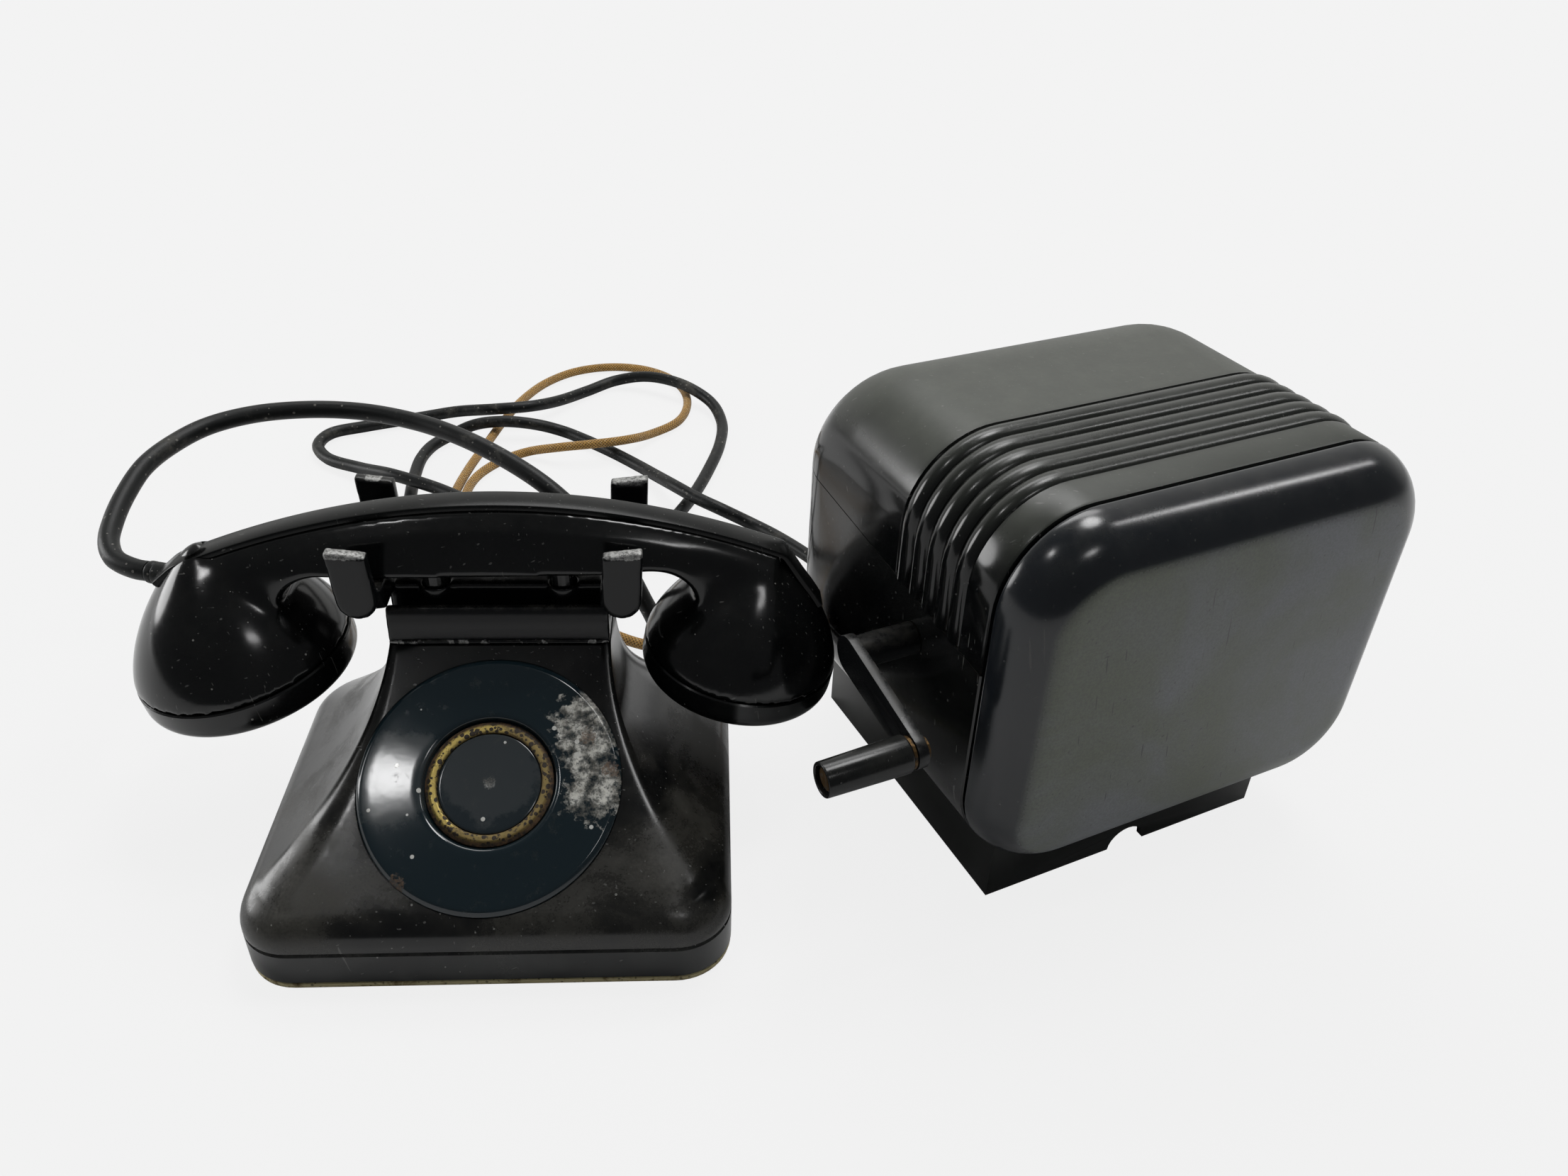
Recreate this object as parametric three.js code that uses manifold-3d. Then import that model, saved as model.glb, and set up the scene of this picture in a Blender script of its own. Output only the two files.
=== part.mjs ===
// Field telephone: a desk set without a dial, and the magneto box that it is wired to.
// Millimetres, +Z up. The origin is the middle of the telephone's underside, with +Y away from
// the user and +X to the right. The box stands at the right, turned towards the user.

import * as THREE from "three";
import { mergeVertices } from "three/addons/utils/BufferGeometryUtils.js";
import Module from "manifold-3d";

const wasm = await Module();
wasm.setup();

// Clearances
const FIT = 0.3;
const SEAM = 0.4;
const RUNNING = 0.5;

// Telephone base
const BASE_WIDTH = 156;
const BASE_DEPTH = 126;
const BASE_CORNER = 18;
const PLATE_THICKNESS = 2.4;
const PLATE_INSET = 0.6;
const BAND_TOP = 16;
const BAND_WALL = 3;

// Telephone shell
const SHELL_WALL = 3;
const SHOULDER_RADIUS = 13;
const REAR_SHOULDER = 5;
const FACE_FOOT_Y = -54.6;
const FACE_FOOT_Z = 30;
const LIP_Y = 17.5;
const SHELF_Z = 75;
const NECK_HALF_WIDTH = 37.2;
const NECK_REAR_Y = 52;
const NECK_FRONT_CORNER = 4;
const NECK_REAR_CORNER = 9;
const WAIST_REAR_CORNER = 34;
const FLARE_POWER = 1.85;
const SKIRT_CORNER = 15;
const NECK_OPENING_WIDTH = 56;
const NECK_OPENING_DEPTH = 22;
const NECK_OPENING_Y = 37;

// Dial blank
const DIAL_RADIUS = 42.3;
const DIAL_CENTRE_Y = -22.8;
const DIAL_HEIGHT = 1.8;
const DIAL_RECESS = 0.8;
const DIAL_PLUG_RADIUS = 35.5;
const DIAL_PLUG_DEPTH = 5;
const DIAL_WELL_RADIUS = 21.4;
const DIAL_WELL_DEPTH = 2.2;
const DIAL_RING_OUTER = 20.6;
const DIAL_RING_INNER = 16.8;
const DIAL_RING_HEIGHT = 1.9;
const DIAL_DISC_THICKNESS = 1.1;

// Cradle
const SADDLE_HALF_WIDTH = 37;
const SADDLE_LIP_Z = 88.8;
const SADDLE_LIP_THICKNESS = 3;
const SADDLE_LIP_LEAN = 2;
const TROUGH_Z = 81;
const PLATFORM_FRONT_Y = 28.5;
const PLATFORM_REAR_Y = 54.5;
const PLATFORM_Z = 93;
const PLATFORM_WALL = 3;
const CRADLE_Y = 33.5;
const ARM_X = 42.3;
const ARM_WIDTH = 8;
const ARM_BOTTOM_Z = 90.5;
const PRONG_WIDTH = 13;
const PRONG_THICKNESS = 4.6;
const PRONG_GAP = 39;
const FRONT_PRONG_TIP_Z = 116.6;
const FRONT_PRONG_FOOT_Z = 91.5;
const REAR_PRONG_TIP_Z = 118.6;
const PRONG_SPREAD = 1;

// Hook switch
const PLUNGER_X = 21.3;
const PLUNGER_Y = 30.6;
const PLUNGER_RADIUS = 4.2;
const PLUNGER_GUIDE_RADIUS = 5.7;
const PLUNGER_STEM_RADIUS = 2;
const PLUNGER_FOOT_Z = 68;
const PLUNGER_HEAD_LENGTH = 12;
const LEVER_PIVOT_Y = 42;
const LEVER_PIVOT_Z = 61.5;
const LEVER_HALF_WIDTH = 25;
const LEVER_THICKNESS = 1.3;
const LEVER_HUB_RADIUS = 2.6;
const LEVER_PIN_RADIUS = 1.2;
const BRACKET_Y = 46;
const BRACKET_THICKNESS = 1.5;
const BRACKET_HALF_WIDTH = 27.5;
const BRACKET_FOOT_DEPTH = 14;
const BLADE_COUNT = 4;
const BLADE_PITCH = 3.4;
const BLADE_THICKNESS = 0.8;
const BLADE_WIDTH = 7;
const BLADE_LENGTH = 24;
const BLADE_BLOCK_DEPTH = 6;
const BLADE_STACK_Z = 42;

// Handset
const HANDLE_BOTTOM_Z = 101;
const HANDLE_TOP_Z = 123.6;
const HANDLE_DROP = 19.76;
const HANDLE_HALF_DEPTH = 15.2;
const HANDLE_TOP_HALF = 8;
const HANDLE_BEVEL = 2.7;
const HANDLE_EDGE = 2.6;
const HANDLE_REACH = 97;
const HANDLE_FILLET = 15;
const HANDLE_FILLET_X = 54;
const HANDLE_STATIONS = 4;
const STRIP_HALF_WIDTH = 7;
const STRIP_THICKNESS = 1.9;
const STRIP_ROUND = 0.7;
const STRIP_STATIONS = 10;
const STRIP_TAIL_START = 9.6;
const STRIP_TAIL_DROP = 9.4;
const STRIP_TAIL_STEPS = 2;
const TRANSMITTER_X = 88;
const TRANSMITTER_Z = 65;
const TRANSMITTER_RADIUS = 36.6;
const RECEIVER_X = 84.5;
const RECEIVER_Z = 62;
const RECEIVER_RADIUS = 34.6;
const LOBE_HEIGHT = 43;
const LOBE_TILT = THREE.MathUtils.degToRad(10);
const LOBE_WALL = 3.2;
const CAP_HEIGHT = 13;
const CAP_EDGE = 7;
const CAP_WALL = 3;
const CAP_DISH = 1.2;
const CAP_HOLE_RADIUS = 1.8;
const CAP_HOLE_COUNT = 6;
const CAP_HOLE_CIRCLE = 14;
const CAPSULE_RADIUS = 26;
const CAPSULE_HEIGHT = 14;
const HANDSET_SHIFT_X = -2.4;
const HANDSET_TURN = THREE.MathUtils.degToRad(1.6);

// Ringer and set parts
const CHASSIS_Z = 8;
const CHASSIS_THICKNESS = 1.5;
const CHASSIS_WIDTH = 132;
const CHASSIS_DEPTH = 96;
const CHASSIS_CORNER = 8;
const CHASSIS_POST_RADIUS = 4;
const CHASSIS_POST_X = 56;
const CHASSIS_POST_Y = 38;
const SCREW_RADIUS = 1.5;
const SCREW_HEAD_RADIUS = 3.2;
const SCREW_HEAD_HEIGHT = 1.3;
const GONG_RADIUS = 19;
const GONG_HEIGHT = 10;
const GONG_WALL = 1.6;
const GONG_Z = 15;
const GONG_Y = 24;
const GONG_POST_RADIUS = 3;
const STRIKE_GAP = 1.2;
const COIL_RADIUS = 7.5;
const COIL_FLANGE = 1.2;
const COIL_LENGTH = 24;
const COIL_X = 9;
const COIL_CORE_RADIUS = 3;
const COIL_FRONT_Y = -44;
const YOKE_THICKNESS = 3;
const YOKE_FOOT = 1.5;
const CLAPPER_PIVOT_Y = -16;
const CLAPPER_PIVOT_RADIUS = 1.5;
const CLAPPER_HUB_RADIUS = 3.2;
const CLAPPER_HUB_HEIGHT = 8;
const CLAPPER_BALL_RADIUS = 3.4;
const CLAPPER_ROD_RADIUS = 1.1;
const ARMATURE_BAR_THICKNESS = 2;
const INDUCTION_X = -52;
const INDUCTION_Y = -8;
const INDUCTION_LENGTH = 38;
const INDUCTION_RADIUS = 7.5;
const INDUCTION_FLANGE = 18;
const CAPACITOR_SIZE = [18, 40, 17];
const CAPACITOR_X = 52;
const CAPACITOR_Y = -8;
const BLOCK_SIZE = [26, 12, 9];
const BLOCK_X = -52;
const BLOCK_Y = -38;
const BLOCK_SCREW_COUNT = 4;
const BLOCK_SCREW_RADIUS = 2;
const BLOCK_SCREW_HEIGHT = 2;

// Magneto box
const BOX_TURN = THREE.MathUtils.degToRad(22.9);
const BOX_X = 167.2;
const BOX_Y = -29;
const PLINTH_WIDTH = 119;
const PLINTH_DEPTH = 117;
const PLINTH_HEIGHT = 25.2;
const PLINTH_WALL = 3;
const NOTCH_X = 61;
const NOTCH_RADIUS = 8;
const BODY_OVERHANG_LEFT = 17.5;
const BODY_OVERHANG_RIGHT = 22;
const BODY_TOP_Z = 157.5;
const BODY_FRONT_Y = 0;
const BODY_REAR_Y = 130;
const BODY_CORNER = 31;
const BODY_REAR_ROUND = 24;
const BODY_REAR_CROWN = 42;
const BODY_WALL = 3.2;
const LID_SEAM_FRONT_Z = 104;
const LID_SEAM_REAR_Z = 116;
const BAND_WIDTH = 13;
const BEAD_COUNT = 5;
const BEAD_PITCH = 7.6;
const BEAD_HEIGHT = 1.5;
const BEAD_GROOVE = 0.5;
const COVER_GAP = 1;
const COVER_ROUND = 18;
const COVER_CROWN = 1.2;
const COVER_WALL = 3;
const COVER_SPIGOT_DEPTH = 6;
const COVER_SPIGOT_WALL = 2;

// Crank
const CRANK_Y = 37.5;
const CRANK_Z = 92.5;
const CRANK_PLANE = 22.5;
const CRANK_LENGTH = 41.5;
const CRANK_DROP = THREE.MathUtils.degToRad(9.5);
const CRANK_HUB_RADIUS = 6.5;
const CRANK_TIP_RADIUS = 5.6;
const CRANK_THICKNESS = 3.4;
const CRANK_BOSS_RADIUS = 5.5;
const CRANK_SHAFT_RADIUS = 3;
const BUSH_WALL = 2;
const BUSH_FLANGE = 3;
const GRIP_LENGTH = 28;
const GRIP_RADIUS = 6;
const GRIP_TAPER = 0.5;
const GRIP_HOLLOW_RADIUS = 4.4;
const GRIP_HOLLOW_DEPTH = 3;
const GRIP_PIN_RADIUS = 2;
const GRIP_PIN_HEAD = 3.6;
const GRIP_PIN_HEAD_HEIGHT = 1.4;
const WASHER_RADIUS = 5.2;
const WASHER_THICKNESS = 1;

// Generator
const GENERATOR_X = 16;
const GENERATOR_LENGTH = 42;
const GENERATOR_PLATE = 2.5;
const GENERATOR_HALF_DEPTH = 26;
const DRIVE_GEAR_RADIUS = 26;
const DRIVE_GEAR_TEETH = 30;
const PINION_RADIUS = 5.2;
const PINION_TEETH = 6;
const GEAR_WIDTH = 5;
const TOOTH_HEIGHT = 1.6;
const MAGNET_COUNT = 2;
const MAGNET_THICKNESS = 13;
const MAGNET_PITCH = 16;
const MAGNET_OUTER = 22;
const MAGNET_LIMB = 8;
const MAGNET_FOOT_DROP = 16;
const ARMATURE_RADIUS = 10;
const ARMATURE_LENGTH = 32;
const ARMATURE_SLOT = 7;
const ARMATURE_SHAFT_RADIUS = 2.5;
const POLE_HALF_HEIGHT = 9;
const GENERATOR_FLOOR = 2;

// Cells and terminals
const CELL_RADIUS = 16;
const CELL_LENGTH = 84;
const CELL_CAP_RADIUS = 4;
const CELL_CAP_HEIGHT = 3;
const CELL_X = 90;
const CELL_Y = 42;
const CELL_GAP = 5;
const TRAY_WALL = 2;
const TRAY_HEIGHT = 14;
const BOARD_X = 18;
const BOARD_WIDTH = 46;
const BOARD_HEIGHT = 42;
const BOARD_THICKNESS = 3;
const BOARD_Y = 84;
const BOARD_FOOT = 8;
const TERMINAL_COUNT = 4;
const TERMINAL_PITCH = 10.5;
const TERMINAL_RADIUS = 3.4;
const TERMINAL_LENGTH = 5;
const TERMINAL_DROP = 8;

// Cords, measured from the photograph
const HANDSET_CORD_DIAMETER = 7;
const CABLE_DIAMETER = 6.4;
const TEXTILE_DIAMETER = 4.8;
const PHONE_GLAND_Z = 9.5;
const HANDSET_GLAND_X = 52;
const LONG_GLAND_X = 14;
const TEXTILE_GLAND_X = -30;
const SHORT_GLAND_X = -55;
const BOX_GLAND_Z = 10;
const BOX_TEXTILE_X = 18;
const BOX_LONG_X = 38;
const BOX_SHORT_X = 58;
const GLAND_LENGTH = 9;
const GLAND_TIP_WALL = 0.8;
const GLAND_SHANK_WALL = 1.4;
const GLAND_COLLAR_WALL = 2.4;
const GLAND_FLANGE = 1.5;
const SLEEVE_WALL = 0.9;
const SLEEVE_INNER = 15;
const SLEEVE_OUTER = 24;
const SLEEVE_HEIGHT = 27;
const SLEEVE_ANGLE = THREE.MathUtils.degToRad(162);
const CORD_SIDES = 8;
const CORD_STEP = 2.4;

// Materials
const BAKELITE = { color: 0x15161a, roughness: 0.28, metalness: 0 };
const PAINTED_METAL = { color: 0x101215, roughness: 0.35, metalness: 0.2 };
const WORN_BRASS = { color: 0x8d7434, roughness: 0.5, metalness: 0.9 };
const OLIVE_PLATE = { color: 0x5c5230, roughness: 0.65, metalness: 0.5 };
const STEEL = { color: 0x8c8f93, roughness: 0.4, metalness: 1 };
const COPPER_COIL = { color: 0x6b3020, roughness: 0.55, metalness: 0.3 };
const MAGNET_RED = { color: 0x4a1d18, roughness: 0.6, metalness: 0.4 };
const RUBBER = { color: 0x1c1d1f, roughness: 0.8, metalness: 0 };
const TEXTILE = { color: 0x6e4a1e, roughness: 0.95, metalness: 0 };
const ZINC = { color: 0x9a9b97, roughness: 0.55, metalness: 0.8 };
const CELL_PAPER = { color: 0x6a5b3c, roughness: 0.9, metalness: 0 };
const FIBRE = { color: 0x3b2a1d, roughness: 0.75, metalness: 0 };

const part = new THREE.Group();
const boxGroup = new THREE.Group();
const handsetGroup = new THREE.Group();
boxGroup.position.set(BOX_X, BOX_Y, 0);
boxGroup.rotation.z = BOX_TURN;
handsetGroup.position.set(HANDSET_SHIFT_X, CRADLE_Y, 0);
handsetGroup.rotation.z = HANDSET_TURN;
part.add(boxGroup, handsetGroup);

function addPart(name, body, finish, group = part) {
  const geometry = body.isBufferGeometry ? body : toGeometry(body);
  const mesh = new THREE.Mesh(geometry, new THREE.MeshStandardMaterial(finish));
  mesh.name = name;
  group.add(mesh);
  return mesh;
}

// Solids
function toSolid(geometry) {
  const bare = geometry.clone();
  for (const key of Object.keys(bare.attributes)) {
    if (key !== "position") bare.deleteAttribute(key);
  }
  const welded = mergeVertices(bare, 1e-4);
  const vertProperties = new Float32Array(welded.attributes.position.array);
  const triVerts = new Uint32Array(welded.index.array);
  return new wasm.Manifold(new wasm.Mesh({ numProp: 3, vertProperties, triVerts }));
}

function toGeometry(solid) {
  const data = solid.getMesh();
  const geometry = new THREE.BufferGeometry();
  geometry.setAttribute("position", new THREE.BufferAttribute(data.vertProperties, 3));
  geometry.setIndex(new THREE.BufferAttribute(data.triVerts, 1));
  geometry.computeVertexNormals();
  return geometry;
}

function place(geometry, position, rotation = [0, 0, 0]) {
  const turn = new THREE.Quaternion().setFromEuler(new THREE.Euler(...rotation));
  const matrix = new THREE.Matrix4().compose(
    new THREE.Vector3(...position), turn, new THREE.Vector3(1, 1, 1));
  return geometry.clone().applyMatrix4(matrix);
}

function box(low, high) {
  const size = high.map((value, i) => value - low[i]);
  const middle = high.map((value, i) => (value + low[i]) / 2);
  return toSolid(place(new THREE.BoxGeometry(...size), middle));
}

function cylinder(radius, low, high, x = 0, y = 0, sides = 24, topRadius = radius) {
  const geometry = new THREE.CylinderGeometry(topRadius, radius, high - low, sides);
  return toSolid(place(geometry, [x, y, (low + high) / 2], [Math.PI / 2, 0, 0]));
}

// A round bar along X between two places
function barX(radius, fromX, toX, y, z, sides = 20, endRadius = radius) {
  const geometry = new THREE.CylinderGeometry(radius, endRadius, toX - fromX, sides);
  return toSolid(place(geometry, [(fromX + toX) / 2, y, z], [0, 0, Math.PI / 2]));
}

// A round bar along Y between two places
function barY(radius, fromY, toY, x, z, sides = 20) {
  const geometry = new THREE.CylinderGeometry(radius, radius, toY - fromY, sides);
  return toSolid(place(geometry, [x, (fromY + toY) / 2, z]));
}

// A turned piece about Z from points of radius and height
function turned(points, sides = 48) {
  const profile = points.map(([radius, height]) => new THREE.Vector2(radius, height));
  const geometry = new THREE.LatheGeometry(profile, sides);
  return toSolid(place(geometry, [0, 0, 0], [Math.PI / 2, 0, 0]));
}

function moved(solid, position, rotation = [0, 0, 0]) {
  return toSolid(place(toGeometry(solid), position, rotation));
}

function union(...solids) {
  return solids.reduce((sum, solid) => sum.add(solid));
}

// A flat outline in X and Y raised between two heights
function raised(points, low, high) {
  const shape = new THREE.Shape(points.map(([x, y]) => new THREE.Vector2(x, y)));
  const geometry = new THREE.ExtrudeGeometry(shape, { depth: high - low, bevelEnabled: false });
  return toSolid(place(geometry, [0, 0, low]));
}

// A side outline in Y and Z drawn out along X
function drawnX(points, fromX, toX) {
  const shape = new THREE.Shape(points.map(([y, z]) => new THREE.Vector2(y, z)));
  const geometry = new THREE.ExtrudeGeometry(shape, { depth: toX - fromX, bevelEnabled: false });
  const turn = new THREE.Matrix4().makeBasis(
    new THREE.Vector3(0, 1, 0), new THREE.Vector3(0, 0, 1), new THREE.Vector3(1, 0, 0));
  turn.setPosition(fromX, 0, 0);
  return toSolid(geometry.applyMatrix4(turn));
}

// A front outline in X and Z drawn out along Y
function drawnY(points, fromY, toY) {
  const shape = new THREE.Shape(points.map(([x, z]) => new THREE.Vector2(x, z)));
  const geometry = new THREE.ExtrudeGeometry(shape, { depth: toY - fromY, bevelEnabled: false });
  const turn = new THREE.Matrix4().makeBasis(
    new THREE.Vector3(1, 0, 0), new THREE.Vector3(0, 0, 1), new THREE.Vector3(0, -1, 0));
  turn.setPosition(0, toY, 0);
  return toSolid(geometry.applyMatrix4(turn));
}

// A closed skin over rings that all have as many points
function loft(rings) {
  const count = rings[0].length;
  const positions = rings.flat().flatMap((point) => point);
  const index = [];
  for (let row = 0; row < rings.length - 1; row += 1) {
    for (let i = 0; i < count; i += 1) {
      const next = (i + 1) % count;
      const a = row * count + i;
      const b = row * count + next;
      index.push(a, b, b + count, a, b + count, a + count);
    }
  }
  for (const [row, flip] of [[0, true], [rings.length - 1, false]]) {
    const ring = rings[row];
    const middle = ring.reduce((sum, point) => sum.map((value, k) => value + point[k] / count),
      [0, 0, 0]);
    const hub = positions.length / 3;
    positions.push(...middle);
    for (let i = 0; i < count; i += 1) {
      const a = row * count + i;
      const b = row * count + (i + 1) % count;
      index.push(...(flip ? [hub, b, a] : [hub, a, b]));
    }
  }
  const geometry = new THREE.BufferGeometry();
  geometry.setAttribute("position", new THREE.Float32BufferAttribute(positions, 3));
  geometry.setIndex(index);
  return toSolid(geometry);
}

// A rounded oblong, counter-clockwise, with its own corner at the front and at the rear
function roundedOblong(halfWidth, front, rear, frontCorner, rearCorner, steps = 5) {
  const points = [];
  const corners = [
    [halfWidth - frontCorner, front + frontCorner, frontCorner, -Math.PI / 2],
    [halfWidth - rearCorner, rear - rearCorner, rearCorner, 0],
    [-halfWidth + rearCorner, rear - rearCorner, rearCorner, Math.PI / 2],
    [-halfWidth + frontCorner, front + frontCorner, frontCorner, Math.PI],
  ];
  for (const [x, y, radius, start] of corners) {
    for (let i = 0; i <= steps; i += 1) {
      const angle = start + (Math.PI / 2) * (i / steps);
      points.push([x + radius * Math.cos(angle), y + radius * Math.sin(angle)]);
    }
  }
  return points;
}

function slab(halfWidth, front, rear, corner, low, high) {
  return raised(roundedOblong(halfWidth, front, rear, corner, corner), low, high);
}

// Telephone shell: level outlines from the band up to the shelf
const HALF_BASE = BASE_WIDTH / 2;
const FRONT_Y = -BASE_DEPTH / 2;
const REAR_Y = BASE_DEPTH / 2;
const FACE_TILT = Math.atan2(SHELF_Z - FACE_FOOT_Z, LIP_Y - FACE_FOOT_Y);
const SHOULDER_TURN = Math.PI / 2 - FACE_TILT;
const SHOULDER_INSET = SHOULDER_RADIUS * (1 - Math.cos(SHOULDER_TURN));
const SHOULDER_RISE = SHOULDER_RADIUS * Math.sin(SHOULDER_TURN);
const SHOULDER_TOP_Z = FACE_FOOT_Z + (FRONT_Y + SHOULDER_INSET - FACE_FOOT_Y) * Math.tan(FACE_TILT);
const SHOULDER_STEPS = 5;
const FLARE_STEPS = 10;
const SHELL_BOTTOM_Z = BAND_TOP + SEAM;

function faceY(z) {
  return FACE_FOOT_Y + (z - FACE_FOOT_Z) / Math.tan(FACE_TILT);
}

function shellLevel(z, inset, rearInset, rise, wall) {
  const flare = (1 - rise) ** FLARE_POWER;
  const halfWidth = rise > 0
    ? NECK_HALF_WIDTH + (HALF_BASE - SHOULDER_INSET - NECK_HALF_WIDTH) * flare
    : HALF_BASE - inset;
  const front = rise > 0 ? faceY(z) : FRONT_Y + inset;
  const rearFoot = REAR_Y - rearInset;
  const rear = rearFoot + (NECK_REAR_Y - rearFoot) * rise;
  const frontCorner = NECK_FRONT_CORNER + (SKIRT_CORNER - NECK_FRONT_CORNER) * flare;
  const waist = 4 * rise * (1 - rise);
  const rearCorner = NECK_REAR_CORNER + (BASE_CORNER - NECK_REAR_CORNER) * flare
    + (WAIST_REAR_CORNER - BASE_CORNER) * waist;
  const low = rise > 0 ? frontCorner : BASE_CORNER;
  const corner = Math.max(low - wall, 1);
  const back = Math.max((rise > 0 ? rearCorner : BASE_CORNER) - wall, 1);
  const slope = rise > 0 ? wall / Math.sin(FACE_TILT) : wall;
  return roundedOblong(halfWidth - wall, front + slope, rear - wall, corner, back)
    .map(([x, y]) => [x, y, z]);
}

function shellRings(wall, bottom, top) {
  const rings = [shellLevel(bottom, 0, 0, 0, wall)];
  const arcFoot = SHOULDER_TOP_Z - SHOULDER_RISE;
  for (let i = 1; i <= SHOULDER_STEPS; i += 1) {
    const angle = SHOULDER_TURN * (i / SHOULDER_STEPS);
    const inset = SHOULDER_RADIUS * (1 - Math.cos(angle));
    const rearInset = REAR_SHOULDER * (1 - Math.cos(angle));
    rings.push(shellLevel(arcFoot + SHOULDER_RADIUS * Math.sin(angle), inset, rearInset, 0, wall));
  }
  const rearFootInset = REAR_SHOULDER * (1 - Math.cos(SHOULDER_TURN));
  for (let i = 1; i <= FLARE_STEPS; i += 1) {
    const rise = i / FLARE_STEPS;
    const z = SHOULDER_TOP_Z + (SHELF_Z - SHOULDER_TOP_Z) * rise;
    if (z < top) rings.push(shellLevel(z, SHOULDER_INSET, rearFootInset, rise, wall));
  }
  const last = (top - SHOULDER_TOP_Z) / (SHELF_Z - SHOULDER_TOP_Z);
  rings.push(shellLevel(top, SHOULDER_INSET, rearFootInset, last, wall));
  return rings;
}

const DIAL_CENTRE_Z = FACE_FOOT_Z + (DIAL_CENTRE_Y - FACE_FOOT_Y) * Math.tan(FACE_TILT);
const DIAL_PLACE = [0, DIAL_CENTRE_Y, DIAL_CENTRE_Z];
const DIAL_LEAN = [FACE_TILT, 0, 0];

function onFace(solid) {
  return moved(solid, DIAL_PLACE, DIAL_LEAN);
}

function makeBasePlate() {
  return slab(HALF_BASE - PLATE_INSET, FRONT_Y + PLATE_INSET, REAR_Y - PLATE_INSET,
    BASE_CORNER - PLATE_INSET, 0, PLATE_THICKNESS);
}

const PHONE_GLANDS = [
  [HANDSET_GLAND_X, HANDSET_CORD_DIAMETER],
  [LONG_GLAND_X, CABLE_DIAMETER],
  [TEXTILE_GLAND_X, TEXTILE_DIAMETER],
  [SHORT_GLAND_X, CABLE_DIAMETER],
];

function makeBaseBand() {
  const outer = slab(HALF_BASE, FRONT_Y, REAR_Y, BASE_CORNER, PLATE_THICKNESS + FIT, BAND_TOP);
  const inner = slab(HALF_BASE - BAND_WALL, FRONT_Y + BAND_WALL, REAR_Y - BAND_WALL,
    BASE_CORNER - BAND_WALL, 0, BAND_TOP + 1);
  let band = outer.subtract(inner);
  for (const [x, diameter] of PHONE_GLANDS) {
    band = band.subtract(glandHole(x, REAR_Y, PHONE_GLAND_Z, diameter, BAND_WALL));
  }
  return band;
}

// A cord gland through a wall whose outer face looks along Y
function glandHole(x, y, z, diameter, wall) {
  return barY(diameter / 2 + GLAND_SHANK_WALL + FIT, y - wall - 1, y + 1, x, z, 10);
}

function makeGland(x, y, z, diameter, wall) {
  const bore = diameter / 2;
  const back = -wall - FIT;
  const gland = turned([
    [0, back - GLAND_FLANGE],
    [bore + GLAND_COLLAR_WALL, back - GLAND_FLANGE],
    [bore + GLAND_COLLAR_WALL, back],
    [bore + GLAND_SHANK_WALL, back],
    [bore + GLAND_SHANK_WALL, FIT],
    [bore + GLAND_COLLAR_WALL, FIT],
    [bore + GLAND_TIP_WALL, GLAND_LENGTH],
    [0, GLAND_LENGTH],
  ], 10);
  return moved(gland, [x, y, z], [-Math.PI / 2, 0, 0]);
}

function makePhoneShell() {
  const outer = loft(shellRings(0, SHELL_BOTTOM_Z, SHELF_Z));
  const inner = loft(shellRings(SHELL_WALL, SHELL_BOTTOM_Z - 1, SHELF_Z - SHELL_WALL));
  const neck = box(
    [-NECK_OPENING_WIDTH / 2, NECK_OPENING_Y - NECK_OPENING_DEPTH / 2, SHELF_Z - 2 * SHELL_WALL],
    [NECK_OPENING_WIDTH / 2, NECK_OPENING_Y + NECK_OPENING_DEPTH / 2, SHELF_Z + 1]);
  const dialHole = onFace(cylinder(DIAL_PLUG_RADIUS + FIT, -3 * SHELL_WALL, SHELL_WALL, 0, 0, 40));
  const dialSeat = onFace(cylinder(DIAL_RADIUS + FIT, -DIAL_RECESS, SHELL_WALL, 0, 0, 40));
  return outer.subtract(inner).subtract(neck).subtract(dialHole).subtract(dialSeat);
}

function makeDialBlank() {
  const top = DIAL_HEIGHT;
  const seat = -DIAL_RECESS + FIT;
  return onFace(turned([
    [0, -DIAL_PLUG_DEPTH],
    [DIAL_PLUG_RADIUS, -DIAL_PLUG_DEPTH],
    [DIAL_PLUG_RADIUS, seat],
    [DIAL_RADIUS, seat],
    [DIAL_RADIUS, top - 1.8],
    [DIAL_RADIUS - 0.6, top - 0.7],
    [DIAL_RADIUS - 2, top],
    [DIAL_RADIUS - 6, top - 0.3],
    [DIAL_WELL_RADIUS + 3, top - 0.6],
    [DIAL_WELL_RADIUS + 1.2, top - 0.1],
    [DIAL_WELL_RADIUS, top - 0.6],
    [DIAL_WELL_RADIUS - 0.4, top - DIAL_WELL_DEPTH],
    [0, top - DIAL_WELL_DEPTH],
  ], 40));
}

function makeDialRing() {
  const low = DIAL_HEIGHT - DIAL_WELL_DEPTH + FIT;
  const high = low + DIAL_RING_HEIGHT;
  return onFace(turned([
    [DIAL_RING_INNER, low],
    [DIAL_RING_OUTER, low],
    [DIAL_RING_OUTER, high - 0.9],
    [DIAL_RING_OUTER - 0.9, high - 0.1],
    [DIAL_RING_INNER + 1.6, high],
    [DIAL_RING_INNER, high - 0.8],
    [DIAL_RING_INNER, low],
  ], 36));
}

function makeDialDisc() {
  const low = DIAL_HEIGHT - DIAL_WELL_DEPTH + FIT;
  const high = low + DIAL_DISC_THICKNESS;
  const edge = DIAL_RING_INNER - FIT;
  return onFace(turned([
    [0, low], [edge, low], [edge, high - 0.3], [edge - 0.6, high], [1.6, high], [0.8, high - 0.3],
    [0, high - 0.3],
  ], 36));
}

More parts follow.
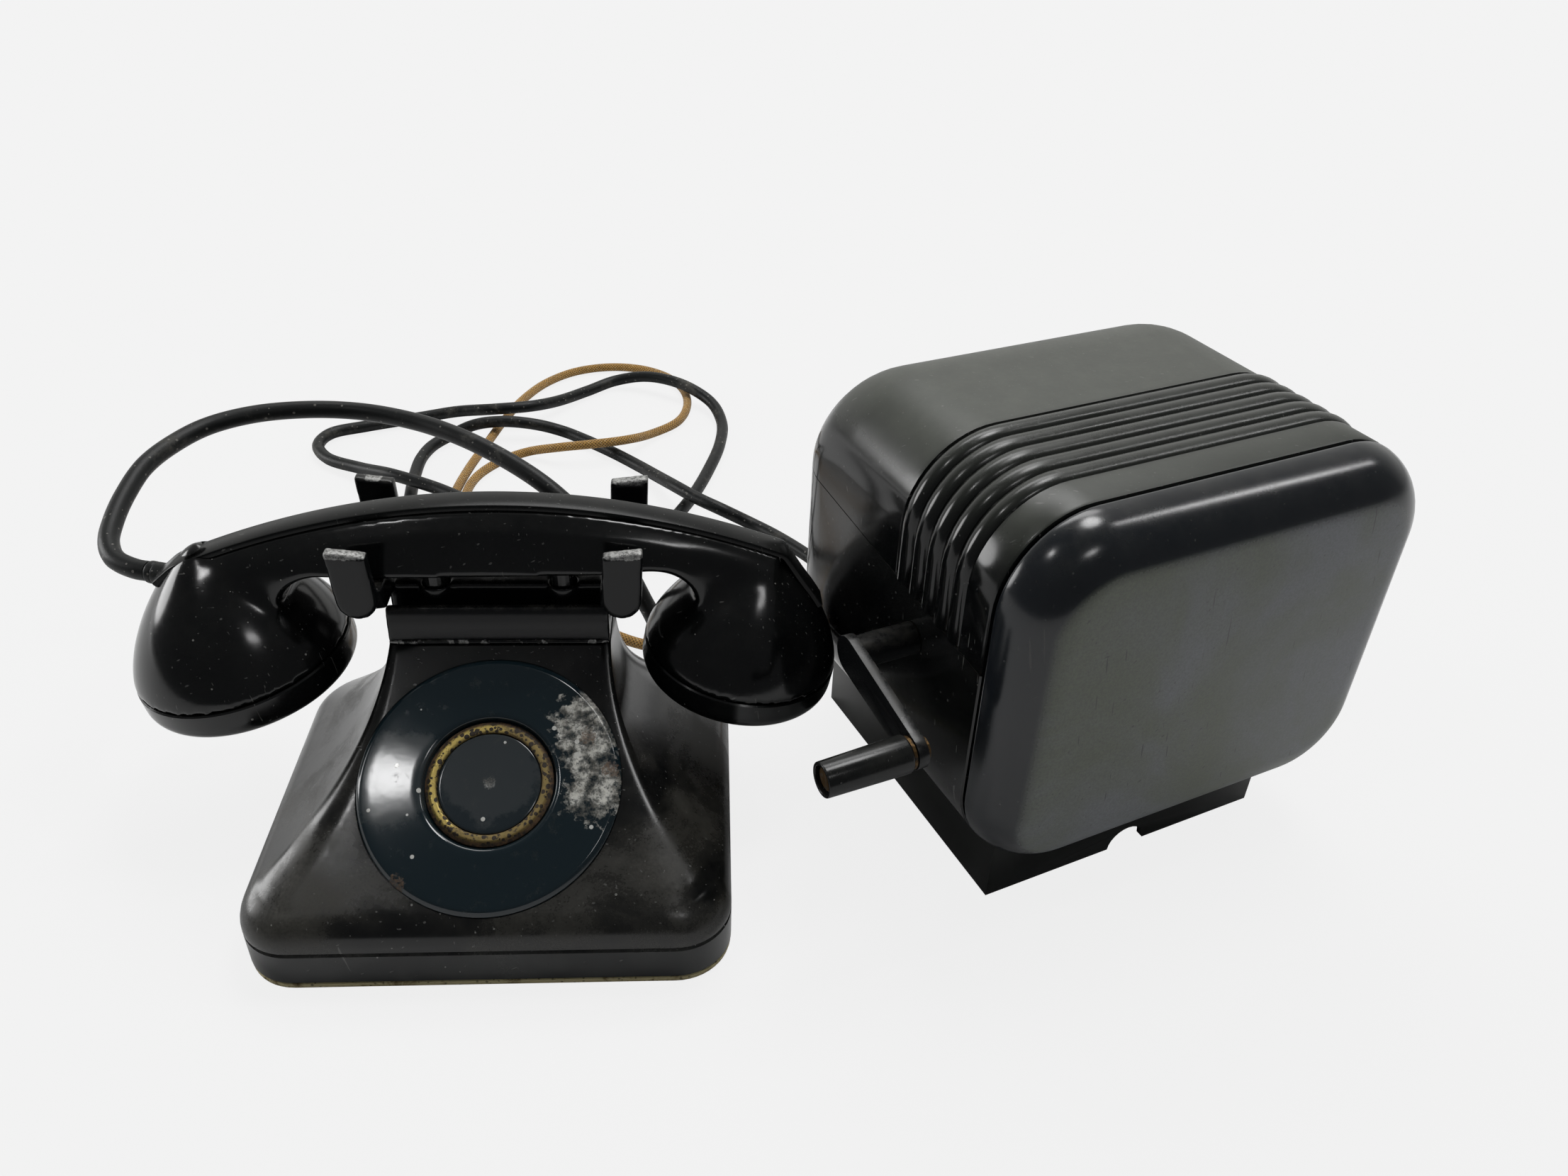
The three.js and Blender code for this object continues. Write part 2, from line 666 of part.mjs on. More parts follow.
// Cradle casting
const SADDLE_BOTTOM_Z = SHELF_Z + FIT;
const PRONG_FRONT_INNER_Y = CRADLE_Y - PRONG_GAP / 2;
const PRONG_REAR_INNER_Y = CRADLE_Y + PRONG_GAP / 2;

function prongOutline(side, foot, tip) {
  const half = PRONG_WIDTH / 2;
  const x = side * ARM_X;
  const lean = side * PRONG_SPREAD;
  const steps = 6;
  const points = [];
  for (let i = 0; i <= steps; i += 1) {
    const angle = Math.PI + Math.PI * (i / steps);
    points.push([x + half * Math.cos(angle), foot + half + half * Math.sin(angle)]);
  }
  points.push([x + half + lean, tip + (side > 0 ? 0.8 : -0.8)]);
  points.push([x - half + lean, tip - (side > 0 ? 0.8 : -0.8)]);
  return points;
}

function makeCradle() {
  const lipFront = LIP_Y + 1;
  const lipTop = lipFront + SADDLE_LIP_LEAN;
  const saddle = drawnX([
    [lipFront, SADDLE_BOTTOM_Z],
    [NECK_REAR_Y - 0.5, SADDLE_BOTTOM_Z],
    [PLATFORM_REAR_Y, PLATFORM_Z - 1],
    [PLATFORM_REAR_Y - 1, PLATFORM_Z],
    [PLATFORM_FRONT_Y + 0.8, PLATFORM_Z],
    [PLATFORM_FRONT_Y, PLATFORM_Z - 0.8],
    [PLATFORM_FRONT_Y, TROUGH_Z],
    [lipTop + SADDLE_LIP_THICKNESS, TROUGH_Z],
    [lipTop + SADDLE_LIP_THICKNESS, SADDLE_LIP_Z - 1],
    [lipTop + SADDLE_LIP_THICKNESS - 1, SADDLE_LIP_Z],
    [lipTop + 0.6, SADDLE_LIP_Z],
    [lipTop - 0.4, SADDLE_LIP_Z - 1],
    [lipFront + 0.4, SADDLE_BOTTOM_Z + 7],
  ], -SADDLE_HALF_WIDTH, SADDLE_HALF_WIDTH);
  const hollow = box(
    [-SADDLE_HALF_WIDTH + PLATFORM_WALL, PLATFORM_FRONT_Y + PLATFORM_WALL, SADDLE_BOTTOM_Z - 1],
    [SADDLE_HALF_WIDTH - PLATFORM_WALL, PLATFORM_REAR_Y - PLATFORM_WALL,
      PLATFORM_Z - PLATFORM_WALL]);
  let cradle = saddle.subtract(hollow);
  for (const side of [-1, 1]) {
    const inner = side * (SADDLE_HALF_WIDTH - 2);
    const outer = side * (ARM_X + ARM_WIDTH / 2);
    const rest = HANDLE_BOTTOM_Z - FIT;
    const arm = drawnX([
      [PRONG_FRONT_INNER_Y - 0.5, ARM_BOTTOM_Z + 3],
      [PRONG_FRONT_INNER_Y + 4, ARM_BOTTOM_Z],
      [PRONG_REAR_INNER_Y - 4, ARM_BOTTOM_Z],
      [PRONG_REAR_INNER_Y + 0.5, ARM_BOTTOM_Z + 3],
      [PRONG_REAR_INNER_Y + 0.5, rest],
      [PRONG_FRONT_INNER_Y - 0.5, rest],
    ], Math.min(inner, outer), Math.max(inner, outer));
    const front = drawnY(prongOutline(side, FRONT_PRONG_FOOT_Z, FRONT_PRONG_TIP_Z),
      PRONG_FRONT_INNER_Y - PRONG_THICKNESS, PRONG_FRONT_INNER_Y);
    const rear = drawnY(prongOutline(side, FRONT_PRONG_FOOT_Z, REAR_PRONG_TIP_Z),
      PRONG_REAR_INNER_Y, PRONG_REAR_INNER_Y + PRONG_THICKNESS);
    const guide = cylinder(PLUNGER_GUIDE_RADIUS, TROUGH_Z - 1, PLATFORM_Z, side * PLUNGER_X,
      PLUNGER_Y, 20);
    cradle = union(cradle, arm, front, rear, guide);
  }
  for (const side of [-1, 1]) {
    cradle = cradle.subtract(cylinder(PLUNGER_RADIUS + FIT, SADDLE_BOTTOM_Z - 1, PLATFORM_Z + 1,
      side * PLUNGER_X, PLUNGER_Y, 20));
  }
  return cradle;
}

function makePlunger(side) {
  const top = HANDLE_BOTTOM_Z - FIT;
  const head = cylinder(PLUNGER_RADIUS, top - PLUNGER_HEAD_LENGTH, top - 1, 0, 0, 20);
  const crown = cylinder(PLUNGER_RADIUS, top - 1, top, 0, 0, 20, PLUNGER_RADIUS - 1);
  const stem = cylinder(PLUNGER_STEM_RADIUS, PLUNGER_FOOT_Z, top - PLUNGER_HEAD_LENGTH + 1, 0, 0,
    10);
  return moved(union(head, crown, stem), [side * PLUNGER_X, PLUNGER_Y, 0]);
}

// Handset
function handleTop(x) {
  return HANDLE_TOP_Z - HANDLE_DROP * (x / HANDLE_REACH) ** 2;
}

function handleBottom(x) {
  const reach = Math.abs(x) - HANDLE_FILLET_X;
  if (reach <= 0) return HANDLE_BOTTOM_Z;
  const drop = Math.min(reach, HANDLE_FILLET);
  return HANDLE_BOTTOM_Z - HANDLE_FILLET + Math.sqrt(HANDLE_FILLET ** 2 - drop ** 2);
}

function handleSection(x) {
  const top = handleTop(x) - STRIP_THICKNESS - SEAM;
  const bottom = handleBottom(x);
  const half = HANDLE_HALF_DEPTH;
  const narrow = HANDLE_TOP_HALF;
  return [
    [x, -half, bottom + HANDLE_EDGE],
    [x, -half + 0.8, bottom + 0.8],
    [x, -half + HANDLE_EDGE, bottom],
    [x, half - HANDLE_EDGE, bottom],
    [x, half - 0.8, bottom + 0.8],
    [x, half, bottom + HANDLE_EDGE],
    [x, narrow + HANDLE_BEVEL, top - HANDLE_BEVEL],
    [x, narrow, top],
    [x, -narrow, top],
    [x, -narrow - HANDLE_BEVEL, top - HANDLE_BEVEL],
  ];
}

function handleStations() {
  const stations = [0];
  for (let i = 1; i < HANDLE_STATIONS; i += 1) {
    stations.push(HANDLE_FILLET_X * (i / HANDLE_STATIONS));
  }
  for (let i = 0; i <= HANDLE_STATIONS; i += 1) {
    const angle = (Math.PI / 2) * (i / HANDLE_STATIONS);
    stations.push(HANDLE_FILLET_X + HANDLE_FILLET * Math.sin(angle));
  }
  stations.push((HANDLE_FILLET_X + HANDLE_FILLET + HANDLE_REACH) / 2, HANDLE_REACH);
  const left = stations.slice(1).map((x) => -x).reverse();
  return [...left, ...stations];
}

const TRANSMITTER = {
  side: -1, x: TRANSMITTER_X, z: TRANSMITTER_Z, radius: TRANSMITTER_RADIUS,
};
const RECEIVER = { side: 1, x: RECEIVER_X, z: RECEIVER_Z, radius: RECEIVER_RADIUS };

function lobeRadius(lobe, h) {
  const rise = h / LOBE_HEIGHT;
  return lobe.radius * (1 - rise ** 1.42) ** 0.78;
}

function lobeFrame(lobe, solid) {
  return moved(solid, [lobe.side * lobe.x, 0, lobe.z], [0, lobe.side * LOBE_TILT, 0]);
}

function makeLobe(lobe, wall, foot) {
  const steps = wall > 0 ? 5 : 8;
  const points = [[0, foot], [lobe.radius - wall, foot]];
  for (let i = 1; i < steps; i += 1) {
    const h = LOBE_HEIGHT * Math.sin((Math.PI / 2) * (i / steps));
    const radius = lobeRadius(lobe, h) - wall;
    points.push([Math.max(radius, wall / 4), Math.min(h, LOBE_HEIGHT - wall)]);
  }
  points.push([0, LOBE_HEIGHT - wall]);
  return turned(points, wall > 0 ? 20 : 32);
}

function makeHandsetShell() {
  const handle = loft(handleStations().map((x) => handleSection(x)));
  const bore = atSleeve(cylinder(sleeveRadius() + FIT, 0, SLEEVE_OUTER + LOBE_WALL, 0, 0, 16));
  let shell = handle;
  for (const lobe of [TRANSMITTER, RECEIVER]) {
    shell = shell.add(lobeFrame(lobe, makeLobe(lobe, 0, 0)));
  }
  for (const lobe of [TRANSMITTER, RECEIVER]) {
    shell = shell.subtract(lobeFrame(lobe, makeLobe(lobe, LOBE_WALL, -1)));
  }
  return shell.subtract(bore).subtract(stripAlong(FIT, LOBE_WALL));
}

// The cord's sleeve points out of the transmitter end, level and to the rear
function atSleeve(solid) {
  const x = -TRANSMITTER.x - SLEEVE_HEIGHT * Math.sin(LOBE_TILT);
  const z = TRANSMITTER.z + SLEEVE_HEIGHT * Math.cos(LOBE_TILT);
  return moved(moved(solid, [0, 0, 0], [0, Math.PI / 2, 0]), [x, 0, z], [0, 0, SLEEVE_ANGLE]);
}

function sleeveRadius() {
  return HANDSET_CORD_DIAMETER / 2 + SLEEVE_WALL;
}

function makeHandsetSleeve() {
  return atSleeve(cylinder(sleeveRadius(), SLEEVE_INNER, SLEEVE_OUTER, 0, 0, 16));
}

// Half of the strip's path: along the top of the handle, then down the outside of the lobe
function stripHalf(lobe) {
  const points = [];
  const reach = lobe.x + HANDLE_FILLET;
  for (let i = 1; i <= STRIP_STATIONS; i += 1) {
    const x = reach * (i / STRIP_STATIONS);
    points.push([lobe.side * x, handleTop(x)]);
  }
  for (let i = 0; i <= STRIP_TAIL_STEPS; i += 1) {
    const h = LOBE_HEIGHT - STRIP_TAIL_START - STRIP_TAIL_DROP * (i / STRIP_TAIL_STEPS);
    const radius = lobeRadius(lobe, h) + STRIP_THICKNESS + SEAM;
    const x = lobe.x + h * Math.sin(LOBE_TILT) + radius * Math.cos(LOBE_TILT);
    const z = lobe.z + h * Math.cos(LOBE_TILT) - radius * Math.sin(LOBE_TILT);
    points.push([lobe.side * x, z]);
  }
  return points;
}

function stripPath() {
  return [...stripHalf(TRANSMITTER).reverse(), [0, handleTop(0)], ...stripHalf(RECEIVER)];
}

// The strip's own section, or with a margin the channel that it lies in
function stripAlong(margin, top) {
  const path = stripPath();
  const rings = path.map(([x, z], i) => {
    const before = path[Math.max(i - 1, 0)];
    const after = path[Math.min(i + 1, path.length - 1)];
    const length = Math.hypot(after[0] - before[0], after[1] - before[1]);
    const nx = -(after[1] - before[1]) / length;
    const nz = (after[0] - before[0]) / length;
    const low = -STRIP_THICKNESS - margin;
    const w = STRIP_HALF_WIDTH + margin;
    const edge = STRIP_ROUND;
    return [
      [-w, low], [w, low], [w, top - edge], [w - edge, top], [-w + edge, top], [-w, top - edge],
    ].map(([y, out]) => [x + nx * out, y, z + nz * out]);
  });
  return loft(rings);
}

function makeHandsetStrip() {
  const notch = atSleeve(cylinder(sleeveRadius() + FIT, 0, SLEEVE_OUTER + LOBE_WALL, 0, 0, 16));
  return stripAlong(0, 0).subtract(notch);
}

function makeCap(lobe) {
  const steps = 4;
  const outer = [[0, -CAP_HEIGHT + CAP_DISH], [lobe.radius - CAP_EDGE - 2, -CAP_HEIGHT]];
  for (let i = 0; i <= steps; i += 1) {
    const angle = (Math.PI / 2) * (i / steps);
    outer.push([
      lobe.radius - CAP_EDGE + CAP_EDGE * Math.sin(angle),
      -CAP_HEIGHT + CAP_EDGE - CAP_EDGE * Math.cos(angle),
    ]);
  }
  outer.push([lobe.radius, -SEAM], [0, -SEAM]);
  const inner = cylinder(lobe.radius - CAP_WALL - 1, -CAP_HEIGHT + CAP_WALL + CAP_DISH, 1, 0, 0, 24);
  let cap = turned(outer, 28).subtract(inner);
  for (let i = 0; i < CAP_HOLE_COUNT; i += 1) {
    const angle = (2 * Math.PI * i) / CAP_HOLE_COUNT;
    cap = cap.subtract(cylinder(CAP_HOLE_RADIUS, -2 * CAP_HEIGHT, 0,
      CAP_HOLE_CIRCLE * Math.cos(angle), CAP_HOLE_CIRCLE * Math.sin(angle), 6));
  }
  cap = cap.subtract(cylinder(CAP_HOLE_RADIUS, -2 * CAP_HEIGHT, 0, 0, 0, 6));
  return lobeFrame(lobe, cap);
}

function makeCapsule(lobe) {
  const low = -CAP_HEIGHT + CAP_WALL + CAP_DISH + FIT;
  return lobeFrame(lobe, turned([
    [0, low], [CAPSULE_RADIUS, low], [CAPSULE_RADIUS, low + 5], [CAPSULE_RADIUS - 6, low + 8],
    [CAPSULE_RADIUS - 6, low + CAPSULE_HEIGHT], [0, low + CAPSULE_HEIGHT],
  ], 20));
}

// Magneto box
const BODY_LEFT = -BODY_OVERHANG_LEFT;
const BODY_RIGHT = PLINTH_WIDTH + BODY_OVERHANG_RIGHT;
const BODY_MID_X = (BODY_LEFT + BODY_RIGHT) / 2;
const BODY_HALF = (BODY_RIGHT - BODY_LEFT) / 2;
const BODY_BOTTOM_Z = PLINTH_HEIGHT + FIT;
const BODY_MID_Z = (BODY_TOP_Z + BODY_BOTTOM_Z) / 2;
const BODY_HALF_HEIGHT = (BODY_TOP_Z - BODY_BOTTOM_Z) / 2;

// How far the outline has drawn in at one depth, on its way round to the rear face
function drawIn(y, rear, round) {
  const past = Math.min(Math.max(y - (rear - round), 0), round);
  return round - Math.sqrt(round ** 2 - past ** 2);
}

// An upright rounded outline of the box at one depth, shrunk by an inset
function boxRing(y, inset, rearWall = 0, steps = 5) {
  const side = inset + drawIn(y, BODY_REAR_Y - rearWall, BODY_REAR_ROUND - rearWall);
  const top = inset + drawIn(y, BODY_REAR_Y - rearWall, BODY_REAR_CROWN - rearWall);
  const corner = Math.max(BODY_CORNER - (inset + side) / 2, 2);
  const outline = roundedOblong(BODY_HALF - side, -BODY_HALF_HEIGHT + side,
    BODY_HALF_HEIGHT - top, corner, corner, steps);
  return outline.map(([x, z]) => [BODY_MID_X + x, y, BODY_MID_Z + z]).reverse();
}

function rearRings(wall) {
  const steps = 7;
  const rings = [];
  const crown = BODY_REAR_CROWN - wall;
  for (let i = 0; i <= steps; i += 1) {
    const angle = (Math.PI / 2) * (i / steps);
    const y = BODY_REAR_Y - wall - crown + crown * Math.sin(angle);
    rings.push(boxRing(y, wall, wall));
  }
  return rings;
}

function boxBody(wall, front) {
  return loft([boxRing(front, wall), ...rearRings(wall)]);
}

// The outside of the lid: a flat band, then a row of half-round beads with fine grooves between
function beadedBody() {
  const rings = [boxRing(BODY_FRONT_Y, 0)];
  const start = BODY_FRONT_Y + BAND_WIDTH;
  const steps = 4;
  rings.push(boxRing(start, 0));
  for (let i = 0; i < BEAD_COUNT; i += 1) {
    for (let j = 0; j < steps; j += 1) {
      const across = (j + 0.5) / steps;
      const proud = BEAD_HEIGHT * Math.sin(Math.PI * across) - BEAD_GROOVE;
      rings.push(boxRing(start + (i + across) * BEAD_PITCH, -proud));
    }
  }
  const end = start + BEAD_COUNT * BEAD_PITCH;
  rings.push(boxRing(end, 0));
  return loft([...rings, ...rearRings(0)]);
}

// The part of space above the sloping seam between lid and lower body
function aboveSeam(lift) {
  const reach = BODY_REAR_Y;
  const slope = (LID_SEAM_REAR_Z - LID_SEAM_FRONT_Z) / (BODY_REAR_Y - BODY_FRONT_Y);
  const near = LID_SEAM_FRONT_Z - slope * reach + lift;
  const back = LID_SEAM_REAR_Z + slope * reach + lift;
  const top = 2 * BODY_TOP_Z;
  const outline = [[BODY_FRONT_Y - reach, near], [BODY_REAR_Y + reach, back],
    [BODY_REAR_Y + reach, top], [BODY_FRONT_Y - reach, top]];
  return drawnX(outline, 2 * BODY_LEFT, 2 * BODY_RIGHT);
}

function makeLid() {
  const shell = beadedBody().subtract(boxBody(BODY_WALL, BODY_FRONT_Y - 1));
  return shell.intersect(aboveSeam(SEAM / 2));
}

function makeLowerBody() {
  const shell = boxBody(0, BODY_FRONT_Y).subtract(boxBody(BODY_WALL, BODY_FRONT_Y - 1));
  const bore = barX(bushRadius() + FIT, BODY_LEFT - 1, BODY_LEFT + BODY_WALL + 1, CRANK_Y,
    CRANK_Z, 20);
  return shell.subtract(aboveSeam(-SEAM / 2)).subtract(bore);
}

function makeFrontCover() {
  const back = BODY_FRONT_Y - COVER_GAP;
  const steps = 6;
  const rings = [];
  for (let i = steps; i >= 0; i -= 1) {
    const angle = (Math.PI / 2) * (i / steps);
    const inset = COVER_ROUND * (1 - Math.cos(angle));
    rings.push(boxRing(back - COVER_ROUND * Math.sin(angle), inset));
  }
  const crown = rings[0].map(([x, y, z]) => [
    (BODY_MID_X + x) / 2, y - COVER_CROWN, (BODY_MID_Z + z) / 2]);
  const outer = loft([crown, ...rings]);
  const hollow = loft([
    boxRing(back - COVER_ROUND + COVER_WALL, COVER_ROUND - 1),
    boxRing(back - COVER_ROUND / 2 + 1, COVER_WALL + 2),
    boxRing(back + 1, BODY_WALL + FIT + COVER_SPIGOT_WALL),
  ]);
  const far = back + COVER_GAP + COVER_SPIGOT_DEPTH;
  const spigot = loft([boxRing(back - 2, BODY_WALL + FIT), boxRing(far, BODY_WALL + FIT)]);
  const inside = BODY_WALL + FIT + COVER_SPIGOT_WALL;
  const bore = loft([boxRing(back - 3, inside), boxRing(far + 1, inside)]);
  return union(outer.subtract(hollow), spigot.subtract(bore));
}

const BOX_GLANDS = [
  [BOX_TEXTILE_X, TEXTILE_DIAMETER],
  [BOX_LONG_X, CABLE_DIAMETER],
  [BOX_SHORT_X, CABLE_DIAMETER],
];

function makePlinth() {
  const outer = box([0, 0, 0], [PLINTH_WIDTH, PLINTH_DEPTH, PLINTH_HEIGHT]);
  const inner = box([PLINTH_WALL, PLINTH_WALL, -1],
    [PLINTH_WIDTH - PLINTH_WALL, PLINTH_DEPTH - PLINTH_WALL, PLINTH_HEIGHT - PLINTH_WALL]);
  const notch = barY(NOTCH_RADIUS, -1, PLINTH_WALL + 1, NOTCH_X, 0, 24);
  let plinth = outer.subtract(inner).subtract(notch);
  for (const [x, diameter] of BOX_GLANDS) {
    plinth = plinth.subtract(glandHole(x, PLINTH_DEPTH, BOX_GLAND_Z, diameter, PLINTH_WALL));
  }
  return plinth;
}

// Crank
const CRANK_X = BODY_LEFT - CRANK_PLANE;

function makeCrankArm() {
  const points = [];
  const steps = 10;
  for (let i = 0; i <= steps; i += 1) {
    const angle = -Math.PI / 2 + Math.PI * (i / steps);
    points.push([CRANK_HUB_RADIUS * Math.cos(angle), CRANK_HUB_RADIUS * Math.sin(angle)]);
  }
  for (let i = 0; i <= steps; i += 1) {
    const angle = Math.PI / 2 + Math.PI * (i / steps);
    points.push([-CRANK_LENGTH + CRANK_TIP_RADIUS * Math.cos(angle),
      CRANK_TIP_RADIUS * Math.sin(angle)]);
  }
  const blade = drawnX(points, -CRANK_THICKNESS / 2, CRANK_THICKNESS / 2);
  const hole = barX(GRIP_PIN_RADIUS + FIT, -CRANK_THICKNESS, CRANK_THICKNESS, -CRANK_LENGTH, 0);
  const boss = barX(CRANK_BOSS_RADIUS, 0, CRANK_PLANE - FIT, 0, 0, 24);
  const reach = GENERATOR_X + GENERATOR_LENGTH + 2 * GENERATOR_PLATE - CRANK_X;
  const shaft = barX(CRANK_SHAFT_RADIUS, CRANK_PLANE - 1, reach, 0, 0, 16);
  const arm = union(blade.subtract(hole), boss, shaft);
  return atCrank(arm);
}

function atCrank(solid) {
  return moved(solid, [CRANK_X, CRANK_Y, CRANK_Z], [CRANK_DROP, 0, 0]);
}

function bushRadius() {
  return CRANK_SHAFT_RADIUS + FIT + BUSH_WALL;
}

function makeCrankBush() {
  const inner = BODY_LEFT + BODY_WALL + FIT;
  const tube = barX(bushRadius(), BODY_LEFT, inner + BUSH_WALL, CRANK_Y, CRANK_Z, 20);
  const flange = barX(bushRadius() + BUSH_FLANGE, inner, inner + BUSH_WALL, CRANK_Y, CRANK_Z, 20);
  const bore = barX(CRANK_SHAFT_RADIUS + FIT, BODY_LEFT - 1, inner + 2 * BUSH_WALL, CRANK_Y,
    CRANK_Z, 20);
  return tube.add(flange).subtract(bore);
}

// The grip turns on a headed pin that is riveted through the arm
const GRIP_NEAR = -CRANK_THICKNESS / 2 - 2 * FIT - WASHER_THICKNESS;
const GRIP_FAR = GRIP_NEAR - GRIP_LENGTH;

function makeCrankGrip() {
  const body = barX(GRIP_RADIUS, GRIP_FAR, GRIP_NEAR, -CRANK_LENGTH, 0, 24, GRIP_RADIUS - GRIP_TAPER);
  const bore = barX(GRIP_PIN_RADIUS + FIT, GRIP_FAR - 1, GRIP_NEAR + 1, -CRANK_LENGTH, 0, 16);
  const hollow = barX(GRIP_HOLLOW_RADIUS, GRIP_FAR - 1, GRIP_FAR + GRIP_HOLLOW_DEPTH,
    -CRANK_LENGTH, 0, 20);
  return atCrank(body.subtract(bore).subtract(hollow));
}

function makeGripWasher() {
  const near = -CRANK_THICKNESS / 2 - FIT;
  const disc = barX(WASHER_RADIUS, near - WASHER_THICKNESS, near, -CRANK_LENGTH, 0, 20);
  const bore = barX(GRIP_PIN_RADIUS + FIT, near - 2 * WASHER_THICKNESS, near + 1, -CRANK_LENGTH, 0, 16);
  return atCrank(disc.subtract(bore));
}

function makeGripPin() {
  const seat = GRIP_FAR + GRIP_HOLLOW_DEPTH - FIT;
  const head = barX(GRIP_PIN_HEAD, seat - GRIP_PIN_HEAD_HEIGHT, seat, -CRANK_LENGTH, 0, 16);
  const end = CRANK_THICKNESS / 2 + FIT;
  const pin = barX(GRIP_PIN_RADIUS, seat - 1, end, -CRANK_LENGTH, 0, 16);
  const rivet = barX(GRIP_PIN_HEAD, end, end + GRIP_PIN_HEAD_HEIGHT, -CRANK_LENGTH, 0, 16);
  return atCrank(union(head, pin, rivet));
}

// Generator: the crank drives an armature between the limbs of horseshoe magnets
const GEAR_DISTANCE = DRIVE_GEAR_RADIUS + PINION_RADIUS + TOOTH_HEIGHT + FIT;
const ARMATURE_Z = CRANK_Z - GEAR_DISTANCE;
const FLOOR_Z = BODY_BOTTOM_Z + BODY_WALL + FIT;
const MAGNET_INNER = MAGNET_OUTER - MAGNET_LIMB;
const MAGNET_ARC_Z = CRANK_Z - CRANK_SHAFT_RADIUS - RUNNING - MAGNET_OUTER;
const MAGNET_FOOT_Z = ARMATURE_Z - MAGNET_FOOT_DROP;
const PLATE_LEFT_X = GENERATOR_X;
const PLATE_RIGHT_X = GENERATOR_X + GENERATOR_PLATE + GENERATOR_LENGTH;
const GEAR_X = PLATE_LEFT_X - RUNNING - GEAR_WIDTH;

// A toothed outline about the origin, in Y and Z
function gearOutline(radius, teeth) {
  const points = [];
  const tip = radius + TOOTH_HEIGHT / 2;
  const root = radius - TOOTH_HEIGHT / 2;
  for (let i = 0; i < teeth; i += 1) {
    for (const [share, reach] of [[0, root], [0.3, root], [0.4, tip], [0.8, tip]]) {
      const angle = (2 * Math.PI * (i + share)) / teeth;
      points.push([reach * Math.cos(angle), reach * Math.sin(angle)]);
    }
  }
  return points;
}

function makeDriveGear() {
  const wheel = drawnX(gearOutline(DRIVE_GEAR_RADIUS, DRIVE_GEAR_TEETH), 0, GEAR_WIDTH);
  const bore = barX(CRANK_SHAFT_RADIUS + FIT, -1, GEAR_WIDTH + 1, 0, 0, 16);
  return moved(wheel.subtract(bore), [GEAR_X, CRANK_Y, CRANK_Z]);
}

function makeArmature() {
  const middle = GENERATOR_X + GENERATOR_PLATE + GENERATOR_LENGTH / 2;
  const low = middle - ARMATURE_LENGTH / 2;
  const high = middle + ARMATURE_LENGTH / 2;
  let core = barX(ARMATURE_RADIUS, low, high, 0, 0, 24);
  for (const side of [-1, 1]) {
    const slot = box([low + ARMATURE_SLOT / 2, -ARMATURE_SLOT / 2, 0],
      [high - ARMATURE_SLOT / 2, ARMATURE_SLOT / 2, ARMATURE_RADIUS + 1]);
    core = core.subtract(moved(slot, [0, 0, side > 0 ? ARMATURE_SLOT / 2 : -ARMATURE_SLOT / 2], [
      side > 0 ? 0 : Math.PI, 0, 0]));
  }
  const shaft = barX(ARMATURE_SHAFT_RADIUS, GEAR_X, PLATE_RIGHT_X + GENERATOR_PLATE + RUNNING, 0, 0, 16);
  const pinion = drawnX(gearOutline(PINION_RADIUS, PINION_TEETH), GEAR_X, GEAR_X + GEAR_WIDTH);
  return moved(union(core, shaft, pinion), [0, CRANK_Y, ARMATURE_Z]);
}

function makeMagnet(index) {
  const middle = GENERATOR_X + GENERATOR_PLATE + GENERATOR_LENGTH / 2;
  const x = middle + (index - (MAGNET_COUNT - 1) / 2) * MAGNET_PITCH;
  const arc = (radius) => Array.from({ length: 13 }, (_, i) => {
    const angle = (Math.PI * i) / 12;
    return [CRANK_Y + radius * Math.cos(angle), MAGNET_ARC_Z + radius * Math.sin(angle)];
  });
  const outline = [
    [CRANK_Y + MAGNET_OUTER, MAGNET_FOOT_Z], ...arc(MAGNET_OUTER),
    [CRANK_Y - MAGNET_OUTER, MAGNET_FOOT_Z], [CRANK_Y - MAGNET_INNER, MAGNET_FOOT_Z],
    ...arc(MAGNET_INNER).reverse(), [CRANK_Y + MAGNET_INNER, MAGNET_FOOT_Z],
  ];
  return drawnX(outline, x - MAGNET_THICKNESS / 2, x + MAGNET_THICKNESS / 2);
}

function makePole(side) {
  const middle = GENERATOR_X + GENERATOR_PLATE + GENERATOR_LENGTH / 2;
  const near = CRANK_Y + side * 2;
  const far = CRANK_Y + side * (MAGNET_INNER - FIT);
  const block = box(
    [middle - ARMATURE_LENGTH / 2, Math.min(near, far), FLOOR_Z],
    [middle + ARMATURE_LENGTH / 2, Math.max(near, far), ARMATURE_Z + POLE_HALF_HEIGHT]);
  return block.subtract(barX(ARMATURE_RADIUS + RUNNING, GENERATOR_X, 2 * PLATE_RIGHT_X, CRANK_Y,
    ARMATURE_Z, 20));
}

function makeGeneratorBase() {
  const floor = box([PLATE_LEFT_X - RUNNING, CRANK_Y - GENERATOR_HALF_DEPTH, FLOOR_Z],
    [PLATE_RIGHT_X + 2 * GENERATOR_PLATE, CRANK_Y + GENERATOR_HALF_DEPTH, FLOOR_Z + GENERATOR_FLOOR]);
  const rail = (side) => {
    const near = CRANK_Y + side * (MAGNET_INNER + FIT);
    const far = CRANK_Y + side * MAGNET_OUTER;
    return box([PLATE_LEFT_X + GENERATOR_PLATE + FIT, Math.min(near, far), FLOOR_Z],
      [PLATE_RIGHT_X - FIT, Math.max(near, far), MAGNET_FOOT_Z - FIT]);
  };
  return union(floor, rail(-1), rail(1), makePole(-1), makePole(1));
}

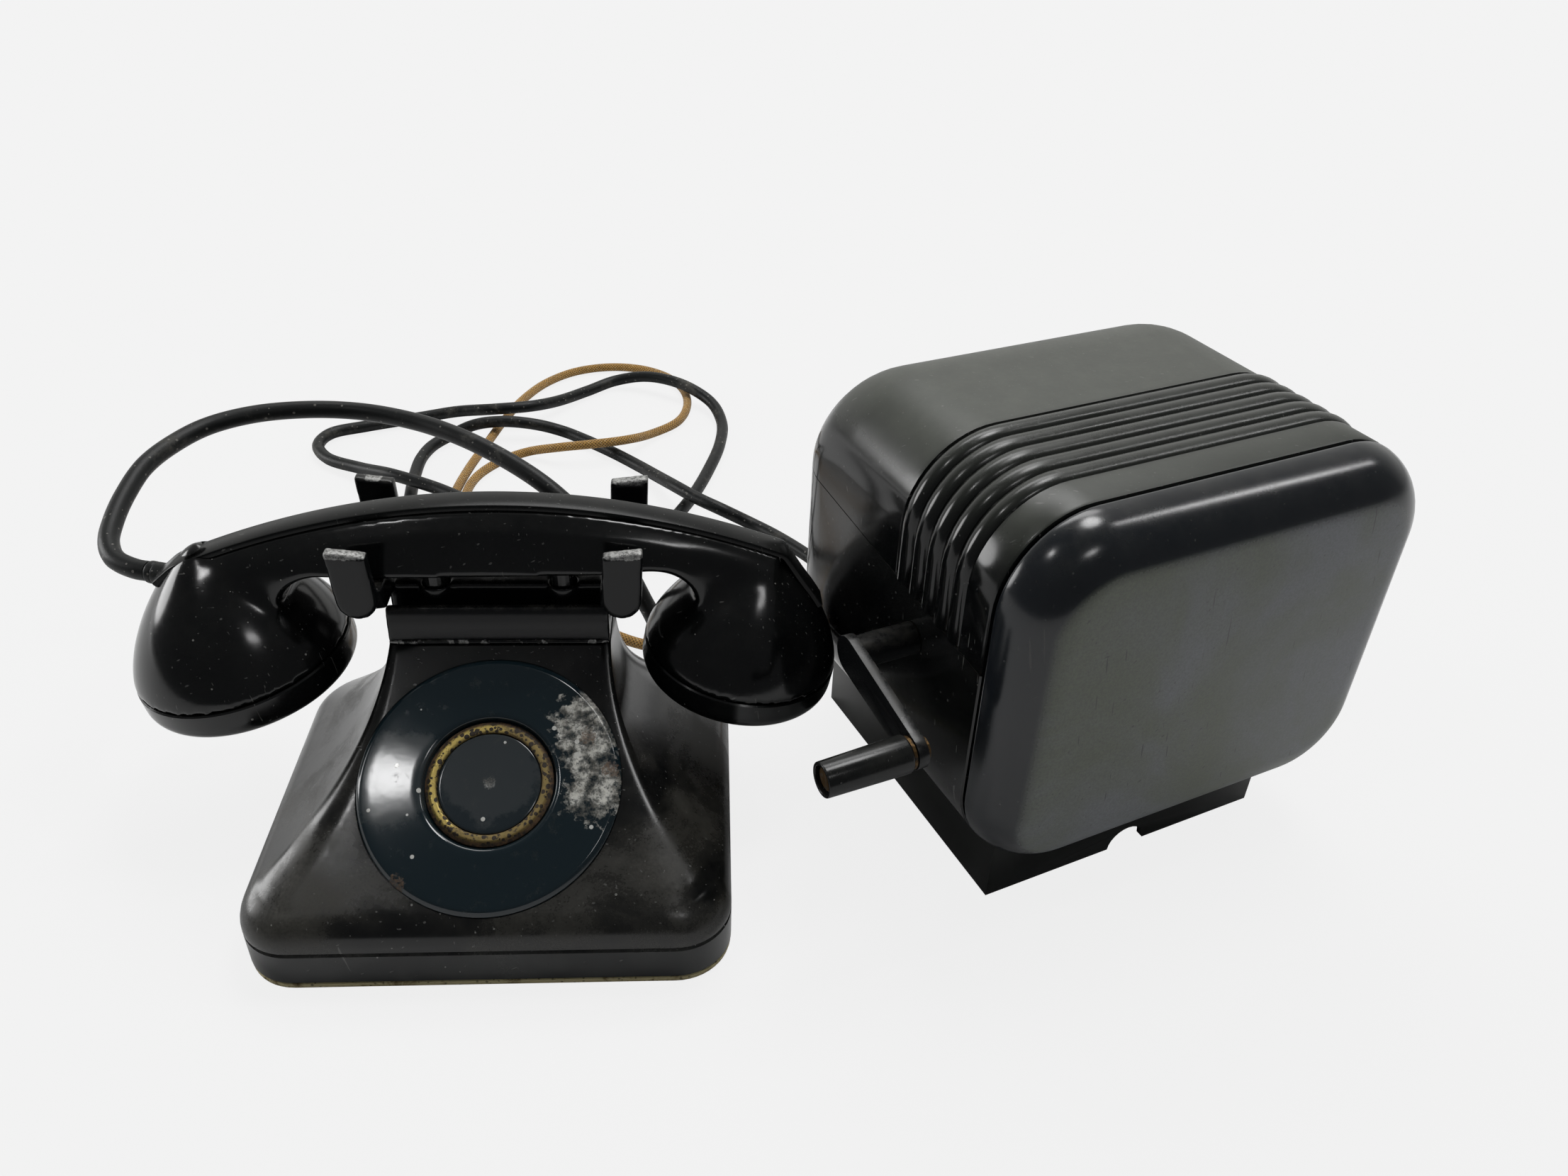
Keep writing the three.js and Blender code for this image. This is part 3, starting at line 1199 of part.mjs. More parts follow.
function makeGeneratorPlate(x) {
  const low = FLOOR_Z + GENERATOR_FLOOR + FIT;
  const plate = box([x, CRANK_Y - GENERATOR_HALF_DEPTH, low],
    [x + GENERATOR_PLATE, CRANK_Y + GENERATOR_HALF_DEPTH, CRANK_Z + 3 * CRANK_SHAFT_RADIUS]);
  return plate
    .subtract(barX(CRANK_SHAFT_RADIUS + FIT, x - 1, x + GENERATOR_PLATE + 1, CRANK_Y, CRANK_Z, 16))
    .subtract(barX(ARMATURE_SHAFT_RADIUS + FIT, x - 1, x + GENERATOR_PLATE + 1, CRANK_Y,
      ARMATURE_Z, 16));
}

// Two dry cells stand in a tray
const CELL_STEP = 2 * CELL_RADIUS + CELL_GAP;
const TRAY_FLOOR_Z = FLOOR_Z + TRAY_WALL;

function makeCellTray() {
  const half = CELL_RADIUS + FIT + TRAY_WALL;
  let tray = box([CELL_X - half, CELL_Y - half, FLOOR_Z],
    [CELL_X + half, CELL_Y + CELL_STEP + half, FLOOR_Z + TRAY_HEIGHT]);
  for (let i = 0; i < 2; i += 1) {
    tray = tray.subtract(cylinder(CELL_RADIUS + FIT, TRAY_FLOOR_Z, FLOOR_Z + TRAY_HEIGHT + 1,
      CELL_X, CELL_Y + i * CELL_STEP, 24));
  }
  return tray;
}

function makeDryCell(index) {
  const low = TRAY_FLOOR_Z + FIT;
  const can = cylinder(CELL_RADIUS, low, low + CELL_LENGTH, 0, 0, 24);
  const cap = cylinder(CELL_CAP_RADIUS, low + CELL_LENGTH - 1, low + CELL_LENGTH + CELL_CAP_HEIGHT,
    0, 0, 12);
  return moved(can.add(cap), [CELL_X, CELL_Y + index * CELL_STEP, 0]);
}

function terminalPlace(index) {
  const x = BOARD_X + BOARD_WIDTH / 2 + (index - (TERMINAL_COUNT - 1) / 2) * TERMINAL_PITCH;
  return [x, FLOOR_Z + BOARD_HEIGHT - TERMINAL_DROP];
}

function makeTerminalBoard() {
  let board = box([BOARD_X, BOARD_Y, FLOOR_Z],
    [BOARD_X + BOARD_WIDTH, BOARD_Y + BOARD_THICKNESS, FLOOR_Z + BOARD_HEIGHT]);
  board = board.add(box([BOARD_X, BOARD_Y, FLOOR_Z],
    [BOARD_X + BOARD_WIDTH, BOARD_Y + BOARD_FOOT, FLOOR_Z + BOARD_THICKNESS]));
  for (let i = 0; i < TERMINAL_COUNT; i += 1) {
    const [x, z] = terminalPlace(i);
    board = board.add(barY(TERMINAL_RADIUS, BOARD_Y - TERMINAL_LENGTH, BOARD_Y + 1, x, z, 10));
  }
  return board;
}

// Inside the telephone: chassis, ringer, coil, capacitor, terminals and the hook switch
const CHASSIS_TOP = CHASSIS_Z + CHASSIS_THICKNESS;
const SEAT_Z = CHASSIS_TOP + FIT;
const COIL_Z = SEAT_Z + YOKE_FOOT + FIT + COIL_RADIUS;
const GONG_X = CLAPPER_BALL_RADIUS + STRIKE_GAP + GONG_RADIUS;
const COIL_REAR_Y = COIL_FRONT_Y + COIL_LENGTH;

function makeChassis() {
  let chassis = slab(CHASSIS_WIDTH / 2, -CHASSIS_DEPTH / 2, CHASSIS_DEPTH / 2, CHASSIS_CORNER,
    CHASSIS_Z, CHASSIS_TOP);
  for (const [x, y] of chassisPosts()) {
    chassis = chassis.add(cylinder(CHASSIS_POST_RADIUS, PLATE_THICKNESS + FIT, CHASSIS_TOP, x, y, 12));
  }
  return union(chassis, makeGongPost(-1), makeGongPost(1));
}

function chassisPosts() {
  return [-1, 1].flatMap((i) => [-1, 1].map((j) => [i * CHASSIS_POST_X, j * CHASSIS_POST_Y]));
}

function makeGong(side) {
  const top = GONG_Z + GONG_HEIGHT;
  const bowl = turned([
    [SCREW_RADIUS + FIT, top - GONG_WALL],
    [GONG_RADIUS * 0.62, top - GONG_WALL],
    [GONG_RADIUS * 0.86, top - 0.45 * GONG_HEIGHT],
    [GONG_RADIUS - GONG_WALL, GONG_Z],
    [GONG_RADIUS, GONG_Z],
    [GONG_RADIUS * 0.94, top - 0.45 * GONG_HEIGHT],
    [GONG_RADIUS * 0.7, top],
    [SCREW_RADIUS + FIT, top],
    [SCREW_RADIUS + FIT, top - GONG_WALL],
  ], 20);
  return moved(bowl, [side * GONG_X, GONG_Y, 0]);
}

function makeGongPost(side) {
  const top = GONG_Z + GONG_HEIGHT;
  const post = cylinder(GONG_POST_RADIUS, CHASSIS_Z, top - GONG_WALL - FIT, 0, 0, 12);
  const screw = cylinder(SCREW_RADIUS, CHASSIS_Z, top + FIT + 1, 0, 0, 10);
  const head = cylinder(SCREW_HEAD_RADIUS, top + FIT, top + FIT + SCREW_HEAD_HEIGHT, 0, 0, 12);
  return moved(union(post, screw, head), [side * GONG_X, GONG_Y, 0]);
}

function makeRingerFrame() {
  const half = COIL_X + COIL_RADIUS;
  const foot = box([-half, COIL_FRONT_Y - FIT - YOKE_THICKNESS, SEAT_Z],
    [half, CLAPPER_PIVOT_Y + CLAPPER_HUB_RADIUS, SEAT_Z + YOKE_FOOT]);
  const yoke = box([-half, COIL_FRONT_Y - FIT - YOKE_THICKNESS, SEAT_Z],
    [half, COIL_FRONT_Y - FIT, COIL_Z + COIL_RADIUS]);
  const cores = [-1, 1].map((side) => barY(COIL_CORE_RADIUS, COIL_FRONT_Y - 1,
    COIL_REAR_Y + FIT, side * COIL_X, COIL_Z, 16));
  const pin = cylinder(CLAPPER_PIVOT_RADIUS, SEAT_Z, COIL_Z + CLAPPER_HUB_HEIGHT, 0,
    CLAPPER_PIVOT_Y, 12);
  return union(foot, yoke, ...cores, pin);
}

function makeCoil(side) {
  const half = COIL_LENGTH / 2;
  const bobbin = turned([
    [COIL_CORE_RADIUS + FIT, -half], [COIL_RADIUS, -half], [COIL_RADIUS, -half + COIL_FLANGE],
    [COIL_RADIUS - COIL_FLANGE, -half + COIL_FLANGE],
    [COIL_RADIUS - COIL_FLANGE, half - COIL_FLANGE], [COIL_RADIUS, half - COIL_FLANGE],
    [COIL_RADIUS, half], [COIL_CORE_RADIUS + FIT, half], [COIL_CORE_RADIUS + FIT, -half],
  ], 14);
  return moved(bobbin, [side * COIL_X, COIL_FRONT_Y + half, COIL_Z], [Math.PI / 2, 0, 0]);
}

// The clapper swings about an upright pin, and its ball lies between the gongs
function makeClapper() {
  const low = SEAT_Z + YOKE_FOOT + FIT;
  const high = COIL_Z + CLAPPER_HUB_HEIGHT - FIT;
  const face = COIL_REAR_Y + FIT + RUNNING + FIT;
  const bar = box([-COIL_X - COIL_CORE_RADIUS, face, COIL_Z - COIL_CORE_RADIUS],
    [COIL_X + COIL_CORE_RADIUS, face + ARMATURE_BAR_THICKNESS, COIL_Z + COIL_CORE_RADIUS]);
  const hub = cylinder(CLAPPER_HUB_RADIUS, low, high, 0, CLAPPER_PIVOT_Y, 16);
  const bore = cylinder(CLAPPER_PIVOT_RADIUS + FIT, low - 1, high + 1, 0, CLAPPER_PIVOT_Y, 12);
  const rod = barY(CLAPPER_ROD_RADIUS, CLAPPER_PIVOT_Y + CLAPPER_PIVOT_RADIUS + 2 * FIT, GONG_Y, 0,
    COIL_Z, 10);
  const ball = toSolid(place(new THREE.SphereGeometry(CLAPPER_BALL_RADIUS, 10, 7), [0, GONG_Y,
    COIL_Z]));
  return union(bar, hub).subtract(bore).add(rod).add(ball);
}

function makeInductionCoil() {
  const half = INDUCTION_FLANGE / 2;
  const middle = SEAT_Z + half;
  const near = INDUCTION_Y - INDUCTION_LENGTH / 2;
  const far = INDUCTION_Y + INDUCTION_LENGTH / 2;
  const plate = (y) => box([INDUCTION_X - half, y, SEAT_Z],
    [INDUCTION_X + half, y + CHASSIS_THICKNESS, SEAT_Z + INDUCTION_FLANGE]);
  const winding = barY(INDUCTION_RADIUS, near, far, INDUCTION_X, middle, 24);
  return union(winding, plate(near), plate(far - CHASSIS_THICKNESS));
}

function makeCapacitor() {
  const [width, depth, height] = CAPACITOR_SIZE;
  return box([CAPACITOR_X - width / 2, CAPACITOR_Y - depth / 2, SEAT_Z],
    [CAPACITOR_X + width / 2, CAPACITOR_Y + depth / 2, SEAT_Z + height]);
}

function makeTerminalBlock() {
  const [width, depth, height] = BLOCK_SIZE;
  let block = box([BLOCK_X - width / 2, BLOCK_Y - depth / 2, SEAT_Z],
    [BLOCK_X + width / 2, BLOCK_Y + depth / 2, SEAT_Z + height]);
  for (let i = 0; i < BLOCK_SCREW_COUNT; i += 1) {
    const x = BLOCK_X + width * ((i + 0.5) / BLOCK_SCREW_COUNT - 0.5);
    block = block.add(cylinder(BLOCK_SCREW_RADIUS, SEAT_Z + 1, SEAT_Z + height + BLOCK_SCREW_HEIGHT,
      x, BLOCK_Y, 10));
  }
  return block;
}

function makeSwitchBracket() {
  const top = LEVER_PIVOT_Z + LEVER_HUB_RADIUS;
  const back = box([-BRACKET_HALF_WIDTH, BRACKET_Y, SEAT_Z],
    [BRACKET_HALF_WIDTH, BRACKET_Y + BRACKET_THICKNESS, top]);
  const foot = box([-BRACKET_HALF_WIDTH / 3, BRACKET_Y - BRACKET_FOOT_DEPTH, SEAT_Z],
    [BRACKET_HALF_WIDTH / 3, BRACKET_Y + BRACKET_THICKNESS, SEAT_Z + BRACKET_THICKNESS]);
  const lug = (side) => {
    const near = side * (LEVER_HALF_WIDTH + FIT);
    const far = near + side * BRACKET_THICKNESS;
    const low = LEVER_PIVOT_Z - 2 * LEVER_HUB_RADIUS;
    return box([Math.min(near, far), LEVER_PIVOT_Y - LEVER_HUB_RADIUS, low],
      [Math.max(near, far), BRACKET_Y + 1, top]);
  };
  const reach = LEVER_HALF_WIDTH + FIT + BRACKET_THICKNESS / 2;
  const pin = barX(LEVER_PIN_RADIUS, -reach, reach, LEVER_PIVOT_Y, LEVER_PIVOT_Z, 10);
  return union(back, foot, lug(-1), lug(1), pin);
}

// The lever lies under both plungers and follows them up
function makeSwitchLever() {
  const top = PLUNGER_FOOT_Z - FIT;
  const front = PLUNGER_Y - PLUNGER_STEM_RADIUS;
  const low = top - LEVER_THICKNESS;
  const plate = drawnX([
    [LEVER_PIVOT_Y - LEVER_HUB_RADIUS + 1, LEVER_PIVOT_Z],
    [LEVER_PIVOT_Y + LEVER_HUB_RADIUS - 1, LEVER_PIVOT_Z],
    [LEVER_PIVOT_Y, top],
    [front, top],
    [front, low],
    [LEVER_PIVOT_Y - LEVER_HUB_RADIUS, low],
  ], -LEVER_HALF_WIDTH, LEVER_HALF_WIDTH);
  const hub = barX(LEVER_HUB_RADIUS, -LEVER_HALF_WIDTH, LEVER_HALF_WIDTH, LEVER_PIVOT_Y,
    LEVER_PIVOT_Z, 16);
  const bore = barX(LEVER_PIN_RADIUS + FIT, -BRACKET_HALF_WIDTH, BRACKET_HALF_WIDTH, LEVER_PIVOT_Y,
    LEVER_PIVOT_Z, 12);
  return plate.add(hub).subtract(bore);
}

function makeSwitchSprings() {
  const rear = BRACKET_Y - FIT;
  const half = BLADE_WIDTH / 2;
  const height = (BLADE_COUNT + 1) * BLADE_PITCH;
  let stack = box([-BLADE_WIDTH, rear - BLADE_BLOCK_DEPTH, BLADE_STACK_Z - height / 2],
    [BLADE_WIDTH, rear, BLADE_STACK_Z + height / 2]);
  for (let i = 0; i < BLADE_COUNT; i += 1) {
    const z = BLADE_STACK_Z + (i - (BLADE_COUNT - 1) / 2) * BLADE_PITCH;
    stack = stack.add(box([-half, rear - BLADE_LENGTH, z - BLADE_THICKNESS / 2],
      [half, rear - 1, z + BLADE_THICKNESS / 2]));
  }
  return stack;
}

// Cords: routes chosen from the photograph, from the telephone's rear or the handset outwards
// From the handset's sleeve in an arch behind the handset, then down to the rear of the base
const HANDSET_ROUTE = [
  [-118.5, 37.9, 91.6], [-123.3, 39.3, 91.6], [-131.8, 44.4, 92.2], [-136.7, 52.4, 93.6],
  [-139, 64, 95.5], [-139.5, 78, 98], [-138, 94, 100.5], [-133, 109, 101.5], [-124, 122, 102.5],
  [-109, 131.5, 103], [-89, 137, 102.5], [-69, 137.5, 101.5], [-47, 130.5, 101],
  [-28, 119.5, 100.5], [-9, 106.5, 98], [8, 94.5, 93], [21, 87.5, 84], [31, 86.5, 72],
  [38.5, 88, 58], [44, 90, 43], [48.5, 91.5, 30], [51.5, 89, 19.5], [52, 82, 12.3], [52, 76, 9.9],
  [52, 72.4, 9.5],
];
// Round the large loop behind the telephone and back to the box
const LONG_ROUTE = [
  [13.9, 72.1, 9.5], [14, 79, 9.5], [16.5, 105, 8.5], [24.5, 127.5, 10], [30, 153.5, 5],
  [39, 179, 3.6], [50.5, 208.5, 3.6], [62, 237, 3.6], [70.5, 266, 3.6], [76.5, 294.5, 3.6],
  [77.5, 321, 3.6], [71, 340.5, 6.5], [53.5, 356.5, 10], [32.5, 368, 9], [14, 370.5, 5],
  [-2, 359, 3.6], [-17.5, 339.5, 6.5], [-31.5, 325.5, 10], [-51, 321.5, 10], [-73.5, 327, 5.5],
  [-93.5, 323, 3.6], [-121, 312, 3.6], [-138.5, 303, 3.6], [-142, 289.5, 3.6], [-133.5, 275, 3.6],
  [-113, 260.5, 6], [-92, 244, 11.5], [-68.5, 232, 11], [-46.5, 218.5, 10], [-27, 217.5, 4.5],
  [-4, 211, 3.6], [17, 200.5, 6], [37, 186.5, 11.5], [58.5, 179.5, 11.5], [79, 180.5, 4.5],
  [98, 170, 3.6], [119, 151.5, 3.6], [136.5, 131, 4], [150, 109.5, 10], [153.1, 103.1, 10],
];
// Round the small loop and straight to the box
const SHORT_ROUTE = [
  [-54.7, 72.3, 9.5], [-55, 79.5, 9.5], [-57, 99.5, 5], [-60, 119.5, 3.6], [-64, 142.5, 3.6],
  [-69.5, 166, 3.6], [-74.5, 189, 3.6], [-79, 212, 3.6], [-82, 235, 3.6], [-84, 257.5, 3.6],
  [-84, 276, 3.6], [-80.5, 290, 3.6], [-72.5, 300, 4.5], [-60, 305, 8.5], [-44.5, 306.5, 10],
  [-26, 306, 8.5], [-12, 307, 4], [1.5, 297.5, 3.6], [18, 283, 3.6], [32.5, 268.5, 3.6],
  [43, 252.5, 6.5], [52.5, 235, 11], [64.5, 221.5, 11.5], [76.5, 212.5, 10.5], [91, 210, 4],
  [103, 199, 3.6], [117, 182.5, 3.6], [130, 163.5, 3.6], [143, 145, 3.6], [156, 130.5, 5.5],
  [169, 117, 10], [172.3, 110.7, 10],
];
// Out and back in one narrow loop, then to the box
const TEXTILE_ROUTE = [
  [-30.3, 72.5, 9.5], [-30, 79.5, 9.5], [-32, 103.5, 4], [-37, 128.5, 2.8], [-45.5, 156.5, 2.8],
  [-54, 184.5, 2.8], [-59.5, 211.5, 2.8], [-60.5, 238, 2.8], [-57.5, 265.5, 2.8], [-52, 294, 2.8],
  [-46, 323.5, 2.8], [-38.5, 349.5, 2.8], [-27.5, 371.5, 2.8], [-12, 387, 2.8], [7.5, 394, 2.8],
  [27.5, 392, 2.8], [44, 381.5, 2.8], [54.5, 364, 2.8], [57.5, 342.5, 2.8], [52.5, 322, 2.8],
  [38, 304.5, 4], [24, 286.5, 9.5], [7.5, 279, 11], [-11.5, 278.5, 9], [-28.5, 283.5, 3.5],
  [-41.5, 274.5, 2.8], [-52, 257, 2.8], [-54.5, 235.5, 2.8], [-48.5, 213, 2.8], [-36.5, 189, 2.8],
  [-21, 166, 2.8], [-3, 145.5, 2.8], [18, 127, 2.8], [39, 113, 2.8], [59, 108, 2.8],
  [82, 112.5, 2.8], [105.5, 117.5, 2.8], [122.5, 113.5, 6], [132.5, 101, 10], [134.7, 94.3, 10],
];

function makeCord(route, diameter) {
  const curve = new THREE.CatmullRomCurve3(route.map((point) => new THREE.Vector3(...point)), false,
    "centripetal");
  const steps = Math.ceil(curve.getLength() / (CORD_STEP * diameter));
  const circle = new THREE.Shape(Array.from({ length: CORD_SIDES }, (_, i) => {
    const angle = (2 * Math.PI * i) / CORD_SIDES;
    return new THREE.Vector2((diameter / 2) * Math.cos(angle), (diameter / 2) * Math.sin(angle));
  }));
  const geometry = new THREE.ExtrudeGeometry(circle, { steps, bevelEnabled: false, extrudePath: curve });
  return toSolid(geometry);
}

addPart("base_plate", makeBasePlate(), OLIVE_PLATE);
addPart("base_band", makeBaseBand(), BAKELITE);
addPart("phone_shell", makePhoneShell(), BAKELITE);
addPart("dial_blank", makeDialBlank(), PAINTED_METAL);
addPart("dial_ring", makeDialRing(), WORN_BRASS);
addPart("dial_disc", makeDialDisc(), PAINTED_METAL);
addPart("cradle", makeCradle(), PAINTED_METAL);
addPart("hook_plunger_left", makePlunger(-1), BAKELITE);
addPart("hook_plunger_right", makePlunger(1), BAKELITE);
addPart("handset_shell", makeHandsetShell(), BAKELITE, handsetGroup);
addPart("handset_strip", makeHandsetStrip(), BAKELITE, handsetGroup);
addPart("transmitter_cap", makeCap(TRANSMITTER), BAKELITE, handsetGroup);
addPart("receiver_cap", makeCap(RECEIVER), BAKELITE, handsetGroup);
addPart("transmitter_capsule", makeCapsule(TRANSMITTER), ZINC, handsetGroup);
addPart("receiver_capsule", makeCapsule(RECEIVER), ZINC, handsetGroup);
addPart("box_plinth", makePlinth(), PAINTED_METAL, boxGroup);
addPart("box_body", makeLowerBody(), BAKELITE, boxGroup);
addPart("box_lid", makeLid(), BAKELITE, boxGroup);
addPart("box_cover", makeFrontCover(), BAKELITE, boxGroup);
addPart("crank_arm", makeCrankArm(), PAINTED_METAL, boxGroup);
addPart("crank_bush", makeCrankBush(), WORN_BRASS, boxGroup);
addPart("crank_grip", makeCrankGrip(), BAKELITE, boxGroup);
addPart("grip_washer", makeGripWasher(), WORN_BRASS, boxGroup);
addPart("grip_pin", makeGripPin(), STEEL, boxGroup);
addPart("drive_gear", makeDriveGear(), WORN_BRASS, boxGroup);
addPart("armature", makeArmature(), STEEL, boxGroup);
for (let i = 0; i < MAGNET_COUNT; i += 1) {
  addPart(`magnet_${i + 1}`, makeMagnet(i), MAGNET_RED, boxGroup);
}
addPart("generator_base", makeGeneratorBase(), STEEL, boxGroup);
addPart("generator_plate_left", makeGeneratorPlate(PLATE_LEFT_X), WORN_BRASS, boxGroup);
addPart("generator_plate_right", makeGeneratorPlate(PLATE_RIGHT_X), WORN_BRASS, boxGroup);
addPart("cell_tray", makeCellTray(), STEEL, boxGroup);
addPart("dry_cell_front", makeDryCell(0), CELL_PAPER, boxGroup);
addPart("dry_cell_rear", makeDryCell(1), CELL_PAPER, boxGroup);
addPart("terminal_board", makeTerminalBoard(), FIBRE, boxGroup);
BOX_GLANDS.forEach(([x, diameter], i) => {
  const gland = makeGland(x, PLINTH_DEPTH, BOX_GLAND_Z, diameter, PLINTH_WALL);
  addPart(`box_gland_${i + 1}`, gland, RUBBER, boxGroup);
});
addPart("chassis", makeChassis(), STEEL);
addPart("gong_left", makeGong(-1), STEEL);
addPart("gong_right", makeGong(1), STEEL);
addPart("ringer_frame", makeRingerFrame(), STEEL);
addPart("ringer_coil_left", makeCoil(-1), COPPER_COIL);
addPart("ringer_coil_right", makeCoil(1), COPPER_COIL);
addPart("clapper", makeClapper(), STEEL);
addPart("induction_coil", makeInductionCoil(), COPPER_COIL);
addPart("capacitor", makeCapacitor(), ZINC);
addPart("terminal_block", makeTerminalBlock(), FIBRE);
addPart("switch_bracket", makeSwitchBracket(), STEEL);
addPart("switch_lever", makeSwitchLever(), STEEL);
addPart("switch_springs", makeSwitchSprings(), WORN_BRASS);
PHONE_GLANDS.forEach(([x, diameter], i) => {
  const gland = makeGland(x, REAR_Y, PHONE_GLAND_Z, diameter, BAND_WALL);
  addPart(`phone_gland_${i + 1}`, gland, RUBBER);
});
addPart("handset_sleeve", makeHandsetSleeve(), RUBBER, handsetGroup);
addPart("handset_cord", makeCord(HANDSET_ROUTE, HANDSET_CORD_DIAMETER), RUBBER);
addPart("long_cable", makeCord(LONG_ROUTE, CABLE_DIAMETER), RUBBER);
addPart("short_cable", makeCord(SHORT_ROUTE, CABLE_DIAMETER), RUBBER);
addPart("textile_cord", makeCord(TEXTILE_ROUTE, TEXTILE_DIAMETER), TEXTILE);

export default part;
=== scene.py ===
"""The looks of a field telephone: a desk set without a dial and the magneto box it is wired to.

Metres in the scene, millimetres in the sizes of the classes below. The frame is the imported
model's own: +Z up, -Y towards the user, the origin under the middle of the telephone.
"""

import logging
import math
from dataclasses import dataclass, field
from enum import Enum
from typing import Callable, Iterable, Sequence

import bpy
from mathutils import Matrix, Vector


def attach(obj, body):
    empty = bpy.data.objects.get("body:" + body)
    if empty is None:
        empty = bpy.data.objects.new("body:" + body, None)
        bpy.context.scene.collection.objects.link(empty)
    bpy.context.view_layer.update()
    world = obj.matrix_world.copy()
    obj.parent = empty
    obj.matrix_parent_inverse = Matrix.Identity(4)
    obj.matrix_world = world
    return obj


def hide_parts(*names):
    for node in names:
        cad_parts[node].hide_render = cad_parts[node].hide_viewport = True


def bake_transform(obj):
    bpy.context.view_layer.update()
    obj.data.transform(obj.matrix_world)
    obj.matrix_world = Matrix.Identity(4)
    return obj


# A Spot is a place with a radius round it, a Stop a colour with its place on a ramp, and an
# Input what a shader socket takes.
Point = tuple[float, float, float]
Flat = tuple[float, float]
Ring = list[Point]
Colour = tuple[float, float, float]
Spot = tuple[Point, float]
Stop = tuple[Colour, float]
Piece = bpy.types.Object
Socket = bpy.types.NodeSocket
Input = Socket | float | Colour

MM = 0.001
ROOT = "telephone_and_box"
QUARTER = math.pi / 2
# Edges that bend more than HARD_EDGE are bevelled. ON_RING and SAME_POINT are in metres.
HARD_EDGE = math.radians(50)
ON_RING = 1e-7
SAME_POINT = 1e-6
SAME_FACE = math.radians(0.5)
LOG = logging.getLogger("field_telephone")

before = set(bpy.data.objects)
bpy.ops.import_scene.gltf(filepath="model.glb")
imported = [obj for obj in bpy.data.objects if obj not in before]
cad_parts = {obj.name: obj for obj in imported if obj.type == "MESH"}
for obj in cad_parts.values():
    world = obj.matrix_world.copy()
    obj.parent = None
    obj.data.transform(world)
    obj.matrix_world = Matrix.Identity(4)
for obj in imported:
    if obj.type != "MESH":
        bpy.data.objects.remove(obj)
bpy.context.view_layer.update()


# Places


@dataclass(frozen=True)
class Place:
    """A place in the part's frame that a sub-assembly is drawn in."""

    matrix: Matrix

    @classmethod
    def at(cls, x: float, y: float, z: float, turn_z: float = 0, turn_x: float = 0) -> "Place":
        """Return the place at a point in millimetres, turned about Z and then about X."""
        turn = Matrix.Rotation(turn_z, 4, "Z") @ Matrix.Rotation(turn_x, 4, "X")
        return cls(Matrix.Translation((x, y, z)) @ turn)

    def within(self, other: "Place") -> "Place":
        """Return this place, which is drawn in another one, as a place of the part."""
        return Place(other.matrix @ self.matrix)

    def metres(self, point: Sequence[float]) -> Vector:
        """Return a point of this place in the scene, in metres."""
        return (self.matrix @ Vector(point)) * MM

    def way(self, direction: Point) -> Vector:
        """Return a direction of this place in the scene."""
        return self.matrix.to_3x3() @ Vector(direction)


PART = Place.at(0, 0, 0)
BOX = Place.at(167.2, -29, 0, math.radians(22.9))
HANDSET = Place.at(-2.4, 33.5, 0, math.radians(1.6))


class End(Enum):
    """How a laid skin ends."""

    OPEN = "open"
    FLAT = "flat"


# Outlines


def fade(value: float, start: float, stop: float) -> float:
    """Return 0 at the start, 1 at the stop and a straight run between them."""
    return min(max((value - start) / (stop - start), 0), 1)


def circle(radius: float, count: int) -> list[Flat]:
    """Return points evenly round a circle, counter-clockwise from +X."""
    angles = [math.tau * i / count for i in range(count)]
    return [(radius * math.cos(angle), radius * math.sin(angle)) for angle in angles]


def plug(radius: float, low: float, high: float) -> list[Flat]:
    """Return the profile of a plain round cutter."""
    return [(0, low), (radius, low), (radius, high), (0, high)]


def rounded(profile: Sequence[Flat], radius: float, steps: int = 4) -> list[Flat]:
    """Round the corners of a profile's inner points.

    Args:
        profile: Points of an open profile.
        radius: The radius wanted, limited by the edges at each corner.
        steps: Points for each corner.

    Returns:
        The profile with each inner corner replaced by a short curve.
    """
    result = [tuple(profile[0])]
    for before, here, after in zip(profile, profile[1:], profile[2:]):
        a, b, c = Vector(before), Vector(here), Vector(after)
        reach = min(radius, (a - b).length * 0.45, (c - b).length * 0.45)
        p = b + (a - b).normalized() * reach
        q = b + (c - b).normalized() * reach
        for i in range(steps + 1):
            t = i / steps
            point = p * (1 - t) ** 2 + b * 2 * t * (1 - t) + q * t ** 2
            result.append((point.x, point.y))
    result.append(tuple(profile[-1]))
    return result


def oblong(half: float, front: float, rear: float, front_corner: float, rear_corner: float,
           steps: int = 12) -> list[Flat]:
    """Draw a rounded oblong, counter-clockwise, with its own front and rear corners.

    Args:
        half: Half of its width.
        front: The front edge's place.
        rear: The rear edge's place.
        front_corner: The radius of the two front corners.
        rear_corner: The radius of the two rear corners.
        steps: Points for each corner.

    Returns:
        The outline's points.
    """
    corners = (
        (half - front_corner, front + front_corner, front_corner, -QUARTER),
        (half - rear_corner, rear - rear_corner, rear_corner, 0.0),
        (-half + rear_corner, rear - rear_corner, rear_corner, QUARTER),
        (-half + front_corner, front + front_corner, front_corner, math.pi),
    )
    points = []
    for x, y, radius, start in corners:
        for i in range(steps + 1):
            angle = start + QUARTER * i / steps
            points.append((x + radius * math.cos(angle), y + radius * math.sin(angle)))
    return points


# Modelling


def select_only(obj: Piece) -> None:
    """Make one object the only selected and the active one.

    Args:
        obj: The object.
    """
    bpy.ops.object.select_all(action="DESELECT")
    obj.select_set(True)
    bpy.context.view_layer.objects.active = obj


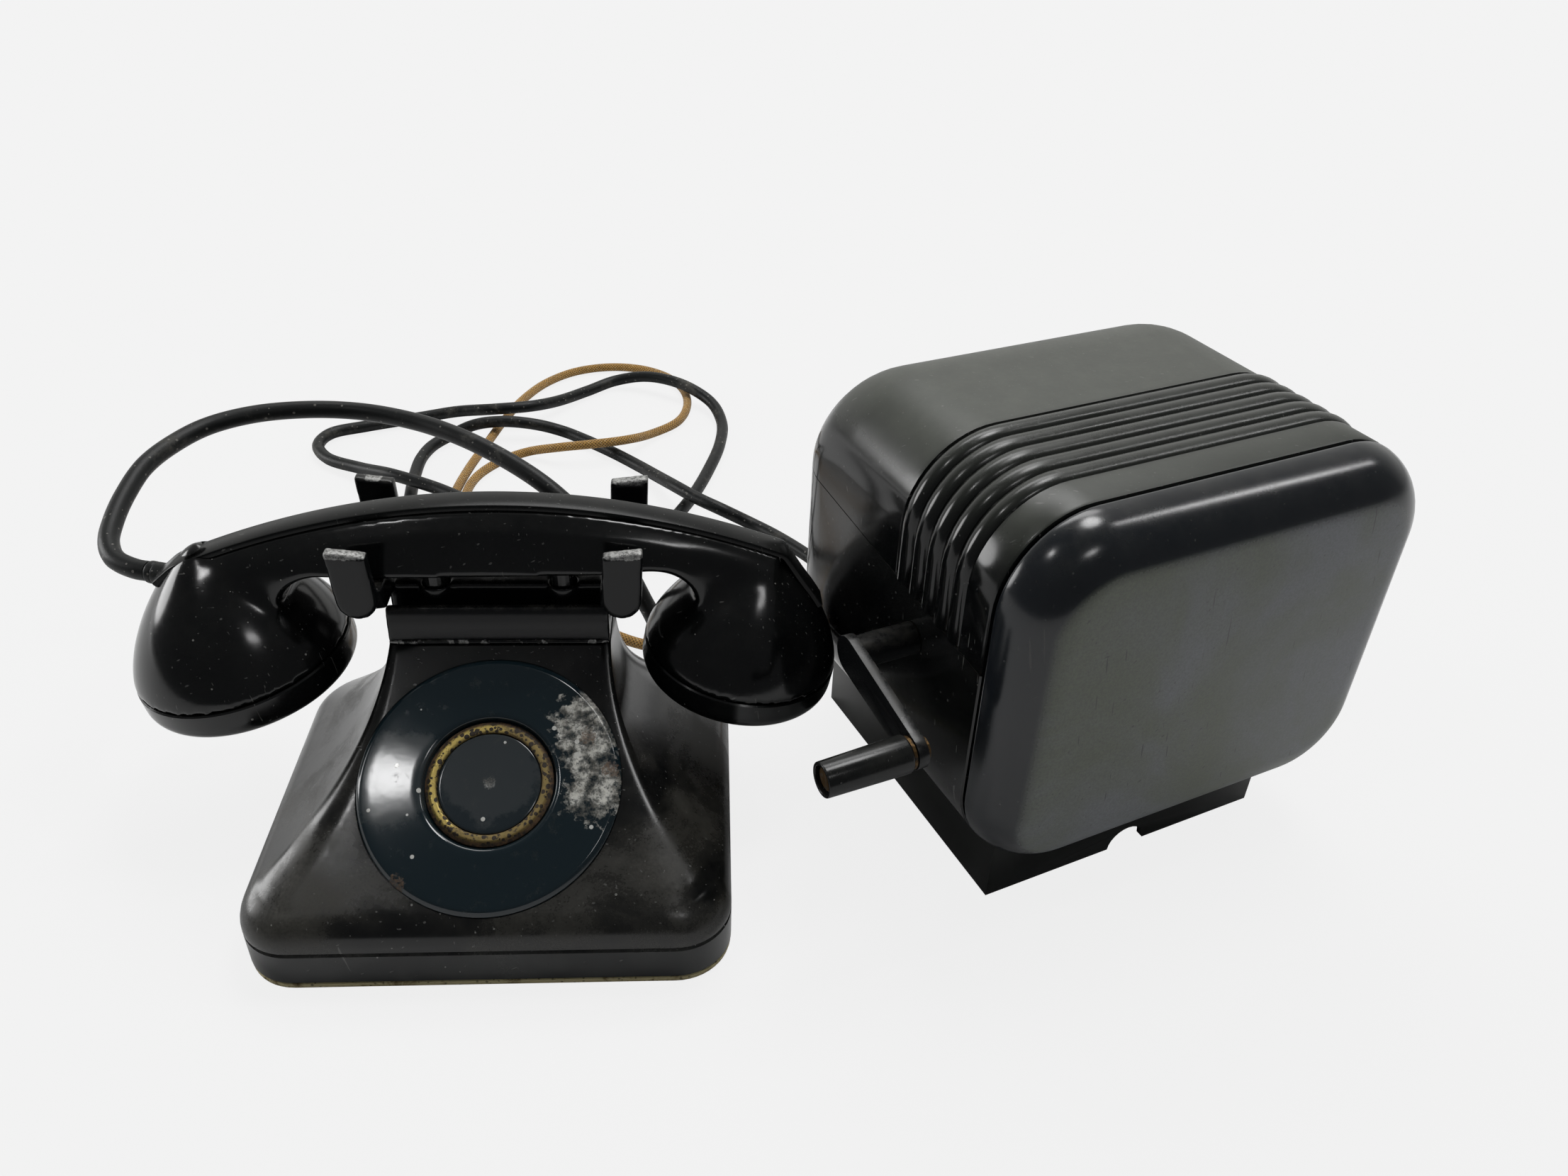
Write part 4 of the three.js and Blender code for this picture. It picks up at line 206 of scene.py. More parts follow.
def edit(obj: Piece, work: Callable[[], object]) -> None:
    """Run some edit-mode work on one object with everything selected.

    Args:
        obj: The object.
        work: The work, called in edit mode.
    """
    select_only(obj)
    bpy.ops.object.mode_set(mode="EDIT")
    bpy.ops.mesh.select_all(action="SELECT")
    work()
    bpy.ops.object.mode_set(mode="OBJECT")


def apply(obj: Piece, kind: str, **values: object) -> None:
    """Add a modifier with some settings and apply it.

    Args:
        obj: The object that gets the modifier.
        kind: Blender's name of the modifier.
        values: The modifier's settings.
    """
    select_only(obj)
    modifier = obj.modifiers.new(kind.title(), kind)
    for key, value in values.items():
        setattr(modifier, key, value)
    bpy.ops.object.modifier_apply(modifier=modifier.name)


def lay(name: str, rings: Sequence[Ring], place: Place, start: End = End.OPEN,
        stop: End = End.OPEN, closed: bool = False) -> Piece:
    """Extrude a circle into a tube and lay its rings on section rings.

    Args:
        name: The piece's name.
        rings: Section rings in millimetres, all with as many points.
        place: The place that the rings are drawn in.
        start: How the skin ends at the first ring.
        stop: How the skin ends at the last ring.
        closed: Whether the last ring runs on into the first.

    Returns:
        The new object, with its place in its mesh.
    """
    count = len(rings[0])
    bpy.ops.object.select_all(action="DESELECT")
    bpy.ops.mesh.primitive_circle_add(vertices=count, radius=1, fill_type="NOTHING")
    obj = bpy.context.active_object
    obj.name = name
    obj.data.name = name

    def pull() -> None:
        """Extrude the circle once for each further ring."""
        for _ in rings[1:]:
            bpy.ops.mesh.extrude_region_move(TRANSFORM_OT_translate={"value": (0, 0, 1)})

    edit(obj, pull)
    for vertex in obj.data.vertices:
        row = round(vertex.co.z)
        step = round(math.atan2(vertex.co.y, vertex.co.x) / math.tau * count) % count
        vertex.co = place.metres(rings[row][step])
    if closed:
        edit(obj, bridge_ends)
    for end, ring in ((start, rings[0]), (stop, rings[-1])):
        if end is End.FLAT:
            close(obj, ring, place)
    edit(obj, lambda: bpy.ops.mesh.normals_make_consistent(inside=False))
    return obj


def bridge_ends() -> None:
    """Bridge the two open ends of the skin that is being edited."""
    bpy.ops.mesh.select_mode(type="EDGE")
    bpy.ops.mesh.select_all(action="DESELECT")
    bpy.ops.mesh.select_non_manifold()
    bpy.ops.mesh.bridge_edge_loops()


def open_vertices(obj: Piece) -> set[int]:
    """Find the vertices along a skin's open edges.

    Args:
        obj: The skin.

    Returns:
        The vertices' numbers.
    """
    uses: dict[tuple[int, int], int] = {}
    for polygon in obj.data.polygons:
        for key in polygon.edge_keys:
            uses[key] = uses.get(key, 0) + 1
    return {index for key, count in uses.items() if count == 1 for index in key}


def close(obj: Piece, ring: Ring, place: Place) -> None:
    """Close one end of a skin with a face.

    Args:
        obj: The skin.
        ring: The ring at that end, in millimetres.
        place: The place that the ring is drawn in.
    """
    spots = [place.metres(point) for point in ring]
    vertices = obj.data.vertices
    chosen = [index for index in open_vertices(obj)
              if min((vertices[index].co - spot).length for spot in spots) < ON_RING]
    select_only(obj)
    bpy.ops.object.mode_set(mode="EDIT")
    bpy.ops.mesh.select_mode(type="VERT")
    bpy.ops.mesh.select_all(action="DESELECT")
    bpy.ops.object.mode_set(mode="OBJECT")
    for index in chosen:
        obj.data.vertices[index].select = True
    bpy.ops.object.mode_set(mode="EDIT")
    bpy.ops.mesh.edge_face_add()
    bpy.ops.object.mode_set(mode="OBJECT")


def turned(name: str, profile: Sequence[Flat], place: Place, sides: int = 96) -> Piece:
    """Turn a closed piece about the place's Z from points of radius and height.

    Args:
        name: The piece's name.
        profile: Radius and height pairs in millimetres, from one end to the other. A profile
            that begins on the axis ends on it; any other is a ring and closes on itself.
        place: The place whose Z is the axis.
        sides: The number of sides.

    Returns:
        The new object.
    """
    rings = [[(x, y, height) for x, y in circle(radius, sides)]
             for radius, height in profile if radius > 0]
    if profile[0][0] > 0:
        return lay(name, rings, place, closed=True)
    return lay(name, rings, place, End.FLAT, End.FLAT)


def from_node(name: str, node: str) -> Piece:
    """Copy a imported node's mesh into a new piece and merge its corners.

    Args:
        name: The piece's name.
        node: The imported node's name.

    Returns:
        The new object, without a material.
    """
    mesh = bpy.data.objects[node].data.copy()
    mesh.name = name
    obj = bpy.data.objects.new(name, mesh)
    bpy.context.scene.collection.objects.link(obj)
    mesh.materials.clear()

    def weld() -> None:
        """Merge what lies at one place and join the triangles of a flat face."""
        bpy.ops.mesh.remove_doubles(threshold=SAME_POINT)
        bpy.ops.mesh.dissolve_limited(angle_limit=SAME_FACE)

    edit(obj, weld)
    return obj


def cut(obj: Piece, cutter: Piece) -> None:
    """Cut one piece out of another and remove the cutter."""
    apply(obj, "BOOLEAN", operation="DIFFERENCE", object=cutter, solver="EXACT")
    bpy.data.objects.remove(cutter, do_unlink=True)


def thicken(obj: Piece, wall: float) -> None:
    """Give a skin a wall on its inner side, in millimetres."""
    apply(obj, "SOLIDIFY", thickness=wall * MM, offset=-1)


def soften(obj: Piece, width: float, segments: int = 3) -> None:
    """Bevel the hard edges of a piece by a width in millimetres."""
    apply(obj, "BEVEL", width=width * MM, segments=segments, limit_method="ANGLE",
          angle_limit=HARD_EDGE)


def melt(obj: Piece, voxel: float, rounds: int) -> None:
    """Grow a piece together on a grid of a size in millimetres, and smooth it."""
    apply(obj, "REMESH", mode="VOXEL", voxel_size=voxel * MM, adaptivity=0.0)
    apply(obj, "SMOOTH", factor=0.5, iterations=rounds)


def smooth(obj: Piece, degrees: float) -> Piece:
    """Shade a piece smooth where its faces meet at less than an angle.

    Args:
        obj: The piece.
        degrees: The angle.

    Returns:
        The same piece.
    """
    select_only(obj)
    bpy.ops.object.shade_smooth_by_angle(angle=math.radians(degrees))
    return obj


# Finishes


def darker(colour: Colour, share: float) -> Colour:
    """Return a colour with only a share of its light."""
    return tuple(value * share for value in colour)


@dataclass(frozen=True)
class Cloud:
    """A cloudy pattern: a noise that is cut off below one level and above another.

    The size of its patches is in millimetres. The detail is how many finer layers lie over the
    first, the roughness how much they count, and the twist how far the patches are pulled about.
    """

    size: float
    low: float
    high: float
    detail: float = 5
    roughness: float = 0.55
    twist: float = 0


class Graph:
    """The shader nodes of one material, with short ways to add and link them."""

    def __init__(self, name: str) -> None:
        """Start a material that holds a Principled shader.

        Args:
            name: The material's name.
        """
        self.material = bpy.data.materials.new(name)
        self.material.use_nodes = True
        self.tree = self.material.node_tree
        self.shader = self.tree.nodes["Principled BSDF"]
        self.object = self.add("ShaderNodeTexCoord").outputs["Object"]

    def add(self, kind: str, inputs: dict | None = None, **values: object) -> bpy.types.Node:
        """Add a node.

        Args:
            kind: The node's type.
            inputs: Values or sockets for its inputs, by name or number.
            values: Its own settings.

        Returns:
            The node.
        """
        node = self.tree.nodes.new(kind)
        for key, value in values.items():
            setattr(node, key, value)
        for key, value in (inputs or {}).items():
            self.put(node.inputs[key], value)
        return node

    def put(self, socket: Socket, value: Input) -> None:
        """Set a socket to a value, or link another socket to it.

        Args:
            socket: The socket that takes the value.
            value: A number, a colour, a point or another socket.
        """
        if isinstance(value, Socket):
            self.tree.links.new(value, socket)
        elif isinstance(value, tuple) and len(value) == 3 and len(socket.default_value) == 4:
            socket.default_value = (*value, 1)
        else:
            socket.default_value = value

    def set(self, **values: Input) -> None:
        """Set inputs of the shader, with spaces written as underscores."""
        for key, value in values.items():
            self.put(self.shader.inputs[key.replace("_", " ")], value)

    def show(self, surface: Socket) -> None:
        """Send another shader than the Principled one to the output."""
        self.tree.links.new(surface, self.tree.nodes["Material Output"].inputs[0])

    def math(self, operation: str, a: Input, b: Input = 0.0, clamp: bool = False) -> Socket:
        """Return the result of an operation on one or two values or sockets."""
        node = self.add("ShaderNodeMath", {0: a, 1: b}, operation=operation, use_clamp=clamp)
        return node.outputs[0]

    def times(self, a: Input, b: Input) -> Socket:
        """Return the product of two values or sockets."""
        return self.math("MULTIPLY", a, b)

    def plus(self, a: Input, b: Input, clamp: bool = False) -> Socket:
        """Return the sum of two values or sockets, held to 0..1 where it is clamped."""
        return self.math("ADD", a, b, clamp)

    def minus(self, a: Input, b: Input) -> Socket:
        """Return the first value or socket less the second."""
        return self.math("SUBTRACT", a, b)

    def larger(self, a: Input, b: Input) -> Socket:
        """Return the larger of two values or sockets."""
        return self.math("MAXIMUM", a, b)

    def ramp(self, value: Socket, low: float, high: float, start: float = 0.0,
             stop: float = 1.0) -> Socket:
        """Return a value mapped smoothly from low..high to start..stop."""
        places = {0: value, 1: low, 2: high, 3: start, 4: stop}
        return self.add("ShaderNodeMapRange", places, interpolation_type="SMOOTHSTEP").outputs[0]

    def mix(self, share: Input, a: Input, b: Input) -> Socket:
        """Return a colour between two colours."""
        node = self.add("ShaderNodeMix", {0: share, 6: a, 7: b}, data_type="RGBA")
        return node.outputs[2]

    def stretched(self, amounts: Point) -> Socket:
        """Return the object's coordinates, each times its own amount."""
        return self.add("ShaderNodeMapping", {0: self.object, 3: amounts}).outputs[0]

    def noise(self, size: float, detail: float = 4, roughness: float = 0.55,
              twist: float = 0) -> Socket:
        """Make a noise.

        Args:
            size: The size of its patches, in millimetres.
            detail: How many finer layers lie over the first.
            roughness: How much the finer layers count.
            twist: How far the patches are pulled about.

        Returns:
            A socket that runs from 0 to 1, mostly near its middle.
        """
        node = self.add("ShaderNodeTexNoise", {
            "Vector": self.object, "Scale": 1 / (size * MM), "Detail": detail,
            "Roughness": roughness, "Distortion": twist})
        return node.outputs[0]

    def cloud(self, kind: Cloud, start: float = 0.0, stop: float = 1.0) -> Socket:
        """Return a cloudy pattern that runs from start to stop."""
        noise = self.noise(kind.size, kind.detail, kind.roughness, kind.twist)
        return self.ramp(noise, kind.low, kind.high, start, stop)

    def specks(self, spacing: float, size: float) -> Socket:
        """Scatter small round dots of different sizes.

        Args:
            spacing: How far apart they are, in millimetres.
            size: The largest dot's size, in millimetres.

        Returns:
            A socket that is 1 on a dot and 0 beside it.
        """
        node = self.add("ShaderNodeTexVoronoi", {
            "Vector": self.object, "Scale": 1 / (spacing * MM), "Randomness": 1.0})
        shown = self.add("ShaderNodeSeparateColor", {0: node.outputs["Color"]}).outputs[0]
        limit = self.times(shown, size / spacing)
        return self.math("LESS_THAN", node.outputs["Distance"], limit)

    def scratches(self, width: float, length: float, turn: float) -> Socket:
        """Draw a few straight hairlines.

        Args:
            width: Their width, in millimetres.
            length: Their length, in millimetres.
            turn: The angle that they run at.

        Returns:
            A socket that is 1 on a line and 0 beside it.
        """
        turned_to = self.add("ShaderNodeMapping", {0: self.object, 2: (turn, 0.6 * turn, turn)})
        where = self.add("ShaderNodeMapping", {0: turned_to.outputs[0],
                                               3: (width / length, 1, 1)}).outputs[0]
        node = self.add("ShaderNodeTexNoise", {
            "Vector": where, "Scale": 1 / (4 * width * MM), "Detail": 0.0})
        return self.ramp(node.outputs[0], 0.80, 0.86)

    def patch(self, centre: Sequence[float], radius: float, ragged: float, grain: float,
              flat: float = 1) -> Socket:
        """Make a ragged round patch about a point.

        Args:
            centre: The middle, in metres.
            radius: The radius, in millimetres.
            ragged: How far the edge strays, in millimetres.
            grain: The size of the edge's lumps, in millimetres.
            flat: How many times lower than wide the patch is.

        Returns:
            A socket that is 1 in the patch and 0 outside it.
        """
        where = self.object if flat == 1 else self.stretched((1, 1, flat))
        middle = (centre[0], centre[1], centre[2] * flat)
        apart = self.add("ShaderNodeVectorMath", {0: where, 1: middle},
                         operation="DISTANCE").outputs["Value"]
        stray = self.times(self.minus(self.noise(grain, 5, 0.7), 0.5), 2 * ragged * MM)
        return self.ramp(self.plus(apart, stray), radius * MM, radius * 0.8 * MM)

    def toward(self, way: Point, low: float, high: float) -> Socket:
        """Tell how well a face looks along a way.

        Args:
            way: The way, of length 1.
            low: The agreement, at most 1, that still counts as none.
            high: The agreement that counts in full.

        Returns:
            A socket that is 1 where a face looks that way and 0 where it looks elsewhere.
        """
        normal = self.add("ShaderNodeNewGeometry").outputs["Normal"]
        dot = self.add("ShaderNodeVectorMath", {0: normal, 1: way}, operation="DOT_PRODUCT")
        return self.ramp(dot.outputs["Value"], low, high)

    def upward(self) -> Socket:
        """Return how far a face looks up, from 0 on a wall to 1 on a level top."""
        return self.toward((0, 0, 1), 0.15, 1.0)

    def bump(self, height: Socket, distance: float, strength: float) -> None:
        """Raise the surface.

        Args:
            height: The height, mostly from 0 to 1.
            distance: What a height of 1 stands for, in millimetres.
            strength: How much of it shows.
        """
        node = self.add("ShaderNodeBump", {
            "Height": height, "Distance": distance * MM, "Strength": strength})
        self.put(self.shader.inputs["Normal"], node.outputs[0])


@dataclass(frozen=True)
class Finish:
    """A finish: a named material that each kind of finish paints in its own way."""

    name: str

    def paint(self, g: Graph) -> None:
        """Paint the material.

        Args:
            g: The material's graph.
        """
        raise NotImplementedError

    def build(self) -> bpy.types.Material:
        """Build the material.

        Returns:
            The material.
        """
        g = Graph(self.name)
        self.paint(g)
        return g.material


@dataclass(frozen=True)
class Bakelite(Finish):
    """Black moulded plastic that has gone dull and dusty in places.

    The haze is cloudy. With facing set it is a film instead, in two tones, on what looks that
    way; that film is partly real and partly painted light, pale to stand in for light falling
    on that side. Above the height clean_above there is none. Dust settles on what looks up, and
    swept gives a way and the start and end of a stretch along it, in metres, that is wiped
    nearly clean. The shares of the dust left on that stretch and before it are swept_left and
    unswept_left.
    """

    colour: Colour = (0.0022, 0.0026, 0.0028)
    gloss: float = 0.12
    shine: float = 0.42
    dull: float = 0.45
    haze: float = 0.35
    haze_colour: Colour = (0.05, 0.052, 0.048)
    haze_size: float = 38
    film_and_light_facing: Point | None = None
    second_film_and_light_colour: Colour = (0, 0, 0)
    haze_grain: Cloud = Cloud(0.9, 0.36, 0.62, 6, 0.8)
    haze_thin: float = 0.62
    clean_above: float = 0.0
    blur: float = 12
    dust: float = 0.25
    dust_colour: Colour = (0.13, 0.125, 0.11)
    dust_even: float = 0.0
    dust_grain: Cloud = Cloud(9, 0.3, 0.75, 6, 0.7)
    swept: tuple[Point, float, float] | None = None
    swept_edge: float = 2
    swept_left: float = 0.42
    unswept_left: float = 0.75
    speck: float = 0.35
    speck_colour: Colour = (0.30, 0.30, 0.28)
    speck_spacing: float = 5.2
    speck_size: float = 0.42
    scratch: float = 0.3
    scratch_colour: Colour = (0.2, 0.2, 0.19)

    def film(self, g: Graph) -> tuple[Socket, Input]:
        """Lay the haze.

        Args:
            g: The material's graph.

        Returns:
            How much haze there is, and its colour.
        """
        clouds = g.cloud(Cloud(self.haze_size, 0.36, 0.68, 5, 0.6, 0.4))
        tone: Input = self.haze_colour
        cover = clouds
        # A set way gives a two-tone film on what looks that way; on the cover its pale tones are
        # partly painted light.
        if self.film_and_light_facing:
            cover = g.toward(self.film_and_light_facing, 0.85, 0.96)
            tone = g.mix(clouds, self.haze_colour, self.second_film_and_light_colour)
        haze = g.times(cover, self.haze)
        if self.clean_above:
            height = g.add("ShaderNodeSeparateXYZ", {0: g.object}).outputs[2]
            height = g.plus(height, g.times(g.noise(9, 4), self.blur * MM))
            haze = g.times(haze, g.ramp(height, (self.clean_above + self.blur) * MM,
                                        (self.clean_above - self.blur) * MM))
        return g.times(haze, g.cloud(self.haze_grain, self.haze_thin)), tone

    def settled(self, g: Graph) -> Socket:
        """Let dust settle.

        Args:
            g: The material's graph.

        Returns:
            How much dust there is.
        """
        dust = g.times(g.times(g.upward(), g.cloud(self.dust_grain, self.dust_even)), self.dust)
        if self.swept:
            way, start, end = self.swept
            along = g.add("ShaderNodeVectorMath", {0: g.object, 1: way},
                          operation="DOT_PRODUCT").outputs["Value"]
            edge = self.swept_edge * MM
            before = g.ramp(along, start, start - edge, self.swept_left, self.unswept_left)
            after = g.ramp(along, end - edge, end + edge, self.swept_left, 1)
            dust = g.times(dust, g.larger(before, after))
        return dust

    def paint(self, g: Graph) -> None:
        """Paint clean gloss under haze, dust, specks and scratches.

        Args:
            g: The material's graph.
        """
        haze, tone = self.film(g)
        dust = self.settled(g)
        dots = g.times(g.specks(self.speck_spacing, self.speck_size), self.speck)
        lines = g.larger(g.scratches(width=0.25, length=22, turn=0.5),
                         g.scratches(width=0.2, length=14, turn=2.1))
        colour = g.mix(haze, self.colour, tone)
        colour = g.mix(dust, colour, self.dust_colour)
        colour = g.mix(dots, colour, self.speck_colour)
        colour = g.mix(g.times(lines, self.scratch), colour, self.scratch_colour)
        veil = g.plus(haze, g.times(dust, 1.5), True)
        rough = g.plus(g.ramp(veil, 0, 1, self.gloss, self.dull), g.times(g.noise(1.6, 3), 0.08))
        g.set(Base_Color=colour, Roughness=rough, Specular_IOR_Level=self.shine)
        relief = g.plus(g.times(g.noise(14, 2), 0.5), g.times(g.noise(0.9, 2), 0.05))
        g.bump(g.minus(relief, g.times(lines, 0.1)), distance=0.12, strength=0.35)


@dataclass(frozen=True)
class ChippedPaint(Finish):
    """Black paint on cast metal, worn bare in the patches and nicked elsewhere."""

    colour: Colour = (0.004, 0.0045, 0.005)
    gloss: float = 0.18
    shine: float = 0.3
    bare: Colour = (0.34, 0.34, 0.33)
    bare_rough: float = 0.5
    grime: Cloud = Cloud(1.2, 0.42, 0.62, 7, 0.8)
    dust: float = 0.2
    dust_colour: Colour = (0.13, 0.12, 0.10)
    dust_grain: Cloud = Cloud(5, 0.35, 0.8, 6, 0.7)
    patches: tuple[Spot, ...] = ()
    chips: float = 0.012
    flat: float = 1

    def paint(self, g: Graph) -> None:
        """Paint bare patches, small chips and settled dust over the black.

        Args:
            g: The material's graph.
        """
        worn = g.cloud(Cloud(7, 0.74 - self.chips, 0.78 - self.chips, 8, 0.75))
        for centre, radius in self.patches:
            bare = g.patch(Vector(centre) * MM, radius, ragged=radius * 0.5, grain=2.2,
                           flat=self.flat)
            worn = g.larger(worn, bare)
        dust = g.times(g.upward(), g.cloud(self.dust_grain, 0, self.dust))
        grime = g.larger(g.cloud(self.grime), g.scratches(width=0.3, length=5, turn=0.8))
        metal = g.mix(grime, self.bare, darker(self.bare, 0.22))
        paint = g.mix(dust, self.colour, self.dust_colour)
        rough = g.plus(g.ramp(worn, 0, 1, self.gloss, self.bare_rough), g.times(dust, 0.9), True)
        g.set(Base_Color=g.mix(worn, paint, metal), Metallic=g.times(worn, 0.85),
              Roughness=rough, Specular_IOR_Level=self.shine)
        relief = g.minus(g.times(g.noise(0.7, 4), 0.15), g.times(worn, 0.8))
        g.bump(relief, distance=0.08, strength=0.5)


@dataclass(frozen=True)
class Metal(Finish):
    """Metal with tarnish, dull patches and fine pits."""

    colour: Colour
    tarnish: Colour
    share: float = 0.5
    size: float = 6
    rough: float = 0.35
    metallic: float = 0.95
    dull: float = 0.75

    def paint(self, g: Graph) -> None:
        """Paint bright and tarnished metal in ragged patches.

        Args:
            g: The material's graph.
        """
        edge = 0.62 - 0.25 * self.share
        dark = g.cloud(Cloud(self.size, edge, edge + 0.16, 7, 0.7, 0.6))
        pits = g.specks(spacing=1.4, size=0.5)
        colour = g.mix(dark, self.colour, self.tarnish)
        colour = g.mix(g.times(pits, 0.7), colour, darker(self.tarnish, 0.3))
        rough = g.plus(g.ramp(dark, 0, 1, self.rough, self.dull), g.times(g.noise(0.6, 3), 0.15))
        g.set(Base_Color=colour, Roughness=rough,
              Metallic=g.ramp(dark, 0, 1, self.metallic, self.metallic * 0.35))
        g.bump(g.minus(g.noise(0.5, 3), pits), distance=0.05, strength=0.4)


@dataclass(frozen=True)
class WornRing(Finish):
    """Brass rubbed bright along its crest, brown and pitted elsewhere; the gold, strongest on one
    side, is partly a painted highlight.
    """

    centre: Point
    crest: float
    worn_and_lit_side: Point
    gold: Colour = (0.50, 0.38, 0.11)
    brown: Colour = (0.05, 0.028, 0.012)
    stain: Colour = (0.10, 0.055, 0.022)
    pit: Colour = (0.01, 0.008, 0.006)
    stained: Cloud = Cloud(1.6, 0.45, 0.6, 5, 0.8)
    pitted: Cloud = Cloud(1.5, 0.54, 0.60, 6, 0.8)

    def paint(self, g: Graph) -> None:
        """Paint a gold crest that fades away from the lit side, where the gold is partly a painted
        highlight.

        Args:
            g: The material's graph.
        """
        apart = g.add("ShaderNodeVectorMath", {0: g.object, 1: self.centre},
                      operation="DISTANCE").outputs["Value"]
        off = g.math("ABSOLUTE", g.minus(apart, self.crest * MM))
        off = g.plus(off, g.times(g.noise(1.2, 5, 0.8), 0.9 * MM))
        crest = g.ramp(off, 2.1 * MM, 1.15 * MM)
        # Near that side the crest turns gold: partly rubbed brass, partly a painted highlight.
        near = g.patch(self.worn_and_lit_side, radius=27, ragged=9, grain=3)
        pits = g.larger(g.specks(spacing=1.6, size=1.0), g.cloud(self.pitted))
        shine = g.times(g.times(crest, g.ramp(near, 0, 1, 0.35, 1.0)), g.minus(1.0, pits))
        rust = g.mix(g.cloud(self.stained), self.brown, self.stain)
        rust = g.mix(g.times(pits, 0.8), rust, self.pit)
        g.set(Base_Color=g.mix(shine, rust, self.gold), Metallic=g.times(shine, 0.6),
              Roughness=g.ramp(shine, 0, 1, 0.7, 0.36))
        g.bump(g.minus(g.noise(0.6, 4), pits), distance=0.08, strength=0.5)


@dataclass(frozen=True)
class Enamel(Finish):
    """Blue-black stoved enamel with specks, rust and rubbed silver places."""

    silver: tuple[Point, ...]
    rust: tuple[Point, ...]
    haze_and_sheen_at: Point
    colour: Colour = (0.006, 0.013, 0.017)
    stain_colour: Colour = (0.035, 0.036, 0.032)
    haze_colour: Colour = (0.25, 0.25, 0.24)
    metal_dark: Colour = (0.26, 0.24, 0.20)
    metal_light: Colour = (0.72, 0.71, 0.65)
    rust_colour: Colour = (0.10, 0.055, 0.026)
    speck_colour: Colour = (0.5, 0.5, 0.47)
    silver_radius: float = 10.5
    grain: float = 2.6
    wear: float = 0.85
    rust_radius: float = 3.0
    flecked: Cloud = Cloud(1.1, 0.42, 0.58, 8, 0.85)
    stained: Cloud = Cloud(6, 0.55, 0.8, 7, 0.75)
    polished: Cloud = Cloud(5, 0.38, 0.62, 8, 0.7)

    def rubbed(self, g: Graph) -> Socket:
        """Rub the enamel off in the silver places.

        Args:
            g: The material's graph.

        Returns:
            How much bare metal there is.
        """
        worn: Input = 0.0
        for centre in self.silver:
            worn = g.larger(worn, g.patch(centre, self.silver_radius, ragged=self.silver_radius,
                                          grain=1.7 * self.grain))
        flaked = g.cloud(Cloud(1.9 * self.grain, 0.36, 0.64, 12, 0.74))
        cracks = g.cloud(Cloud(0.5 * self.grain, 0.50, 0.62, 8, 0.8), 0, 0.8)
        return g.times(worn, g.times(flaked, g.minus(1.0, cracks)))

    def rusted(self, g: Graph) -> Socket:
        """Let rust break through in its places.

        Args:
            g: The material's graph.

        Returns:
            How much rust there is.
        """
        rust: Input = 0.0
        for centre in self.rust:
            rust = g.larger(rust, g.patch(centre, self.rust_radius, ragged=4, grain=1.6))
        return g.times(rust, g.cloud(self.flecked))

    def paint(self, g: Graph) -> None:
        """Paint glossy enamel, a faint haze that is partly a painted sheen, silver wear, rust and
        specks.

        Args:
            g: The material's graph.
        """
        # A faint pale patch; on the plate it lies under the glare and is partly a painted sheen.
        haze = g.patch(self.haze_and_sheen_at, radius=17, ragged=9, grain=9)
        worn = self.rubbed(g)
        rust = self.rusted(g)
        dots = g.specks(spacing=7, size=0.9)
        stains = g.cloud(self.stained, 0, 0.6)
        metal = g.mix(g.cloud(self.polished), self.metal_dark, self.metal_light)
        colour = g.mix(stains, self.colour, self.stain_colour)
        colour = g.mix(g.times(haze, 0.08), colour, self.haze_colour)
        colour = g.mix(g.times(worn, self.wear), colour, metal)
        colour = g.mix(g.times(rust, 0.85), colour, self.rust_colour)
        colour = g.mix(dots, colour, self.speck_colour)
        rough = g.plus(g.ramp(worn, 0, 1, 0.12, 0.36), g.times(rust, 0.45))
        rough = g.plus(rough, g.times(stains, 0.3), True)
        g.set(Base_Color=colour, Roughness=rough, Metallic=g.times(worn, 0.3))
        relief = g.plus(g.times(g.noise(11, 3), 0.8), g.times(g.plus(dots, rust), 0.25))
        g.bump(g.minus(relief, g.times(worn, 0.3)), distance=0.15, strength=0.35)


@dataclass(frozen=True)
class Rubber(Finish):
    """Grey-black cable rubber with chalky patches."""

    colour: Colour = (0.006, 0.0068, 0.0068)
    chalk_colour: Colour = (0.11, 0.105, 0.09)
    nick_colour: Colour = (0.22, 0.21, 0.19)
    shine: float = 0.22
    chalk: float = 0.75
    chalky: Cloud = Cloud(16, 0.52, 0.76, 8, 0.72)

    def paint(self, g: Graph) -> None:
        """Paint dull rubber with chalk and small nicks.

        Args:
            g: The material's graph.
        """
        chalk = g.cloud(self.chalky, 0, self.chalk)
        nicks = g.specks(spacing=2.6, size=0.6)
        colour = g.mix(chalk, self.colour, self.chalk_colour)
        colour = g.mix(g.times(nicks, 0.5), colour, self.nick_colour)
        g.set(Base_Color=colour, Roughness=g.ramp(chalk, 0, self.chalk, 0.42, 0.8),
              Specular_IOR_Level=self.shine)
        g.bump(g.plus(g.noise(1.1, 5), g.times(nicks, 0.4)), distance=0.12, strength=0.5)


